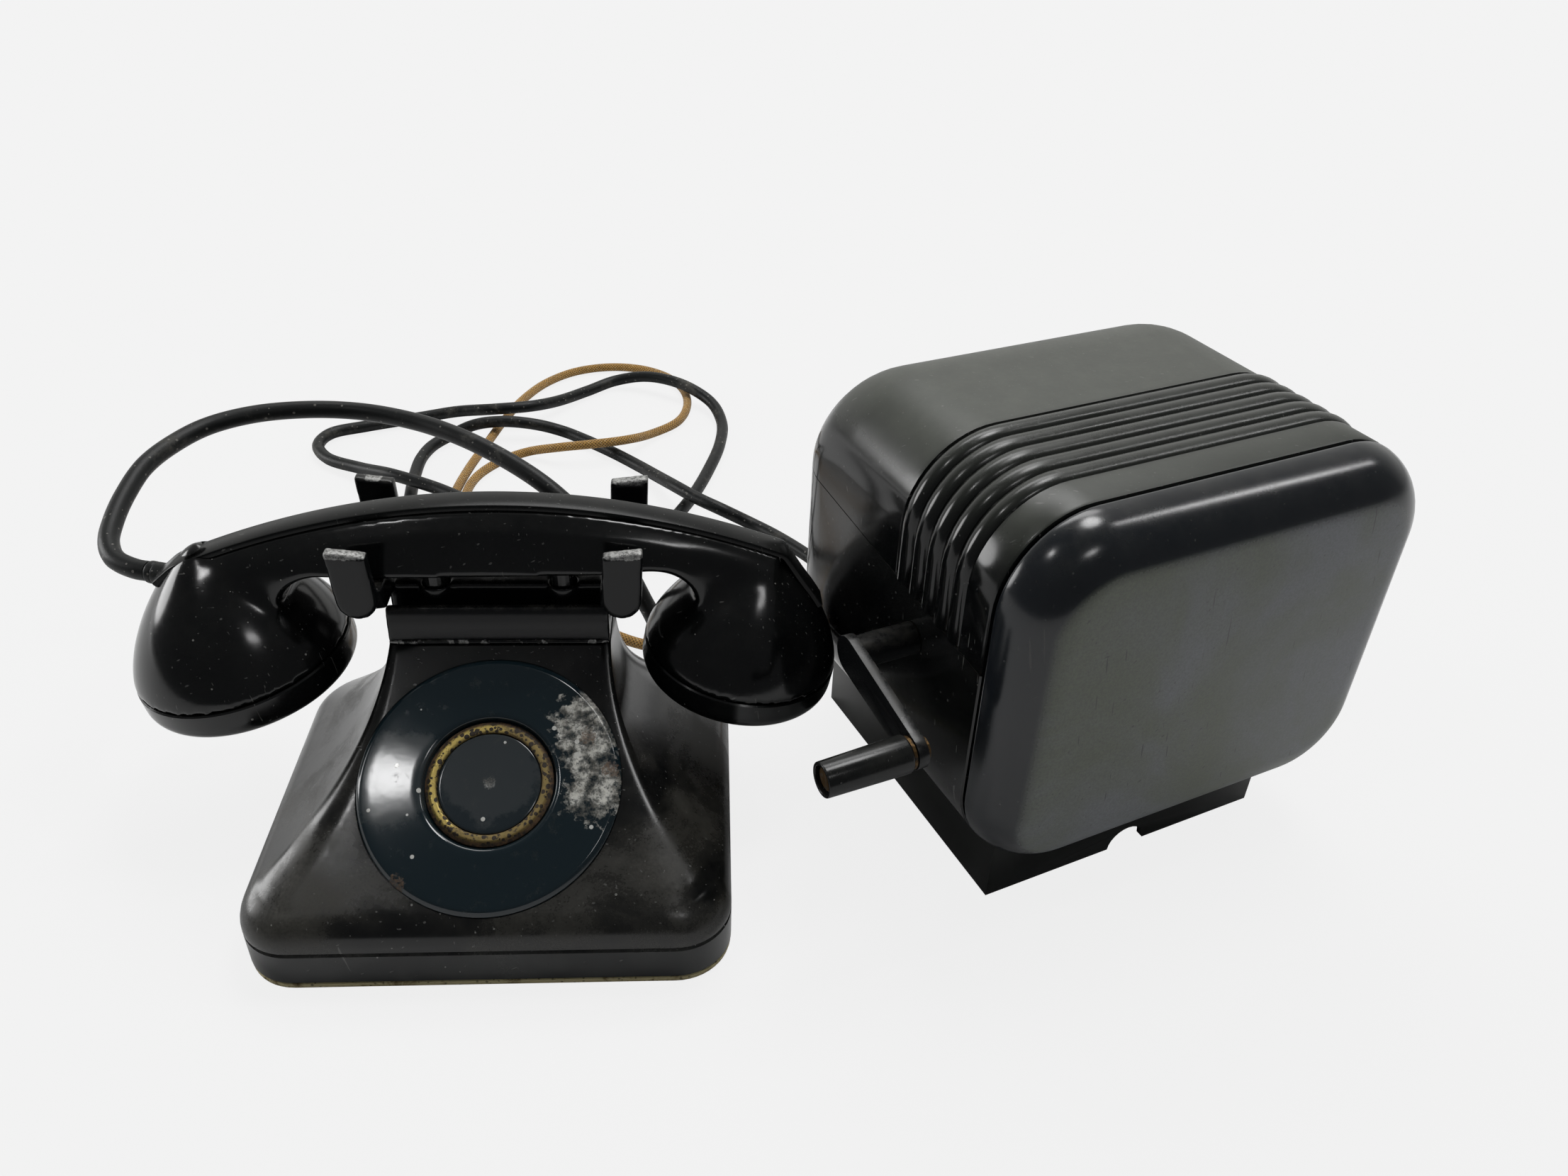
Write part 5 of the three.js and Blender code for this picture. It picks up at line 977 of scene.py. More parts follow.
@dataclass(frozen=True)
class Braid(Finish):
    """Woven cotton over a cord, laid along the piece's own UV map."""

    light: Colour = (0.47, 0.26, 0.055)
    dark: Colour = (0.13, 0.065, 0.014)
    worn_colour: Colour = (0.22, 0.13, 0.045)
    fleck_colour: Colour = (0.55, 0.42, 0.22)
    strands: float = 9
    worn: Cloud = Cloud(11, 0.42, 0.72, 6, 0.7)

    def paint(self, g: Graph) -> None:
        """Paint two crossing sets of strands with worn flecks.

        Args:
            g: The material's graph.
        """
        where = g.add("ShaderNodeUVMap").outputs[0]
        parts = g.add("ShaderNodeSeparateXYZ", {0: where})
        around, along = (g.times(part, self.strands * math.tau) for part in parts.outputs[:2])
        left, right = (g.math("SINE", g.math(way, around, along)) for way in ("ADD", "SUBTRACT"))
        weave = g.ramp(g.larger(left, right), -0.2, 0.95)
        tone = g.mix(g.times(g.cloud(self.worn), 0.6), self.light, self.worn_colour)
        fleck = g.times(g.specks(spacing=1.8, size=0.75), weave)
        colour = g.mix(weave, self.dark, tone)
        colour = g.mix(g.times(fleck, 0.5), colour, self.fleck_colour)
        g.set(Base_Color=colour, Roughness=0.9, Sheen_Weight=0.25, Sheen_Roughness=0.5)
        g.bump(weave, distance=0.35, strength=0.8)


@dataclass(frozen=True)
class Winding(Finish):
    """Lacquered wire, paper or fibre: a base with fine bands and stains."""

    colour: Colour
    band: Colour
    pitch: float = 0.5
    rough: float = 0.5
    stain: float = 0.6
    stained: Cloud = Cloud(12, 0.4, 0.7)

    def paint(self, g: Graph) -> None:
        """Paint fine bands along one axis under soft stains.

        Args:
            g: The material's graph.
        """
        wave = g.add("ShaderNodeTexWave", {
            "Vector": g.object, "Scale": 1 / (self.pitch * MM) / math.tau, "Distortion": 0.3,
            "Detail": 1.0}, bands_direction="Y").outputs[1]
        stain = g.cloud(self.stained, 0, self.stain)
        colour = g.mix(wave, self.band, self.colour)
        colour = g.mix(stain, colour, darker(self.colour, 0.5))
        g.set(Base_Color=colour, Roughness=g.ramp(stain, 0, self.stain, self.rough, 0.8))
        g.bump(wave, distance=0.08, strength=0.5)


@dataclass
class Finishes:
    """Every finish of the object, each built once."""

    built: dict[str, bpy.types.Material] = field(default_factory=dict)

    def of(self, finish: Finish) -> bpy.types.Material:
        """Look a finish's material up, and build it when it is first asked for.

        Args:
            finish: The finish.

        Returns:
            Its material.
        """
        if finish.name not in self.built:
            self.built[finish.name] = finish.build()
        return self.built[finish.name]


FINISHES = Finishes()
BRASS = Metal("aged_brass", (0.42, 0.30, 0.10), (0.055, 0.032, 0.012), 0.75, 3.5, 0.36)
BRONZE = Metal("dark_bronze", (0.10, 0.06, 0.025), (0.02, 0.014, 0.009), 0.6, 3, 0.4)
STEEL = Metal("plain_steel", (0.38, 0.39, 0.40), (0.16, 0.14, 0.12), 0.3, 14, 0.34)
OLIVE = Metal("olive_plate", (0.46, 0.40, 0.22), (0.16, 0.12, 0.05), 0.5, 8, 0.5, 0.3)
ZINC = Metal("dull_zinc", (0.42, 0.43, 0.42), (0.2, 0.2, 0.19), 0.4, 10, 0.5, 0.8)
MAGNET = Metal("red_magnet", (0.16, 0.03, 0.02), (0.05, 0.02, 0.015), 0.4, 9, 0.45, 0.3)
RUBBER = Rubber("cable_rubber")
COPPER = Winding("copper_winding", (0.30, 0.09, 0.04), (0.10, 0.03, 0.015), 0.45)
PAPER = Winding("cell_paper", (0.30, 0.25, 0.15), (0.24, 0.19, 0.11), 6, 0.8)
FIBRE = Winding("pressed_fibre", (0.085, 0.05, 0.03), (0.06, 0.035, 0.02), 0.9, 0.6)
PLAIN_BLACK = Bakelite("inner_black", haze=0.2, dust=0.15)


class Slot(Enum):
    """Names of material slots; each cord carries one."""

    BAKELITE = "bakelite"
    PAINTED = "painted_metal"
    BRASS = "worn_brass"
    RUBBER = "rubber"
    TEXTILE = "textile"
    OLIVE = "olive_plate"


def dress(obj: Piece, finish: Finish, body: str, nodes: Iterable[str] = ()) -> None:
    """Give a piece its finish, its body and the nodes it stands for.

    Args:
        obj: The finished piece.
        finish: Its finish.
        body: The body that the piece rides on.
        nodes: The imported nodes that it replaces.
    """
    obj.data.materials.clear()
    obj.data.materials.append(FINISHES.of(finish))
    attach(obj, body)
    if nodes:
        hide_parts(*nodes)
    LOG.info("%s: %d faces on %s", obj.name, len(obj.data.polygons), body)


# Cords


class Feel(Enum):
    """How stiff a cord is."""

    LIMP = "limp"
    MEDIUM = "medium"


@dataclass
class Cord:
    """One cord along points chosen from the photograph."""

    name: str
    node: str
    diameter: float
    route: Sequence[Point]
    finish: Finish
    slot: Slot
    feel: Feel
    sides: int = 16
    step: float = 1.6

    def line(self) -> list[Vector]:
        """Draw the centreline: a centripetal curve through the route.

        Returns:
            Its points, in millimetres.
        """
        knots = [Vector(point) for point in self.route]
        ends = [knots[0] * 2 - knots[1], *knots, knots[-1] * 2 - knots[-2]]
        points = []
        for p0, p1, p2, p3 in zip(ends, ends[1:], ends[2:], ends[3:]):
            # The slopes m1 and m2 hold at p1 and p2, for a stretch of length 1.
            d0, d1, d2 = ((b - a).length ** 0.5 for a, b in ((p0, p1), (p1, p2), (p2, p3)))
            m1 = ((p1 - p0) / d0 - (p2 - p0) / (d0 + d1) + (p2 - p1) / d1) * d1
            m2 = ((p2 - p1) / d1 - (p3 - p1) / (d1 + d2) + (p3 - p2) / d2) * d1
            count = max(2, math.ceil((p2 - p1).length / self.step))
            for i in range(count):
                t = i / count
                points.append(p1 * (2 * t ** 3 - 3 * t ** 2 + 1) + m1 * (t ** 3 - 2 * t ** 2 + t)
                              + p2 * (3 * t ** 2 - 2 * t ** 3) + m2 * (t ** 3 - t ** 2))
        points.append(knots[-1])
        return points

    def rings(self, line: Sequence[Vector]) -> list[list[Vector]]:
        """Carry a circle along the centreline without a twist.

        Args:
            line: The centreline.

        Returns:
            The tube's rings, in metres.
        """
        spokes = circle(1, self.sides)
        side = (line[1] - line[0]).normalized().orthogonal().normalized()
        rings = []
        for i, point in enumerate(line):
            ahead = (line[min(i + 1, len(line) - 1)] - line[max(i - 1, 0)]).normalized()
            side = (side - ahead * side.dot(ahead)).normalized()
            other = ahead.cross(side)
            rings.append([(point + (side * c + other * s) * self.diameter / 2) * MM
                          for c, s in spokes])
        return rings

    def tube(self, line: Sequence[Vector]) -> tuple[Piece, float]:
        """Make the cord's closed tube, with a UV map that runs along it.

        Its mesh is made from data, because a cord has hundreds of rings and each has its own
        run on the map.

        Args:
            line: The centreline.

        Returns:
            The cord and its length in millimetres.
        """
        rings = self.rings(line)
        around = self.sides
        girth = math.pi * self.diameter
        faces, places = [], []
        run = 0.0
        for row in range(len(rings) - 1):
            length = (line[row + 1] - line[row]).length
            low, high = run / girth, (run + length) / girth
            for k in range(around):
                a, b = row * around + k, row * around + (k + 1) % around
                faces.append((a, b, b + around, a + around))
                places += [(k / around, low), ((k + 1) / around, low),
                           ((k + 1) / around, high), (k / around, high)]
            run += length
        for row, order in ((0, -1), (len(rings) - 1, 1)):
            faces.append(tuple(row * around + k for k in range(around))[::order])
            places += [(0.0, 0.0)] * around
        mesh = bpy.data.meshes.new(self.name)
        mesh.from_pydata([point for ring in rings for point in ring], [], faces)
        for loop, place in zip(mesh.uv_layers.new(name="weave").data, places):
            loop.uv = place
        obj = bpy.data.objects.new(self.name, mesh)
        bpy.context.scene.collection.objects.link(obj)
        return smooth(obj, 60), run

    def build(self) -> Piece:
        """Build and dress the cord.

        Returns:
            The cord.
        """
        line = self.line()
        obj, run = self.tube(line)
        obj.data.materials.append(FINISHES.of(self.finish))
        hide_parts(self.node)
        LOG.info("%s: %.0f mm long", self.name, run)
        return obj


@dataclass
class CordSet:
    """The four cords: one from base to handset and three from telephone to box."""

    handset: Sequence[Point] = (
        (-118.5, 37.9, 91.6), (-123.3, 39.3, 91.6), (-131.8, 44.4, 92.2), (-136.7, 52.4, 93.6),
        (-139, 64, 95.5), (-139.5, 78, 98), (-138, 94, 100.5), (-133, 109, 101.5),
        (-124, 122, 102.5), (-109, 131.5, 103), (-89, 137, 102.5), (-69, 137.5, 101.5),
        (-47, 130.5, 101), (-28, 119.5, 100.5), (-9, 106.5, 98), (8, 94.5, 93), (21, 87.5, 84),
        (31, 86.5, 72), (38.5, 88, 58), (44, 90, 43), (48.5, 91.5, 30), (51.5, 89, 19.5),
        (52, 82, 12.3), (52, 76, 9.9), (52, 72.4, 9.5),
    )
    long: Sequence[Point] = (
        (13.9, 72.1, 9.5), (14, 79, 9.5), (16.5, 105, 8.5), (24.5, 127.5, 10), (30, 153.5, 5),
        (39, 179, 3.6), (50.5, 208.5, 3.6), (62, 237, 3.6), (70.5, 266, 3.6), (76.5, 294.5, 3.6),
        (77.5, 321, 3.6), (71, 340.5, 6.5), (53.5, 356.5, 10), (32.5, 368, 9), (14, 370.5, 5),
        (-2, 359, 3.6), (-17.5, 339.5, 6.5), (-31.5, 325.5, 10), (-51, 321.5, 10),
        (-73.5, 327, 5.5), (-93.5, 323, 3.6), (-121, 312, 3.6), (-138.5, 303, 3.6),
        (-142, 289.5, 3.6), (-133.5, 275, 3.6), (-113, 260.5, 6), (-92, 244, 11.5),
        (-68.5, 232, 11), (-46.5, 218.5, 10), (-27, 217.5, 4.5), (-4, 211, 3.6),
        (17, 200.5, 6), (37, 186.5, 11.5), (58.5, 179.5, 11.5), (79, 180.5, 4.5),
        (98, 170, 3.6), (119, 151.5, 3.6), (136.5, 131, 4), (150, 109.5, 10), (153.1, 103.1, 10),
    )
    short: Sequence[Point] = (
        (-54.7, 72.3, 9.5), (-55, 79.5, 9.5), (-57, 99.5, 5), (-60, 119.5, 3.6),
        (-64, 142.5, 3.6), (-69.5, 166, 3.6), (-74.5, 189, 3.6), (-79, 212, 3.6),
        (-82, 235, 3.6), (-84, 257.5, 3.6), (-84, 276, 3.6), (-80.5, 290, 3.6),
        (-72.5, 300, 4.5), (-60, 305, 8.5), (-44.5, 306.5, 10), (-26, 306, 8.5), (-12, 307, 4),
        (1.5, 297.5, 3.6), (18, 283, 3.6), (32.5, 268.5, 3.6), (43, 252.5, 6.5), (52.5, 235, 11),
        (64.5, 221.5, 11.5), (76.5, 212.5, 10.5), (91, 210, 4), (103, 199, 3.6),
        (117, 182.5, 3.6), (130, 163.5, 3.6), (143, 145, 3.6), (156, 130.5, 5.5), (169, 117, 10),
        (172.3, 110.7, 10),
    )
    textile: Sequence[Point] = (
        (-30.3, 72.5, 9.5), (-30, 79.5, 9.5), (-32, 103.5, 4), (-37, 128.5, 2.8),
        (-45.5, 156.5, 2.8), (-54, 184.5, 2.8), (-59.5, 211.5, 2.8), (-60.5, 238, 2.8),
        (-57.5, 265.5, 2.8), (-52, 294, 2.8), (-46, 323.5, 2.8), (-38.5, 349.5, 2.8),
        (-27.5, 371.5, 2.8), (-12, 387, 2.8), (7.5, 394, 2.8), (27.5, 392, 2.8), (44, 381.5, 2.8),
        (54.5, 364, 2.8), (57.5, 342.5, 2.8), (52.5, 322, 2.8), (38, 304.5, 4), (24, 286.5, 9.5),
        (7.5, 279, 11), (-11.5, 278.5, 9), (-28.5, 283.5, 3.5), (-41.5, 274.5, 2.8),
        (-52, 257, 2.8), (-54.5, 235.5, 2.8), (-48.5, 213, 2.8), (-36.5, 189, 2.8),
        (-21, 166, 2.8), (-3, 145.5, 2.8), (18, 127, 2.8), (39, 113, 2.8), (59, 108, 2.8),
        (82, 112.5, 2.8), (105.5, 117.5, 2.8), (122.5, 113.5, 6), (132.5, 101, 10),
        (134.7, 94.3, 10),
    )

    def build(self) -> None:
        """Build the four cords; the handset's own runs between base and handset."""
        handset = Cord("cord_to_handset", "handset_cord", 7, self.handset, RUBBER, Slot.RUBBER,
                       Feel.MEDIUM).build()
        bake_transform(handset)
        for name, node, diameter, route, finish, slot, feel in (
                ("cable_long", "long_cable", 6.4, self.long, RUBBER, Slot.RUBBER, Feel.MEDIUM),
                ("cable_short", "short_cable", 6.4, self.short, RUBBER, Slot.RUBBER, Feel.MEDIUM),
                ("cord_braided", "textile_cord", 4.8, self.textile, Braid("cotton_braid"),
                 Slot.TEXTILE, Feel.LIMP)):
            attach(Cord(name, node, diameter, route, finish, slot, feel).build(), ROOT)


# Camera, lamps and floor


@dataclass(frozen=True)
class Lamp:
    """A soft lamp: its place and size in metres, and its power in watts."""

    name: str
    at: Point
    wide: float
    high: float
    power: float

    def hang(self, aim: Point) -> None:
        """Add the lamp and turn it to a point.

        Args:
            aim: The point, in metres.
        """
        bpy.ops.object.light_add(type="AREA", location=self.at)
        lamp = bpy.context.active_object
        lamp.name = self.name
        lamp.data.energy = self.power
        lamp.data.shape = "ELLIPSE"
        lamp.data.size = self.wide
        lamp.data.size_y = self.high
        way = Vector(aim) - Vector(self.at)
        lamp.rotation_euler = way.to_track_quat("-Z", "Y").to_euler()


@dataclass(frozen=True)
class Studio:
    """The photograph's camera, soft lamps and a pale floor.

    The camera was solved from the photograph: its width and focal length are in pixels and
    its eye in millimetres. The other places are in metres.
    """

    width: int = 2212
    focal: float = 1741.146
    pitch: float = math.radians(34.919)
    yaw: float = math.radians(4.157)
    roll: float = math.radians(-2.361)
    eye: Point = (71.171, -317.273, 333.168)
    sensor: float = 36
    backdrop: Colour = (0.896, 0.896, 0.896)
    near_side: Stop = ((0.10, 0.102, 0.105), 0.10)
    far_side: Stop = ((0.80, 0.80, 0.78), 0.80)
    aim: Point = (0.06, 0.08, 0.06)
    over: Lamp = Lamp("lamp_over", (-0.51, -0.36, 1.20), 0.13, 0.13, 1.1)
    top: Lamp = Lamp("lamp_top", (0.45, 0.35, 1.60), 0.5, 0.5, 9.0)
    rear: Lamp = Lamp("lamp_rear", (0.1, 0.85, 1.35), 1.1, 0.5, 8.0)
    left: Lamp = Lamp("lamp_left", (-1.4, 0.4, 0.4), 0.7, 0.7, 8.5)
    strip: Lamp = Lamp("lamp_strip", (1.25, 0.245, 1.30), 0.10, 0.66, 3.0)
    front: Lamp = Lamp("lamp_front", (0.55, -0.80, 1.15), 0.3, 0.12, 1.1)
    floor_size: float = 5
    floor_at: Point = (0.1, 2.0, -0.0002)
    floor_grey: Colour = (0.80, 0.80, 0.80)
    shadow_at: Point = (0.08, 0.12, 0)
    shadow_full: float = 0.3
    shadow_none: float = 0.6
    glow: float = 0.93

    def build(self) -> None:
        """Set the camera, the world, the lamps and the floor."""
        self.camera()
        self.world()
        for lamp in (self.over, self.top, self.rear, self.left, self.strip, self.front):
            lamp.hang(self.aim)
        self.floor()
        LOG.info("studio is set")

    def camera(self) -> None:
        """Put the camera where the photograph was taken."""
        bpy.ops.object.camera_add()
        camera = bpy.context.active_object
        camera.name = "photo_camera"
        sy, cy = math.sin(self.yaw), math.cos(self.yaw)
        sp, cp = math.sin(self.pitch), math.cos(self.pitch)
        ahead = Vector((sy * cp, cy * cp, -sp))
        level = Vector((cy, -sy, 0))
        down = ahead.cross(level)
        right = level * math.cos(self.roll) + down * math.sin(self.roll)
        down = down * math.cos(self.roll) - level * math.sin(self.roll)
        turn = Matrix((right, -down, -ahead)).transposed().to_4x4()
        camera.matrix_world = Matrix.Translation(Vector(self.eye) * MM) @ turn
        camera.data.sensor_width = self.sensor
        camera.data.sensor_fit = "HORIZONTAL"
        camera.data.lens = self.sensor * self.focal / self.width
        camera.data.clip_start = 0.01
        bpy.context.scene.camera = camera

    def world(self) -> None:
        """Light the scene softly from the rear, with the backdrop's white for the camera."""
        world = bpy.data.worlds.new("studio_world")
        bpy.context.scene.world = world
        world.use_nodes = True
        nodes, links = world.node_tree.nodes, world.node_tree.links
        sky = nodes["Background"]
        where = nodes.new("ShaderNodeTexCoord")
        parts = nodes.new("ShaderNodeSeparateXYZ")
        ramp = nodes.new("ShaderNodeValToRGB")
        for stop, (colour, place) in zip(ramp.color_ramp.elements, (self.near_side, self.far_side)):
            stop.color = (*colour, 1)
            stop.position = place
        white = nodes.new("ShaderNodeBackground")
        white.inputs[0].default_value = (*self.backdrop, 1)
        path = nodes.new("ShaderNodeLightPath")
        mix = nodes.new("ShaderNodeMixShader")
        for start, stop in ((where.outputs["Generated"], parts.inputs[0]),
                            (parts.outputs[1], ramp.inputs[0]),
                            (ramp.outputs[0], sky.inputs[0]),
                            (path.outputs["Is Camera Ray"], mix.inputs[0]),
                            (sky.outputs[0], mix.inputs[1]),
                            (white.outputs[0], mix.inputs[2]),
                            (mix.outputs[0], nodes["World Output"].inputs[0])):
            links.new(start, stop)

    def floor(self) -> None:
        """Lay a wide floor that glows as the backdrop does and keeps the object's shadow."""
        bpy.ops.mesh.primitive_plane_add(size=self.floor_size, location=self.floor_at)
        floor = bpy.context.active_object
        floor.name = "studio_floor"
        edit(floor, lambda: bpy.ops.mesh.subdivide(number_cuts=2))
        g = Graph("pale_floor")
        g.set(Base_Color=self.floor_grey, Roughness=0.9, Specular_IOR_Level=0.1)
        glow = g.add("ShaderNodeEmission", {0: self.backdrop}).outputs[0]
        seen = g.add("ShaderNodeLightPath").outputs["Is Camera Ray"]
        where = g.add("ShaderNodeNewGeometry").outputs["Position"]
        apart = g.add("ShaderNodeVectorMath", {0: where, 1: self.shadow_at},
                      operation="DISTANCE").outputs["Value"]
        share = g.add("ShaderNodeMapRange", {0: apart, 1: self.shadow_full, 2: self.shadow_none,
                                             3: self.glow}).outputs[0]
        g.show(g.add("ShaderNodeMixShader", {
            0: g.times(seen, share), 1: g.shader.outputs[0], 2: glow}).outputs[0])
        floor.data.materials.append(g.material)


# Telephone shell and base


@dataclass
class Desk:
    """The telephone's shell, base band and base plate."""

    half_base: float = 78
    front: float = -63
    rear: float = 63
    base_corner: float = 18
    plate_inset: float = 0.2
    plate_top: float = 2.4
    band_low: float = 2.7
    band_top: float = 16
    bottom: float = 16.4
    lip: float = 0.5
    shoulder: float = 13
    shoulder_steps: int = 14
    rear_shoulder: float = 5
    foot_y: float = -54.6
    foot_z: float = 30
    lip_y: float = 17.5
    shelf: float = 75
    neck_half: float = 37.2
    neck_rear: float = 52
    neck_corner: float = 4
    neck_rear_corner: float = 9
    waist_corner: float = 34
    flare_power: float = 1.85
    flare_steps: int = 36
    skirt_corner: float = 15
    wall: float = 3
    dial_y: float = -22.8
    seat_radius: float = 42.6
    seat_floor: float = -0.8
    seat_top: float = 6

    def __post_init__(self) -> None:
        """Work out the face's tilt and the shoulder's size."""
        self.tilt = math.atan2(self.shelf - self.foot_z, self.lip_y - self.foot_y)
        self.turn = QUARTER - self.tilt
        self.inset = self.shoulder * (1 - math.cos(self.turn))
        self.rear_inset = self.rear_shoulder * (1 - math.cos(self.turn))
        self.shoulder_top = (self.foot_z + (self.front + self.inset - self.foot_y)
                             * math.tan(self.tilt))

    def face(self) -> Place:
        """Return the dial's place: its middle on the face, with Z out of the face."""
        z = self.foot_z + (self.dial_y - self.foot_y) * math.tan(self.tilt)
        return Place.at(0, self.dial_y, z, 0, self.tilt)

    def foot_ring(self, z: float, inset: float) -> Ring:
        """Draw the foot's outline, shrunk on every side.

        Args:
            z: The height.
            inset: How far it is shrunk.

        Returns:
            The outline's points.
        """
        corner = self.base_corner - inset
        outline = oblong(self.half_base - inset, self.front + inset, self.rear - inset, corner,
                         corner)
        return [(x, y, z) for x, y in outline]

    def shoulder_ring(self, z: float, inset: float, rear_inset: float) -> Ring:
        """Draw the shell's outline at a height of the skirt or the shoulder.

        Args:
            z: The height.
            inset: How far the front and the sides have drawn in.
            rear_inset: How far the rear has.

        Returns:
            The outline's points.
        """
        outline = oblong(self.half_base - inset, self.front + inset, self.rear - rear_inset,
                         self.base_corner, self.base_corner)
        return [(x, y, z) for x, y in outline]

    def flare_ring(self, rise: float) -> Ring:
        """Draw the shell's outline at a height of the flares.

        Args:
            rise: The way up from the shoulder, 0, to the shelf, 1.

        Returns:
            The outline's points.
        """
        z = self.shoulder_top + (self.shelf - self.shoulder_top) * rise
        flare = (1 - rise) ** self.flare_power
        full = self.half_base - self.inset
        half = self.neck_half + (full - self.neck_half) * flare
        front = self.foot_y + (z - self.foot_z) / math.tan(self.tilt)
        foot = self.rear - self.rear_inset
        rear = foot + (self.neck_rear - foot) * rise
        corner = self.neck_corner + (self.skirt_corner - self.neck_corner) * flare
        back = (self.neck_rear_corner + (self.base_corner - self.neck_rear_corner) * flare
                + (self.waist_corner - self.base_corner) * 4 * rise * (1 - rise))
        return [(x, y, z) for x, y in oblong(half, front, rear, corner, back)]

    def shell(self) -> Piece:
        """Model the shell: skirt, shoulder and flares up to the shelf.

        Returns:
            The shell.
        """
        rings = [self.shoulder_ring(self.bottom, self.lip, self.lip),
                 self.shoulder_ring(self.bottom + self.lip, 0, 0)]
        foot = self.shoulder_top - self.shoulder * math.sin(self.turn)
        for i in range(self.shoulder_steps + 1):
            angle = self.turn * i / self.shoulder_steps
            drawn = 1 - math.cos(angle)
            rings.append(self.shoulder_ring(foot + self.shoulder * math.sin(angle),
                                            self.shoulder * drawn, self.rear_shoulder * drawn))
        rings += [self.flare_ring((i + 1) / self.flare_steps) for i in range(self.flare_steps)]
        shell = lay("shell_moulding", rings, PART, End.OPEN, End.FLAT)
        thicken(shell, self.wall)
        seat = plug(self.seat_radius, self.seat_floor, self.seat_top)
        cut(shell, turned("dial_seat", seat, self.face(), 128))
        return smooth(shell, 30)

    def band(self) -> Piece:
        """Model the base band with softened edges.

        Returns:
            The band.
        """
        levels = ((self.band_low, 0.7), (self.band_low + 0.6, 0), (self.band_top - 0.8, 0),
                  (self.band_top, 0.7), (self.band_top, self.wall), (self.band_low, self.wall))
        rings = [self.foot_ring(z, inset) for z, inset in levels]
        return smooth(lay("base_moulding", rings, PART, closed=True), 40)

    def plate(self) -> Piece:
        """Model the base plate with a rounded edge.

        Returns:
            The plate.
        """
        levels = ((0, 1.0), (0.4, 0.2), (1.2, 0), (self.plate_top - 0.3, 0.1),
                  (self.plate_top, 0.6))
        rings = [self.foot_ring(z, self.plate_inset + inset) for z, inset in levels]
        return smooth(lay("plate_under", rings, PART, End.FLAT, End.FLAT), 40)

    def build(self) -> None:
        """Build and dress the shell, the band and the plate."""
        dusty = Bakelite("shell_bakelite", haze=0.62, haze_colour=(0.052, 0.049, 0.040),
                         haze_size=36, dust=0.06, speck=0.5, gloss=0.13, dull=0.6,
                         clean_above=60)
        clean = Bakelite("band_bakelite", haze=0.4, haze_size=20, speck=0.6)
        dress(self.shell(), dusty, ROOT, ["phone_shell"])
        dress(self.band(), clean, ROOT, ["base_band"])
        dress(self.plate(), OLIVE, ROOT, ["base_plate"])


@dataclass
class DialBlank:
    """The blank in place of a dial: enamelled plate, brass ring and disc."""

    face: Place
    radius: float = 42.3
    height: float = 1.8
    sunk: float = 0.5
    cone: float = 1.1
    well: float = 21.4
    depth: float = 2.2
    ring_outer: float = 20.6
    ring_inner: float = 16.8
    ring_height: float = 1.9
    ring_crest: float = 18.1
    disc_thickness: float = 1.1
    dimple: float = 0.15
    gap: float = 0.3
    silver: tuple[Point, ...] = ((31, 11, 2), (34, -3, 2), (29, 20, 2))
    rust: tuple[Point, ...] = ((39, 4, 2), (-27, -32, 2), (31, 15, 2))
    # On the plate's left: partly haze, partly a painted sheen under the glare.
    haze_and_sheen_at: Point = (-30, 2, 2)
    # Where the ring's gold crest is strongest: partly wear, partly a painted highlight.
    worn_and_lit_side: Flat = (-19, 9)

    def on_face(self, *points: Point) -> tuple[Point, ...]:
        """Return points of the face as points of the scene, in metres."""
        return tuple(tuple(self.face.metres(point)) for point in points)

    def plate(self) -> Piece:
        """Model the plate: a shallow cone that rises to the well's edge.

        Returns:
            The plate.
        """
        r, top, well = self.radius, self.height, self.well
        profile = [(0, -self.sunk), (r, -self.sunk), (r, top - 1.5), (r - 1.6, top - 0.1),
                   (r - 6, top + 0.2), (well + 3, top + self.cone - 0.05),
                   (well + 1.2, top + self.cone), (well, top + 0.5),
                   (well - 0.4, top - self.depth), (0, top - self.depth)]
        return smooth(turned("blank_plate", rounded(profile, 0.6), self.face, 128), 50)

    def ring(self, low: float) -> Piece:
        """Model the ring with its bevelled outer edge.

        Args:
            low: The height of its underside over the face.

        Returns:
            The ring.
        """
        inner, outer, high = self.ring_inner, self.ring_outer, low + self.ring_height
        profile = [(inner, low), (outer, low), (outer, high - 1.3), (outer - 1.3, high - 0.5),
                   (outer - 1.8, high), (inner + 0.5, high), (inner, high - 0.6)]
        return smooth(turned("blank_ring", rounded(profile, 0.35), self.face, 128), 60)

    def disc(self, low: float) -> Piece:
        """Model the disc with its shallow dimple.

        Args:
            low: The height of its underside over the face.

        Returns:
            The disc.
        """
        edge, high = self.ring_inner - self.gap, low + self.disc_thickness
        profile = [(0, low), (edge, low), (edge, high - 0.2), (edge - 0.7, high), (1.6, high),
                   (1.0, high - self.dimple), (0, high - self.dimple)]
        return smooth(turned("blank_disc", rounded(profile, 0.3), self.face, 96), 50)

    def build(self) -> None:
        """Build and dress the plate, the ring and the disc."""
        enamel = Enamel("blank_enamel", silver=self.on_face(*self.silver),
                        rust=self.on_face(*self.rust), haze_and_sheen_at=self.on_face(self.haze_and_sheen_at)[0])
        dress(self.plate(), enamel, ROOT, ["dial_blank"])
        low = self.height - self.depth + self.gap
        high = low + self.ring_height
        centre, worn_and_lit_side = self.on_face((0, 0, high), (*self.worn_and_lit_side, high))
        dress(self.ring(low), WornRing("ring_brass", centre, self.ring_crest, worn_and_lit_side),
              ROOT, ["dial_ring"])
        spot, haze = self.on_face((0, 0, low + self.disc_thickness), (0, 3, 2))
        grey = Enamel("disc_enamel", silver=(spot,), silver_radius=2.0, grain=0.35, wear=0.3,
                      rust=(), haze_and_sheen_at=haze, colour=(0.012, 0.018, 0.022))
        dress(self.disc(low), grey, ROOT, ["dial_disc"])


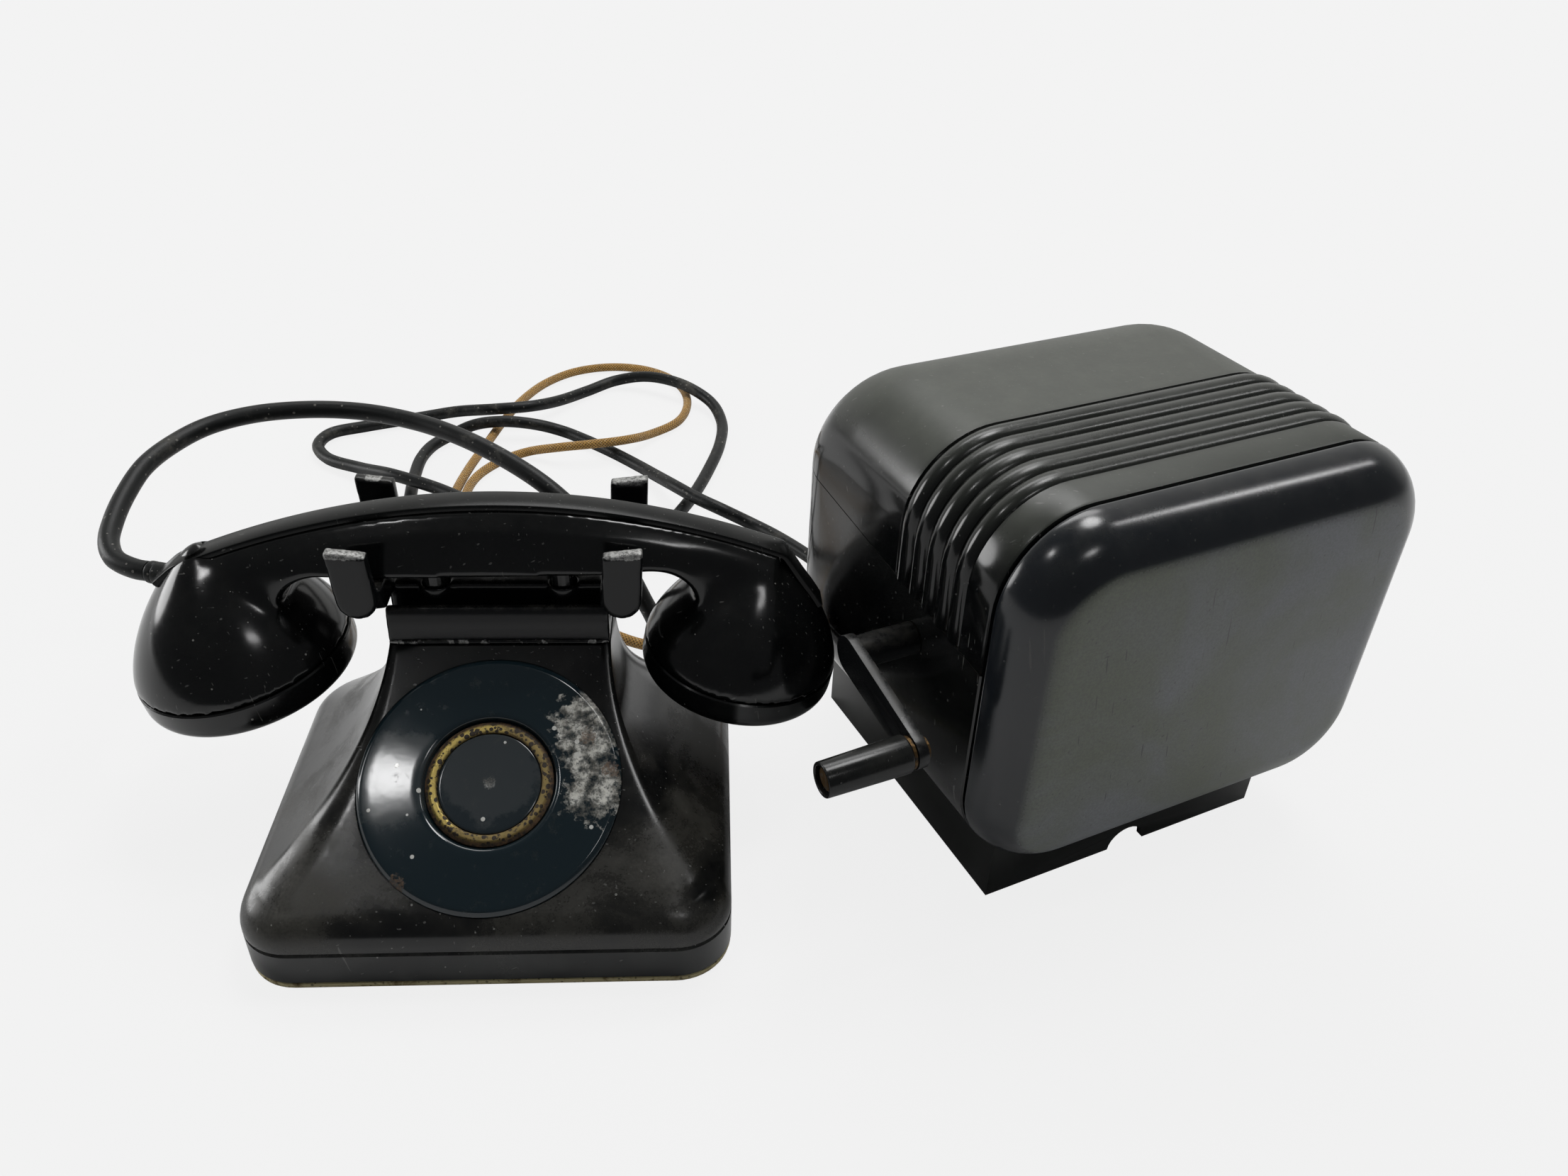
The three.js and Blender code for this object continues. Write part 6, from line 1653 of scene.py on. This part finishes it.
@dataclass
class Cradle:
    """The cast cradle with its prongs, and the bead along its foot.

    The bare places and the nicks are points of the part, each with a radius.
    """

    edge: float = 1.4
    voxel: float = 0.55
    rounds: int = 22
    bare: tuple[Spot, ...] = (((-43.3, 11.7, 116.6), 8.5), ((43.3, 11.7, 116.6), 8.5),
                              ((43.3, 55.3, 118.6), 8), ((-43.3, 55.3, 118.6), 3.5))
    bare_flat: float = 4.5
    nicks: tuple[Spot, ...] = (((-35, 18, 76), 1.7), ((-12, 18, 76), 1.7), ((31, 18, 76), 1.7))
    bead_half: float = 36.6
    bead_y: float = 18.5
    bead_z: float = 76.1
    bead_size: float = 0.8
    bead_steps: int = 12
    bead_sides: int = 12

    def casting(self) -> Piece:
        """Soften the casting's edges.

        Returns:
            The casting.
        """
        casting = from_node("cradle_casting", "cradle")
        soften(casting, self.edge, 2)
        melt(casting, self.voxel, self.rounds)
        return smooth(casting, 180)

    def bead(self) -> Piece:
        """Model the thin bead along the foot of the saddle's front, tapered at its ends.

        Returns:
            The bead.
        """
        rings = []
        for i in range(-self.bead_steps, self.bead_steps + 1):
            share = i / self.bead_steps
            taper = min(1.0, (1 - abs(share)) * 12 + 0.45)
            rings.append([(self.bead_half * share, self.bead_y - y, self.bead_z + z)
                          for y, z in circle(taper * self.bead_size, self.bead_sides)])
        return smooth(lay("saddle_bead", rings, PART, End.FLAT, End.FLAT), 60)

    def build(self) -> None:
        """Build the casting and the bead and dress them in chipped paint; the bead's heavy chipping
        is partly a painted highlight line.
        """
        paint = ChippedPaint("cradle_paint", patches=self.bare, flat=self.bare_flat)
        dress(self.casting(), paint, ROOT, ["cradle"])
        # Many bare chips on the bead: partly real nicks, partly a painted highlight line along it.
        nicked_and_highlit = ChippedPaint("bead_paint_and_highlight", patches=self.nicks, chips=0.16)
        dress(self.bead(), nicked_and_highlit, ROOT)


# Handset


@dataclass
class Lobe:
    """One end of the handset."""

    side: int
    x: float
    z: float
    radius: float
    tail: int
    height: float = 43
    tilt: float = math.radians(10)

    def place(self) -> Place:
        """Return the lobe's place, with its middle on the seam and Z up its axis."""
        turn = Matrix.Rotation(self.side * self.tilt, 4, "Y")
        return Place(Matrix.Translation((self.side * self.x, 0, self.z)) @ turn).within(HANDSET)

    def radius_at(self, h: float) -> float:
        """Return the lobe's radius at a height over its seam."""
        return self.radius * (1 - (h / self.height) ** 1.42) ** 0.78

    def bell(self, steps: int = 30) -> Piece:
        """Model the lobe as a bell over its seam.

        Args:
            steps: Rings from the seam to the crown.

        Returns:
            The bell.
        """
        heights = [self.height * math.sin(QUARTER * i / steps) for i in range(1, steps)]
        profile = [(0.0, 0.0), (self.radius, 0.0), *((self.radius_at(h), h) for h in heights),
                   (0.0, self.height)]
        return turned("lobe", profile, self.place(), 96)


@dataclass
class Handset:
    """The handset: shell, strip, caps and sleeve.

    The pairs of the join and the shoulder say where the softening starts and is full.
    """

    bottom: float = 101
    top: float = 123.6
    drop: float = 19.76
    reach: float = 97
    half_depth: float = 15.2
    top_half: float = 5.6
    bevel: float = 4.6
    edge: float = 2.6
    fillet: float = 15
    fillet_x: float = 54
    fillet_steps: int = 12
    station: float = 3.0
    outer_stations: tuple[float, ...] = (74, 79, 84, 89, 93)
    voxel: float = 0.9
    rounds: int = 8
    join_rounds: int = 110
    join_inner: Flat = (40, 58)
    join_outer: Flat = (100, 90)
    join_depth: Flat = (5, 10)
    join_height: Flat = (70, 80)
    shoulder_x: Flat = (58, 72)
    shoulder_y: Flat = (5.5, 8.5)
    strip_half: float = 4.8
    strip_thickness: float = 1.9
    strip_steps: int = 24
    strip_bend: float = 2.2
    channel_margin: float = 0.3
    tail_top: float = 9.6
    tail_step: float = 4.7
    seam: float = 0.4
    cap_height: float = 13
    cap_edge: float = 7
    cap_dish: float = 1.2
    hole: float = 1.8
    hole_circle: float = 14
    sleeve_height: float = 27
    sleeve_turn: float = math.radians(162)
    sleeve_radius: float = 3.9
    sleeve_start: float = 15
    sleeve_end: float = 24

    def __post_init__(self) -> None:
        """Set the two lobes."""
        self.transmitter = Lobe(-1, 88, 65, 36.6, 1)
        self.receiver = Lobe(1, 84.5, 62, 34.6, 3)
        self.lobes = (self.transmitter, self.receiver)

    def top_at(self, x: float) -> float:
        """Return the height of the handle's top."""
        return self.top - self.drop * (x / self.reach) ** 2

    def bottom_at(self, x: float) -> float:
        """Return the height of the handle's underside, which bends down at each end."""
        past = min(max(abs(x) - self.fillet_x, 0), self.fillet)
        return self.bottom - self.fillet + math.sqrt(self.fillet ** 2 - past ** 2)

    def section(self, x: float) -> Ring:
        """Draw the handle's outline.

        Args:
            x: The place along the handle.

        Returns:
            The outline's points.
        """
        top = self.top_at(x) - self.strip_thickness - self.seam
        low, half, narrow = self.bottom_at(x), self.half_depth, self.top_half
        return [(x, -half, low + self.edge), (x, -half + 0.8, low + 0.8),
                (x, -half + self.edge, low), (x, half - self.edge, low),
                (x, half - 0.8, low + 0.8), (x, half, low + self.edge),
                (x, narrow + self.bevel, top - self.bevel), (x, narrow, top),
                (x, -narrow, top), (x, -narrow - self.bevel, top - self.bevel)]

    def handle(self) -> Piece:
        """Model the handle alone, with closer sections where its underside bends.

        Returns:
            The handle.
        """
        stations = [i * self.station for i in range(1, round(self.fillet_x / self.station) + 1)]
        stations += [self.fillet_x + self.fillet * math.sin(QUARTER * i / self.fillet_steps)
                     for i in range(1, self.fillet_steps + 1)]
        stations += [*self.outer_stations, self.reach]
        places = [*(-x for x in reversed(stations)), 0.0, *stations]
        return lay("handset_moulding", [self.section(x) for x in places], HANDSET, End.FLAT,
                   End.FLAT)

    def body(self) -> Piece:
        """Model the shell: handle and lobes grown together with soft fillets.

        Returns:
            The shell.
        """
        handle = self.handle()
        parts = [handle, *(lobe.bell() for lobe in self.lobes)]
        bpy.ops.object.select_all(action="DESELECT")
        for part in parts:
            part.select_set(True)
        bpy.context.view_layer.objects.active = handle
        bpy.ops.object.join()
        melt(handle, self.voxel, self.rounds)
        self.mark_joins(handle)
        apply(handle, "SMOOTH", factor=0.5, iterations=self.join_rounds, vertex_group="join")
        for lobe in self.lobes:
            below = plug(lobe.radius + 9, -9, 0.35)
            cut(handle, turned("below", below, lobe.place(), 64))
        cut(handle, self.sweep("channel", self.channel_margin, 1.2))
        return smooth(handle, 45)

    def mark_joins(self, handle: Piece) -> None:
        """Weight the vertices where the handle runs out into its lobes.

        Args:
            handle: The handle with its lobes.
        """
        group = handle.vertex_groups.new(name="join")
        inverse = HANDSET.matrix.inverted()
        for vertex in handle.data.vertices:
            x, y, z = inverse @ (vertex.co / MM)
            out = fade(abs(x), *self.join_inner) * fade(abs(x), *self.join_outer)
            under = fade(self.top_at(x) - z, *self.join_depth)
            shoulder = fade(abs(x), *self.shoulder_x) * fade(abs(y), *self.shoulder_y)
            share = out * max(under, shoulder) * fade(z, *self.join_height)
            group.add([vertex.index], share, "REPLACE")

    def half_path(self, lobe: Lobe) -> list[Flat]:
        """Draw half of the strip's line, from the middle outwards and down the lobe.

        Args:
            lobe: The lobe that it runs to.

        Returns:
            The line's points.
        """
        reach = lobe.x + self.fillet
        spots = [reach * i / self.strip_steps for i in range(1, self.strip_steps + 1)]
        points = [(lobe.side * x, self.top_at(x)) for x in spots]
        for i in range(lobe.tail):
            h = lobe.height - self.tail_top - self.tail_step * i
            radius = lobe.radius_at(h) + self.strip_thickness + self.seam
            x = lobe.x + h * math.sin(lobe.tilt) + radius * math.cos(lobe.tilt)
            z = lobe.z + h * math.cos(lobe.tilt) - radius * math.sin(lobe.tilt)
            points.append((lobe.side * x, z))
        return points

    def sweep(self, name: str, margin: float, raised: float) -> Piece:
        """Model the strip, or with a margin the channel that it lies in.

        Args:
            name: The piece's name.
            margin: How much wider and deeper than the strip it is.
            raised: How far it stands over the strip's top.

        Returns:
            The strip or the channel.
        """
        path = [*reversed(self.half_path(self.transmitter)), (0, self.top),
                *self.half_path(self.receiver)]
        path = rounded(path, self.strip_bend, 3)
        low, wide = -self.strip_thickness - margin, self.strip_half + margin
        profile = ((-wide, low), (wide, low), (wide, raised - 0.7), (wide - 0.25, raised - 0.2),
                   (wide - 0.8, raised), (-wide + 0.8, raised), (-wide + 0.25, raised - 0.2),
                   (-wide, raised - 0.7))
        rings = []
        for i, (x, z) in enumerate(path):
            before, after = path[max(i - 1, 0)], path[min(i + 1, len(path) - 1)]
            length = math.hypot(after[0] - before[0], after[1] - before[1])
            nx, nz = -(after[1] - before[1]) / length, (after[0] - before[0]) / length
            rings.append([(x + nx * out, y, z + nz * out) for y, out in profile])
        return lay(name, rings, HANDSET, End.FLAT, End.FLAT)

    def cap(self, name: str, lobe: Lobe) -> Piece:
        """Model a screwed cap with its rounded edge and sound holes.

        Args:
            name: The piece's name.
            lobe: The lobe that it closes.

        Returns:
            The cap.
        """
        r, low, edge = lobe.radius, -self.cap_height, self.cap_edge
        profile = [(0.0, low + self.cap_dish), (r - edge - 2, low)]
        profile += [(r - edge + edge * math.sin(QUARTER * i / 10),
                     low + edge - edge * math.cos(QUARTER * i / 10)) for i in range(11)]
        profile += [(r, -self.seam - 0.5), (r - 0.5, -self.seam), (0.0, -self.seam)]
        cap = turned(name, profile, lobe.place(), 96)
        for x, y in ((0.0, 0.0), *circle(self.hole_circle, 6)):
            own = Place.at(x, y, 0).within(lobe.place())
            cut(cap, turned("hole", plug(self.hole, low - 2, low + 4), own, 20))
        return smooth(cap, 40)

    def sleeve(self) -> Piece:
        """Model the grooved rubber sleeve where the cord leaves the transmitter.

        Returns:
            The sleeve.
        """
        lobe = self.transmitter
        x = -lobe.x - self.sleeve_height * math.sin(lobe.tilt)
        z = lobe.z + self.sleeve_height * math.cos(lobe.tilt)
        turn = Matrix.Rotation(self.sleeve_turn, 4, "Z") @ Matrix.Rotation(QUARTER, 4, "Y")
        place = Place(Matrix.Translation((x, 0, z)) @ turn).within(HANDSET)
        r, start, end = self.sleeve_radius, self.sleeve_start, self.sleeve_end
        profile = [(0, start), (r, start), (r, end - 3), (r - 0.2, end - 2.6), (r, end - 2.2),
                   (r, end - 0.6), (r - 0.3, end), (0, end)]
        return smooth(turned("sleeve_rubber", rounded(profile, 0.3, 2), place, 40), 50)

    def build(self) -> None:
        """Build and dress the handset."""
        black = Bakelite("handset_bakelite", gloss=0.11, haze=0.08, dust=0.05, speck=0.6,
                         dull=0.5, haze_colour=(0.03, 0.031, 0.03))
        matt = Bakelite("strip_bakelite", gloss=0.2, haze=0.08, dust=0.04, speck=0.3, shine=0.16)
        dress(self.body(), black, "handset", ["handset_shell"])
        strip = smooth(self.sweep("strip_moulding", 0, 0), 40)
        dress(strip, matt, "handset", ["handset_strip"])
        for name, node, lobe in (("cap_transmitter", "transmitter_cap", self.transmitter),
                                 ("cap_receiver", "receiver_cap", self.receiver)):
            dress(self.cap(name, lobe), black, "handset", [node])
        dress(self.sleeve(), RUBBER, "handset", ["handset_sleeve"])


# Magneto box


@dataclass
class Box:
    """The magneto box: plinth, lower body, beaded lid and front cover.

    The haze on the cover lies where it looks along facing and is partly a real film, partly
    painted light on its front. The plinth's worn places are points of the box, each with a radius.
    """

    left: float = -17.5
    right: float = 141
    bottom: float = 25.5
    top: float = 157.5
    rear: float = 130
    corner: float = 31
    corner_steps: int = 14
    rear_round: float = 24
    rear_crown: float = 42
    rear_steps: int = 20
    wall: float = 3.2
    seam_front: float = 104
    seam_rear: float = 116
    seam: float = 0.4
    band: float = 13
    beads: int = 5
    pitch: float = 7.6
    bead_share: float = 0.96
    bead_height: float = 2.1
    bead_fullness: float = 0.6
    bead_steps: int = 12
    groove: float = 1.1
    cover_gap: float = 1
    cover_wall: float = 3
    cover_round: float = 18
    cover_steps: int = 18
    cover_shares: tuple[float, ...] = (0.12, 0.25, 0.4, 0.55, 0.7, 0.85, 0.93)
    crown: float = 1.2
    rim_outer: float = 3.5
    rim_inner: float = 5.5
    rim_front: float = -3
    rim_back: float = 6
    plinth_edge: float = 0.7
    # The way that the cover's film looks; the film is partly real and partly painted light on the
    # front.
    film_and_light_facing: Point = (0, -0.978, -0.208)
    worn: tuple[Spot, ...] = (((2, 7, 0), 2.4), ((2, 6, 25), 1.4), ((40, 6, 0), 1.6))

    def __post_init__(self) -> None:
        """Work out the box's middle and the stretch that its beads take."""
        self.mid_x = (self.left + self.right) / 2
        self.mid_z = (self.bottom + self.top) / 2
        self.beads_end = self.band + self.beads * self.pitch

    def draw_in(self, y: float, radius: float) -> float:
        """Return how far the outline has drawn in on its way to the rear face."""
        past = min(max(y - (self.rear - radius), 0), radius)
        return radius - math.sqrt(radius ** 2 - past ** 2)

    def ring(self, y: float, inset: float) -> Ring:
        """Draw the box's upright outline.

        Args:
            y: The depth that it stands at.
            inset: How far it is shrunk on every side.

        Returns:
            The outline's points.
        """
        side = inset + self.draw_in(y, self.rear_round)
        top = inset + self.draw_in(y, self.rear_crown)
        corner = max(self.corner - (inset + side) / 2, 2)
        half, tall = (self.right - self.left) / 2, (self.top - self.bottom) / 2
        outline = oblong(half - side, -tall + side, tall - top, corner, corner,
                         self.corner_steps)
        return [(self.mid_x + x, y, self.mid_z + z) for x, z in outline]

    def back(self) -> list[Ring]:
        """Draw the rounded rear.

        Returns:
            Its rings.
        """
        turns = [QUARTER * i / self.rear_steps for i in range(self.rear_steps + 1)]
        start = self.rear - self.rear_crown
        return [self.ring(start + self.rear_crown * math.sin(turn), 0) for turn in turns]

    def halve(self, obj: Piece, keep_top: bool) -> None:
        """Cut a skin along the sloping seam and keep one side.

        Args:
            obj: The skin.
            keep_top: Whether the side over the seam is kept.
        """
        slope = math.atan2(self.seam_rear - self.seam_front, self.rear)
        shift = self.seam / 2 if keep_top else -self.seam / 2
        point = BOX.metres((0, 0, self.seam_front + shift))
        normal = BOX.way((0, -math.sin(slope), math.cos(slope)))
        edit(obj, lambda: bpy.ops.mesh.bisect(plane_co=point, plane_no=normal,
                                              clear_inner=keep_top, clear_outer=not keep_top))

    def beaded(self) -> list[Ring]:
        """Draw the beads, with a groove between each two.

        Returns:
            Their rings.
        """
        rings = []
        for i in range(self.beads):
            for j in range(self.bead_steps + 1):
                across = j / self.bead_steps
                bow = math.sin(math.pi * across) ** self.bead_fullness
                y = self.band + (i + (1 - self.bead_share) / 2 + self.bead_share * across
                                 ) * self.pitch
                rings.append(self.ring(y, self.groove - self.bead_height * bow))
        return rings

    def lid(self) -> Piece:
        """Model the lid: a flat band, half-round beads and a plain rear.

        Returns:
            The lid.
        """
        front = [self.ring(0, 1.4), self.ring(0.3, 0.5), self.ring(1.1, 0),
                 self.ring(self.band - 0.5, 0)]
        rings = [*front, *self.beaded(), self.ring(self.beads_end + 0.4, 0), *self.back()]
        lid = lay("lid_moulding", rings, BOX, End.OPEN, End.FLAT)
        self.halve(lid, True)
        thicken(lid, self.wall)
        return smooth(lid, 32)

    def lower(self) -> Piece:
        """Model the lower body.

        Returns:
            The body.
        """
        rings = [self.ring(0, 0.6), self.ring(0.5, 0), *self.back()]
        body = lay("body_moulding", rings, BOX, End.OPEN, End.FLAT)
        self.halve(body, False)
        thicken(body, self.wall)
        return smooth(body, 32)

    def cover(self) -> Piece:
        """Model the front cover: a cushion with a slightly crowned face.

        Returns:
            The cover.
        """
        back = -self.cover_gap
        face = self.ring(back - self.cover_round, self.cover_round)
        rings = []
        for share in self.cover_shares:
            bow = self.crown * (1 - share ** 2)
            rings.append([(self.mid_x + (x - self.mid_x) * share, y - bow,
                           self.mid_z + (z - self.mid_z) * share) for x, y, z in face])
        for i in range(self.cover_steps, 0, -1):
            angle = QUARTER * i / self.cover_steps
            rings.append(self.ring(back - self.cover_round * math.sin(angle),
                                   self.cover_round * (1 - math.cos(angle))))
        rings += [self.ring(back - 0.9, 0.1), self.ring(back - 0.3, 0.5), self.ring(back, 1.3)]
        cover = lay("cover_moulding", rings, BOX, End.FLAT, End.OPEN)
        thicken(cover, self.cover_wall)
        return smooth(cover, 35)

    def spigot(self) -> Piece:
        """Model the cover's inner rim that fits into the box.

        Returns:
            The rim.
        """
        front, back = self.rim_front, self.rim_back
        rings = [self.ring(front, self.rim_outer), self.ring(back, self.rim_outer),
                 self.ring(back, self.rim_inner), self.ring(front, self.rim_inner)]
        return smooth(lay("cover_rim", rings, BOX, closed=True), 35)

    def plinth(self) -> Piece:
        """Model the plinth with softened edges.

        Returns:
            The plinth.
        """
        plinth = from_node("plinth_casting", "box_plinth")
        soften(plinth, self.plinth_edge)
        return smooth(plinth, 40)

    def lid_finish(self) -> Bakelite:
        """Choose the lid's finish: even dust, wiped nearly clean over the beads.

        Returns:
            The finish.
        """
        back = BOX.way((0, 1, 0))
        start, end = (back.dot(BOX.metres((0, edge, 0))) for edge in (
            self.band, self.beads_end + 1))
        return Bakelite("lid_bakelite", gloss=0.09, dull=0.4, haze=0.2, haze_size=60,
                        haze_colour=(0.02, 0.021, 0.02), dust=0.75, dust_even=0.75,
                        dust_colour=(0.075, 0.081, 0.066), swept=(tuple(back), start, end),
                        speck=0.15)

    def cover_finish(self) -> Bakelite:
        """Choose the cover's finish: a grey film in two tones on its front, partly real and partly
        painted light.

        Returns:
            The finish.
        """
        # The pale film colours are partly painted light on the cover's front.
        return Bakelite("cover_bakelite_and_painted_light", colour=(0.008, 0.010, 0.0125), gloss=0.15, dull=0.42,
                        shine=0.5, haze=0.96, haze_size=62, haze_colour=(0.108, 0.121, 0.086),
                        film_and_light_facing=tuple(BOX.way(self.film_and_light_facing)), second_film_and_light_colour=(0.150, 0.159, 0.172),
                        dust=0.1, speck=0.12, scratch=0.8, scratch_colour=(0.03, 0.031, 0.029))

    def build(self) -> None:
        """Build and dress the box's mouldings."""
        clean = Bakelite("body_bakelite", haze=0.15, dust=0.3, speck=0.3, gloss=0.09)
        dress(self.lid(), self.lid_finish(), ROOT, ["box_lid"])
        dress(self.lower(), clean, ROOT, ["box_body"])
        dress(self.cover(), self.cover_finish(), "front_cover", ["box_cover"])
        dress(self.spigot(), PLAIN_BLACK, "front_cover")
        worn = tuple((tuple(BOX.matrix @ Vector(point)), radius) for point, radius in self.worn)
        paint = ChippedPaint("plinth_paint", colour=(0.002, 0.003, 0.002), gloss=0.3, chips=0.0,
                             patches=worn, bare=(0.6, 0.6, 0.58))
        dress(self.plinth(), paint, ROOT, ["box_plinth"])


@dataclass
class Crank:
    """The crank: arm, boss and grip."""

    x: float = -40
    y: float = 37.5
    z: float = 92.5
    drop: float = math.radians(9.5)
    length: float = 41.5
    arm_edge: float = 0.6
    near: float = -3.3
    grip_length: float = 28
    grip_radius: float = 6
    grip_bore: float = 2.3
    grip_edge: float = 0.7
    taper: float = 0.5
    hollow: float = 4.4
    hollow_depth: float = 3

    def grip_place(self) -> Place:
        """Work out where the grip is.

        Returns:
            A place whose Z runs along the grip's pin.
        """
        crank = Place.at(self.x, self.y, self.z, 0, self.drop).within(BOX)
        turn = Matrix.Translation((0, -self.length, 0)) @ Matrix.Rotation(QUARTER, 4, "Y")
        return Place(turn).within(crank)

    def arm(self) -> Piece:
        """Model the flat arm with its two round ends, the boss and the shaft.

        Returns:
            The arm.
        """
        arm = from_node("arm_forging", "crank_arm")
        soften(arm, self.arm_edge)
        return smooth(arm, 40)

    def grip(self) -> Piece:
        """Model the grip, rounded at both ends and hollow at its outer end.

        Returns:
            The grip.
        """
        far, floor = self.near - self.grip_length, self.near - self.grip_length + self.hollow_depth
        profile = [(self.grip_bore, self.near), (self.grip_radius, self.near),
                   (self.grip_radius - self.taper, far), (self.hollow, far),
                   (self.hollow, floor), (self.grip_bore, floor)]
        grip = turned("grip_moulding", rounded(profile, self.grip_edge), self.grip_place(), 64)
        return smooth(grip, 45)

    def build(self) -> None:
        """Build and dress the crank."""
        paint = ChippedPaint("crank_paint", gloss=0.25, chips=0.03)
        black = Bakelite("grip_bakelite", gloss=0.17, haze=0.15, dust=0.1, shine=0.3)
        dress(self.arm(), paint, "crank", ["crank_arm"])
        dress(self.grip(), black, "grip", ["crank_grip"])


# Nodes that keep their own shape


@dataclass
class KeptNodes:
    """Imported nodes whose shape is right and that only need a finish."""

    finishes: dict[Finish, str] = field(default_factory=lambda: {
        BRONZE: "grip_washer grip_pin crank_bush",
        BRASS: "drive_gear generator_plate_left generator_plate_right switch_springs",
        STEEL: "armature generator_base cell_tray chassis gong_left gong_right ringer_frame "
               "clapper switch_bracket switch_lever",
        MAGNET: "magnet_1 magnet_2",
        PAPER: "dry_cell_front dry_cell_rear",
        FIBRE: "terminal_board terminal_block",
        ZINC: "transmitter_capsule receiver_capsule capacitor",
        COPPER: "ringer_coil_left ringer_coil_right induction_coil",
        PLAIN_BLACK: "hook_plunger_left hook_plunger_right",
        RUBBER: "phone_gland_1 phone_gland_2 phone_gland_3 phone_gland_4 box_gland_1 "
                "box_gland_2 box_gland_3",
    })

    def build(self) -> None:
        """Give each node its finish."""
        count = 0
        for finish, nodes in self.finishes.items():
            for node in nodes.split():
                materials = bpy.data.objects[node].data.materials
                materials.clear()
                materials.append(FINISHES.of(finish))
                count += 1
        LOG.info("%d packed nodes dressed", count)


def main() -> None:
    """Build the camera, the cords and every sub-assembly in order."""
    logging.basicConfig(level=logging.INFO, format="%(name)s: %(message)s")
    bpy.context.scene.view_settings.view_transform = "Standard"
    Studio().build()
    CordSet().build()
    desk = Desk()
    desk.build()
    DialBlank(desk.face()).build()
    Cradle().build()
    Handset().build()
    Box().build()
    Crank().build()
    KeptNodes().build()


if __name__ == "__main__":
    main()
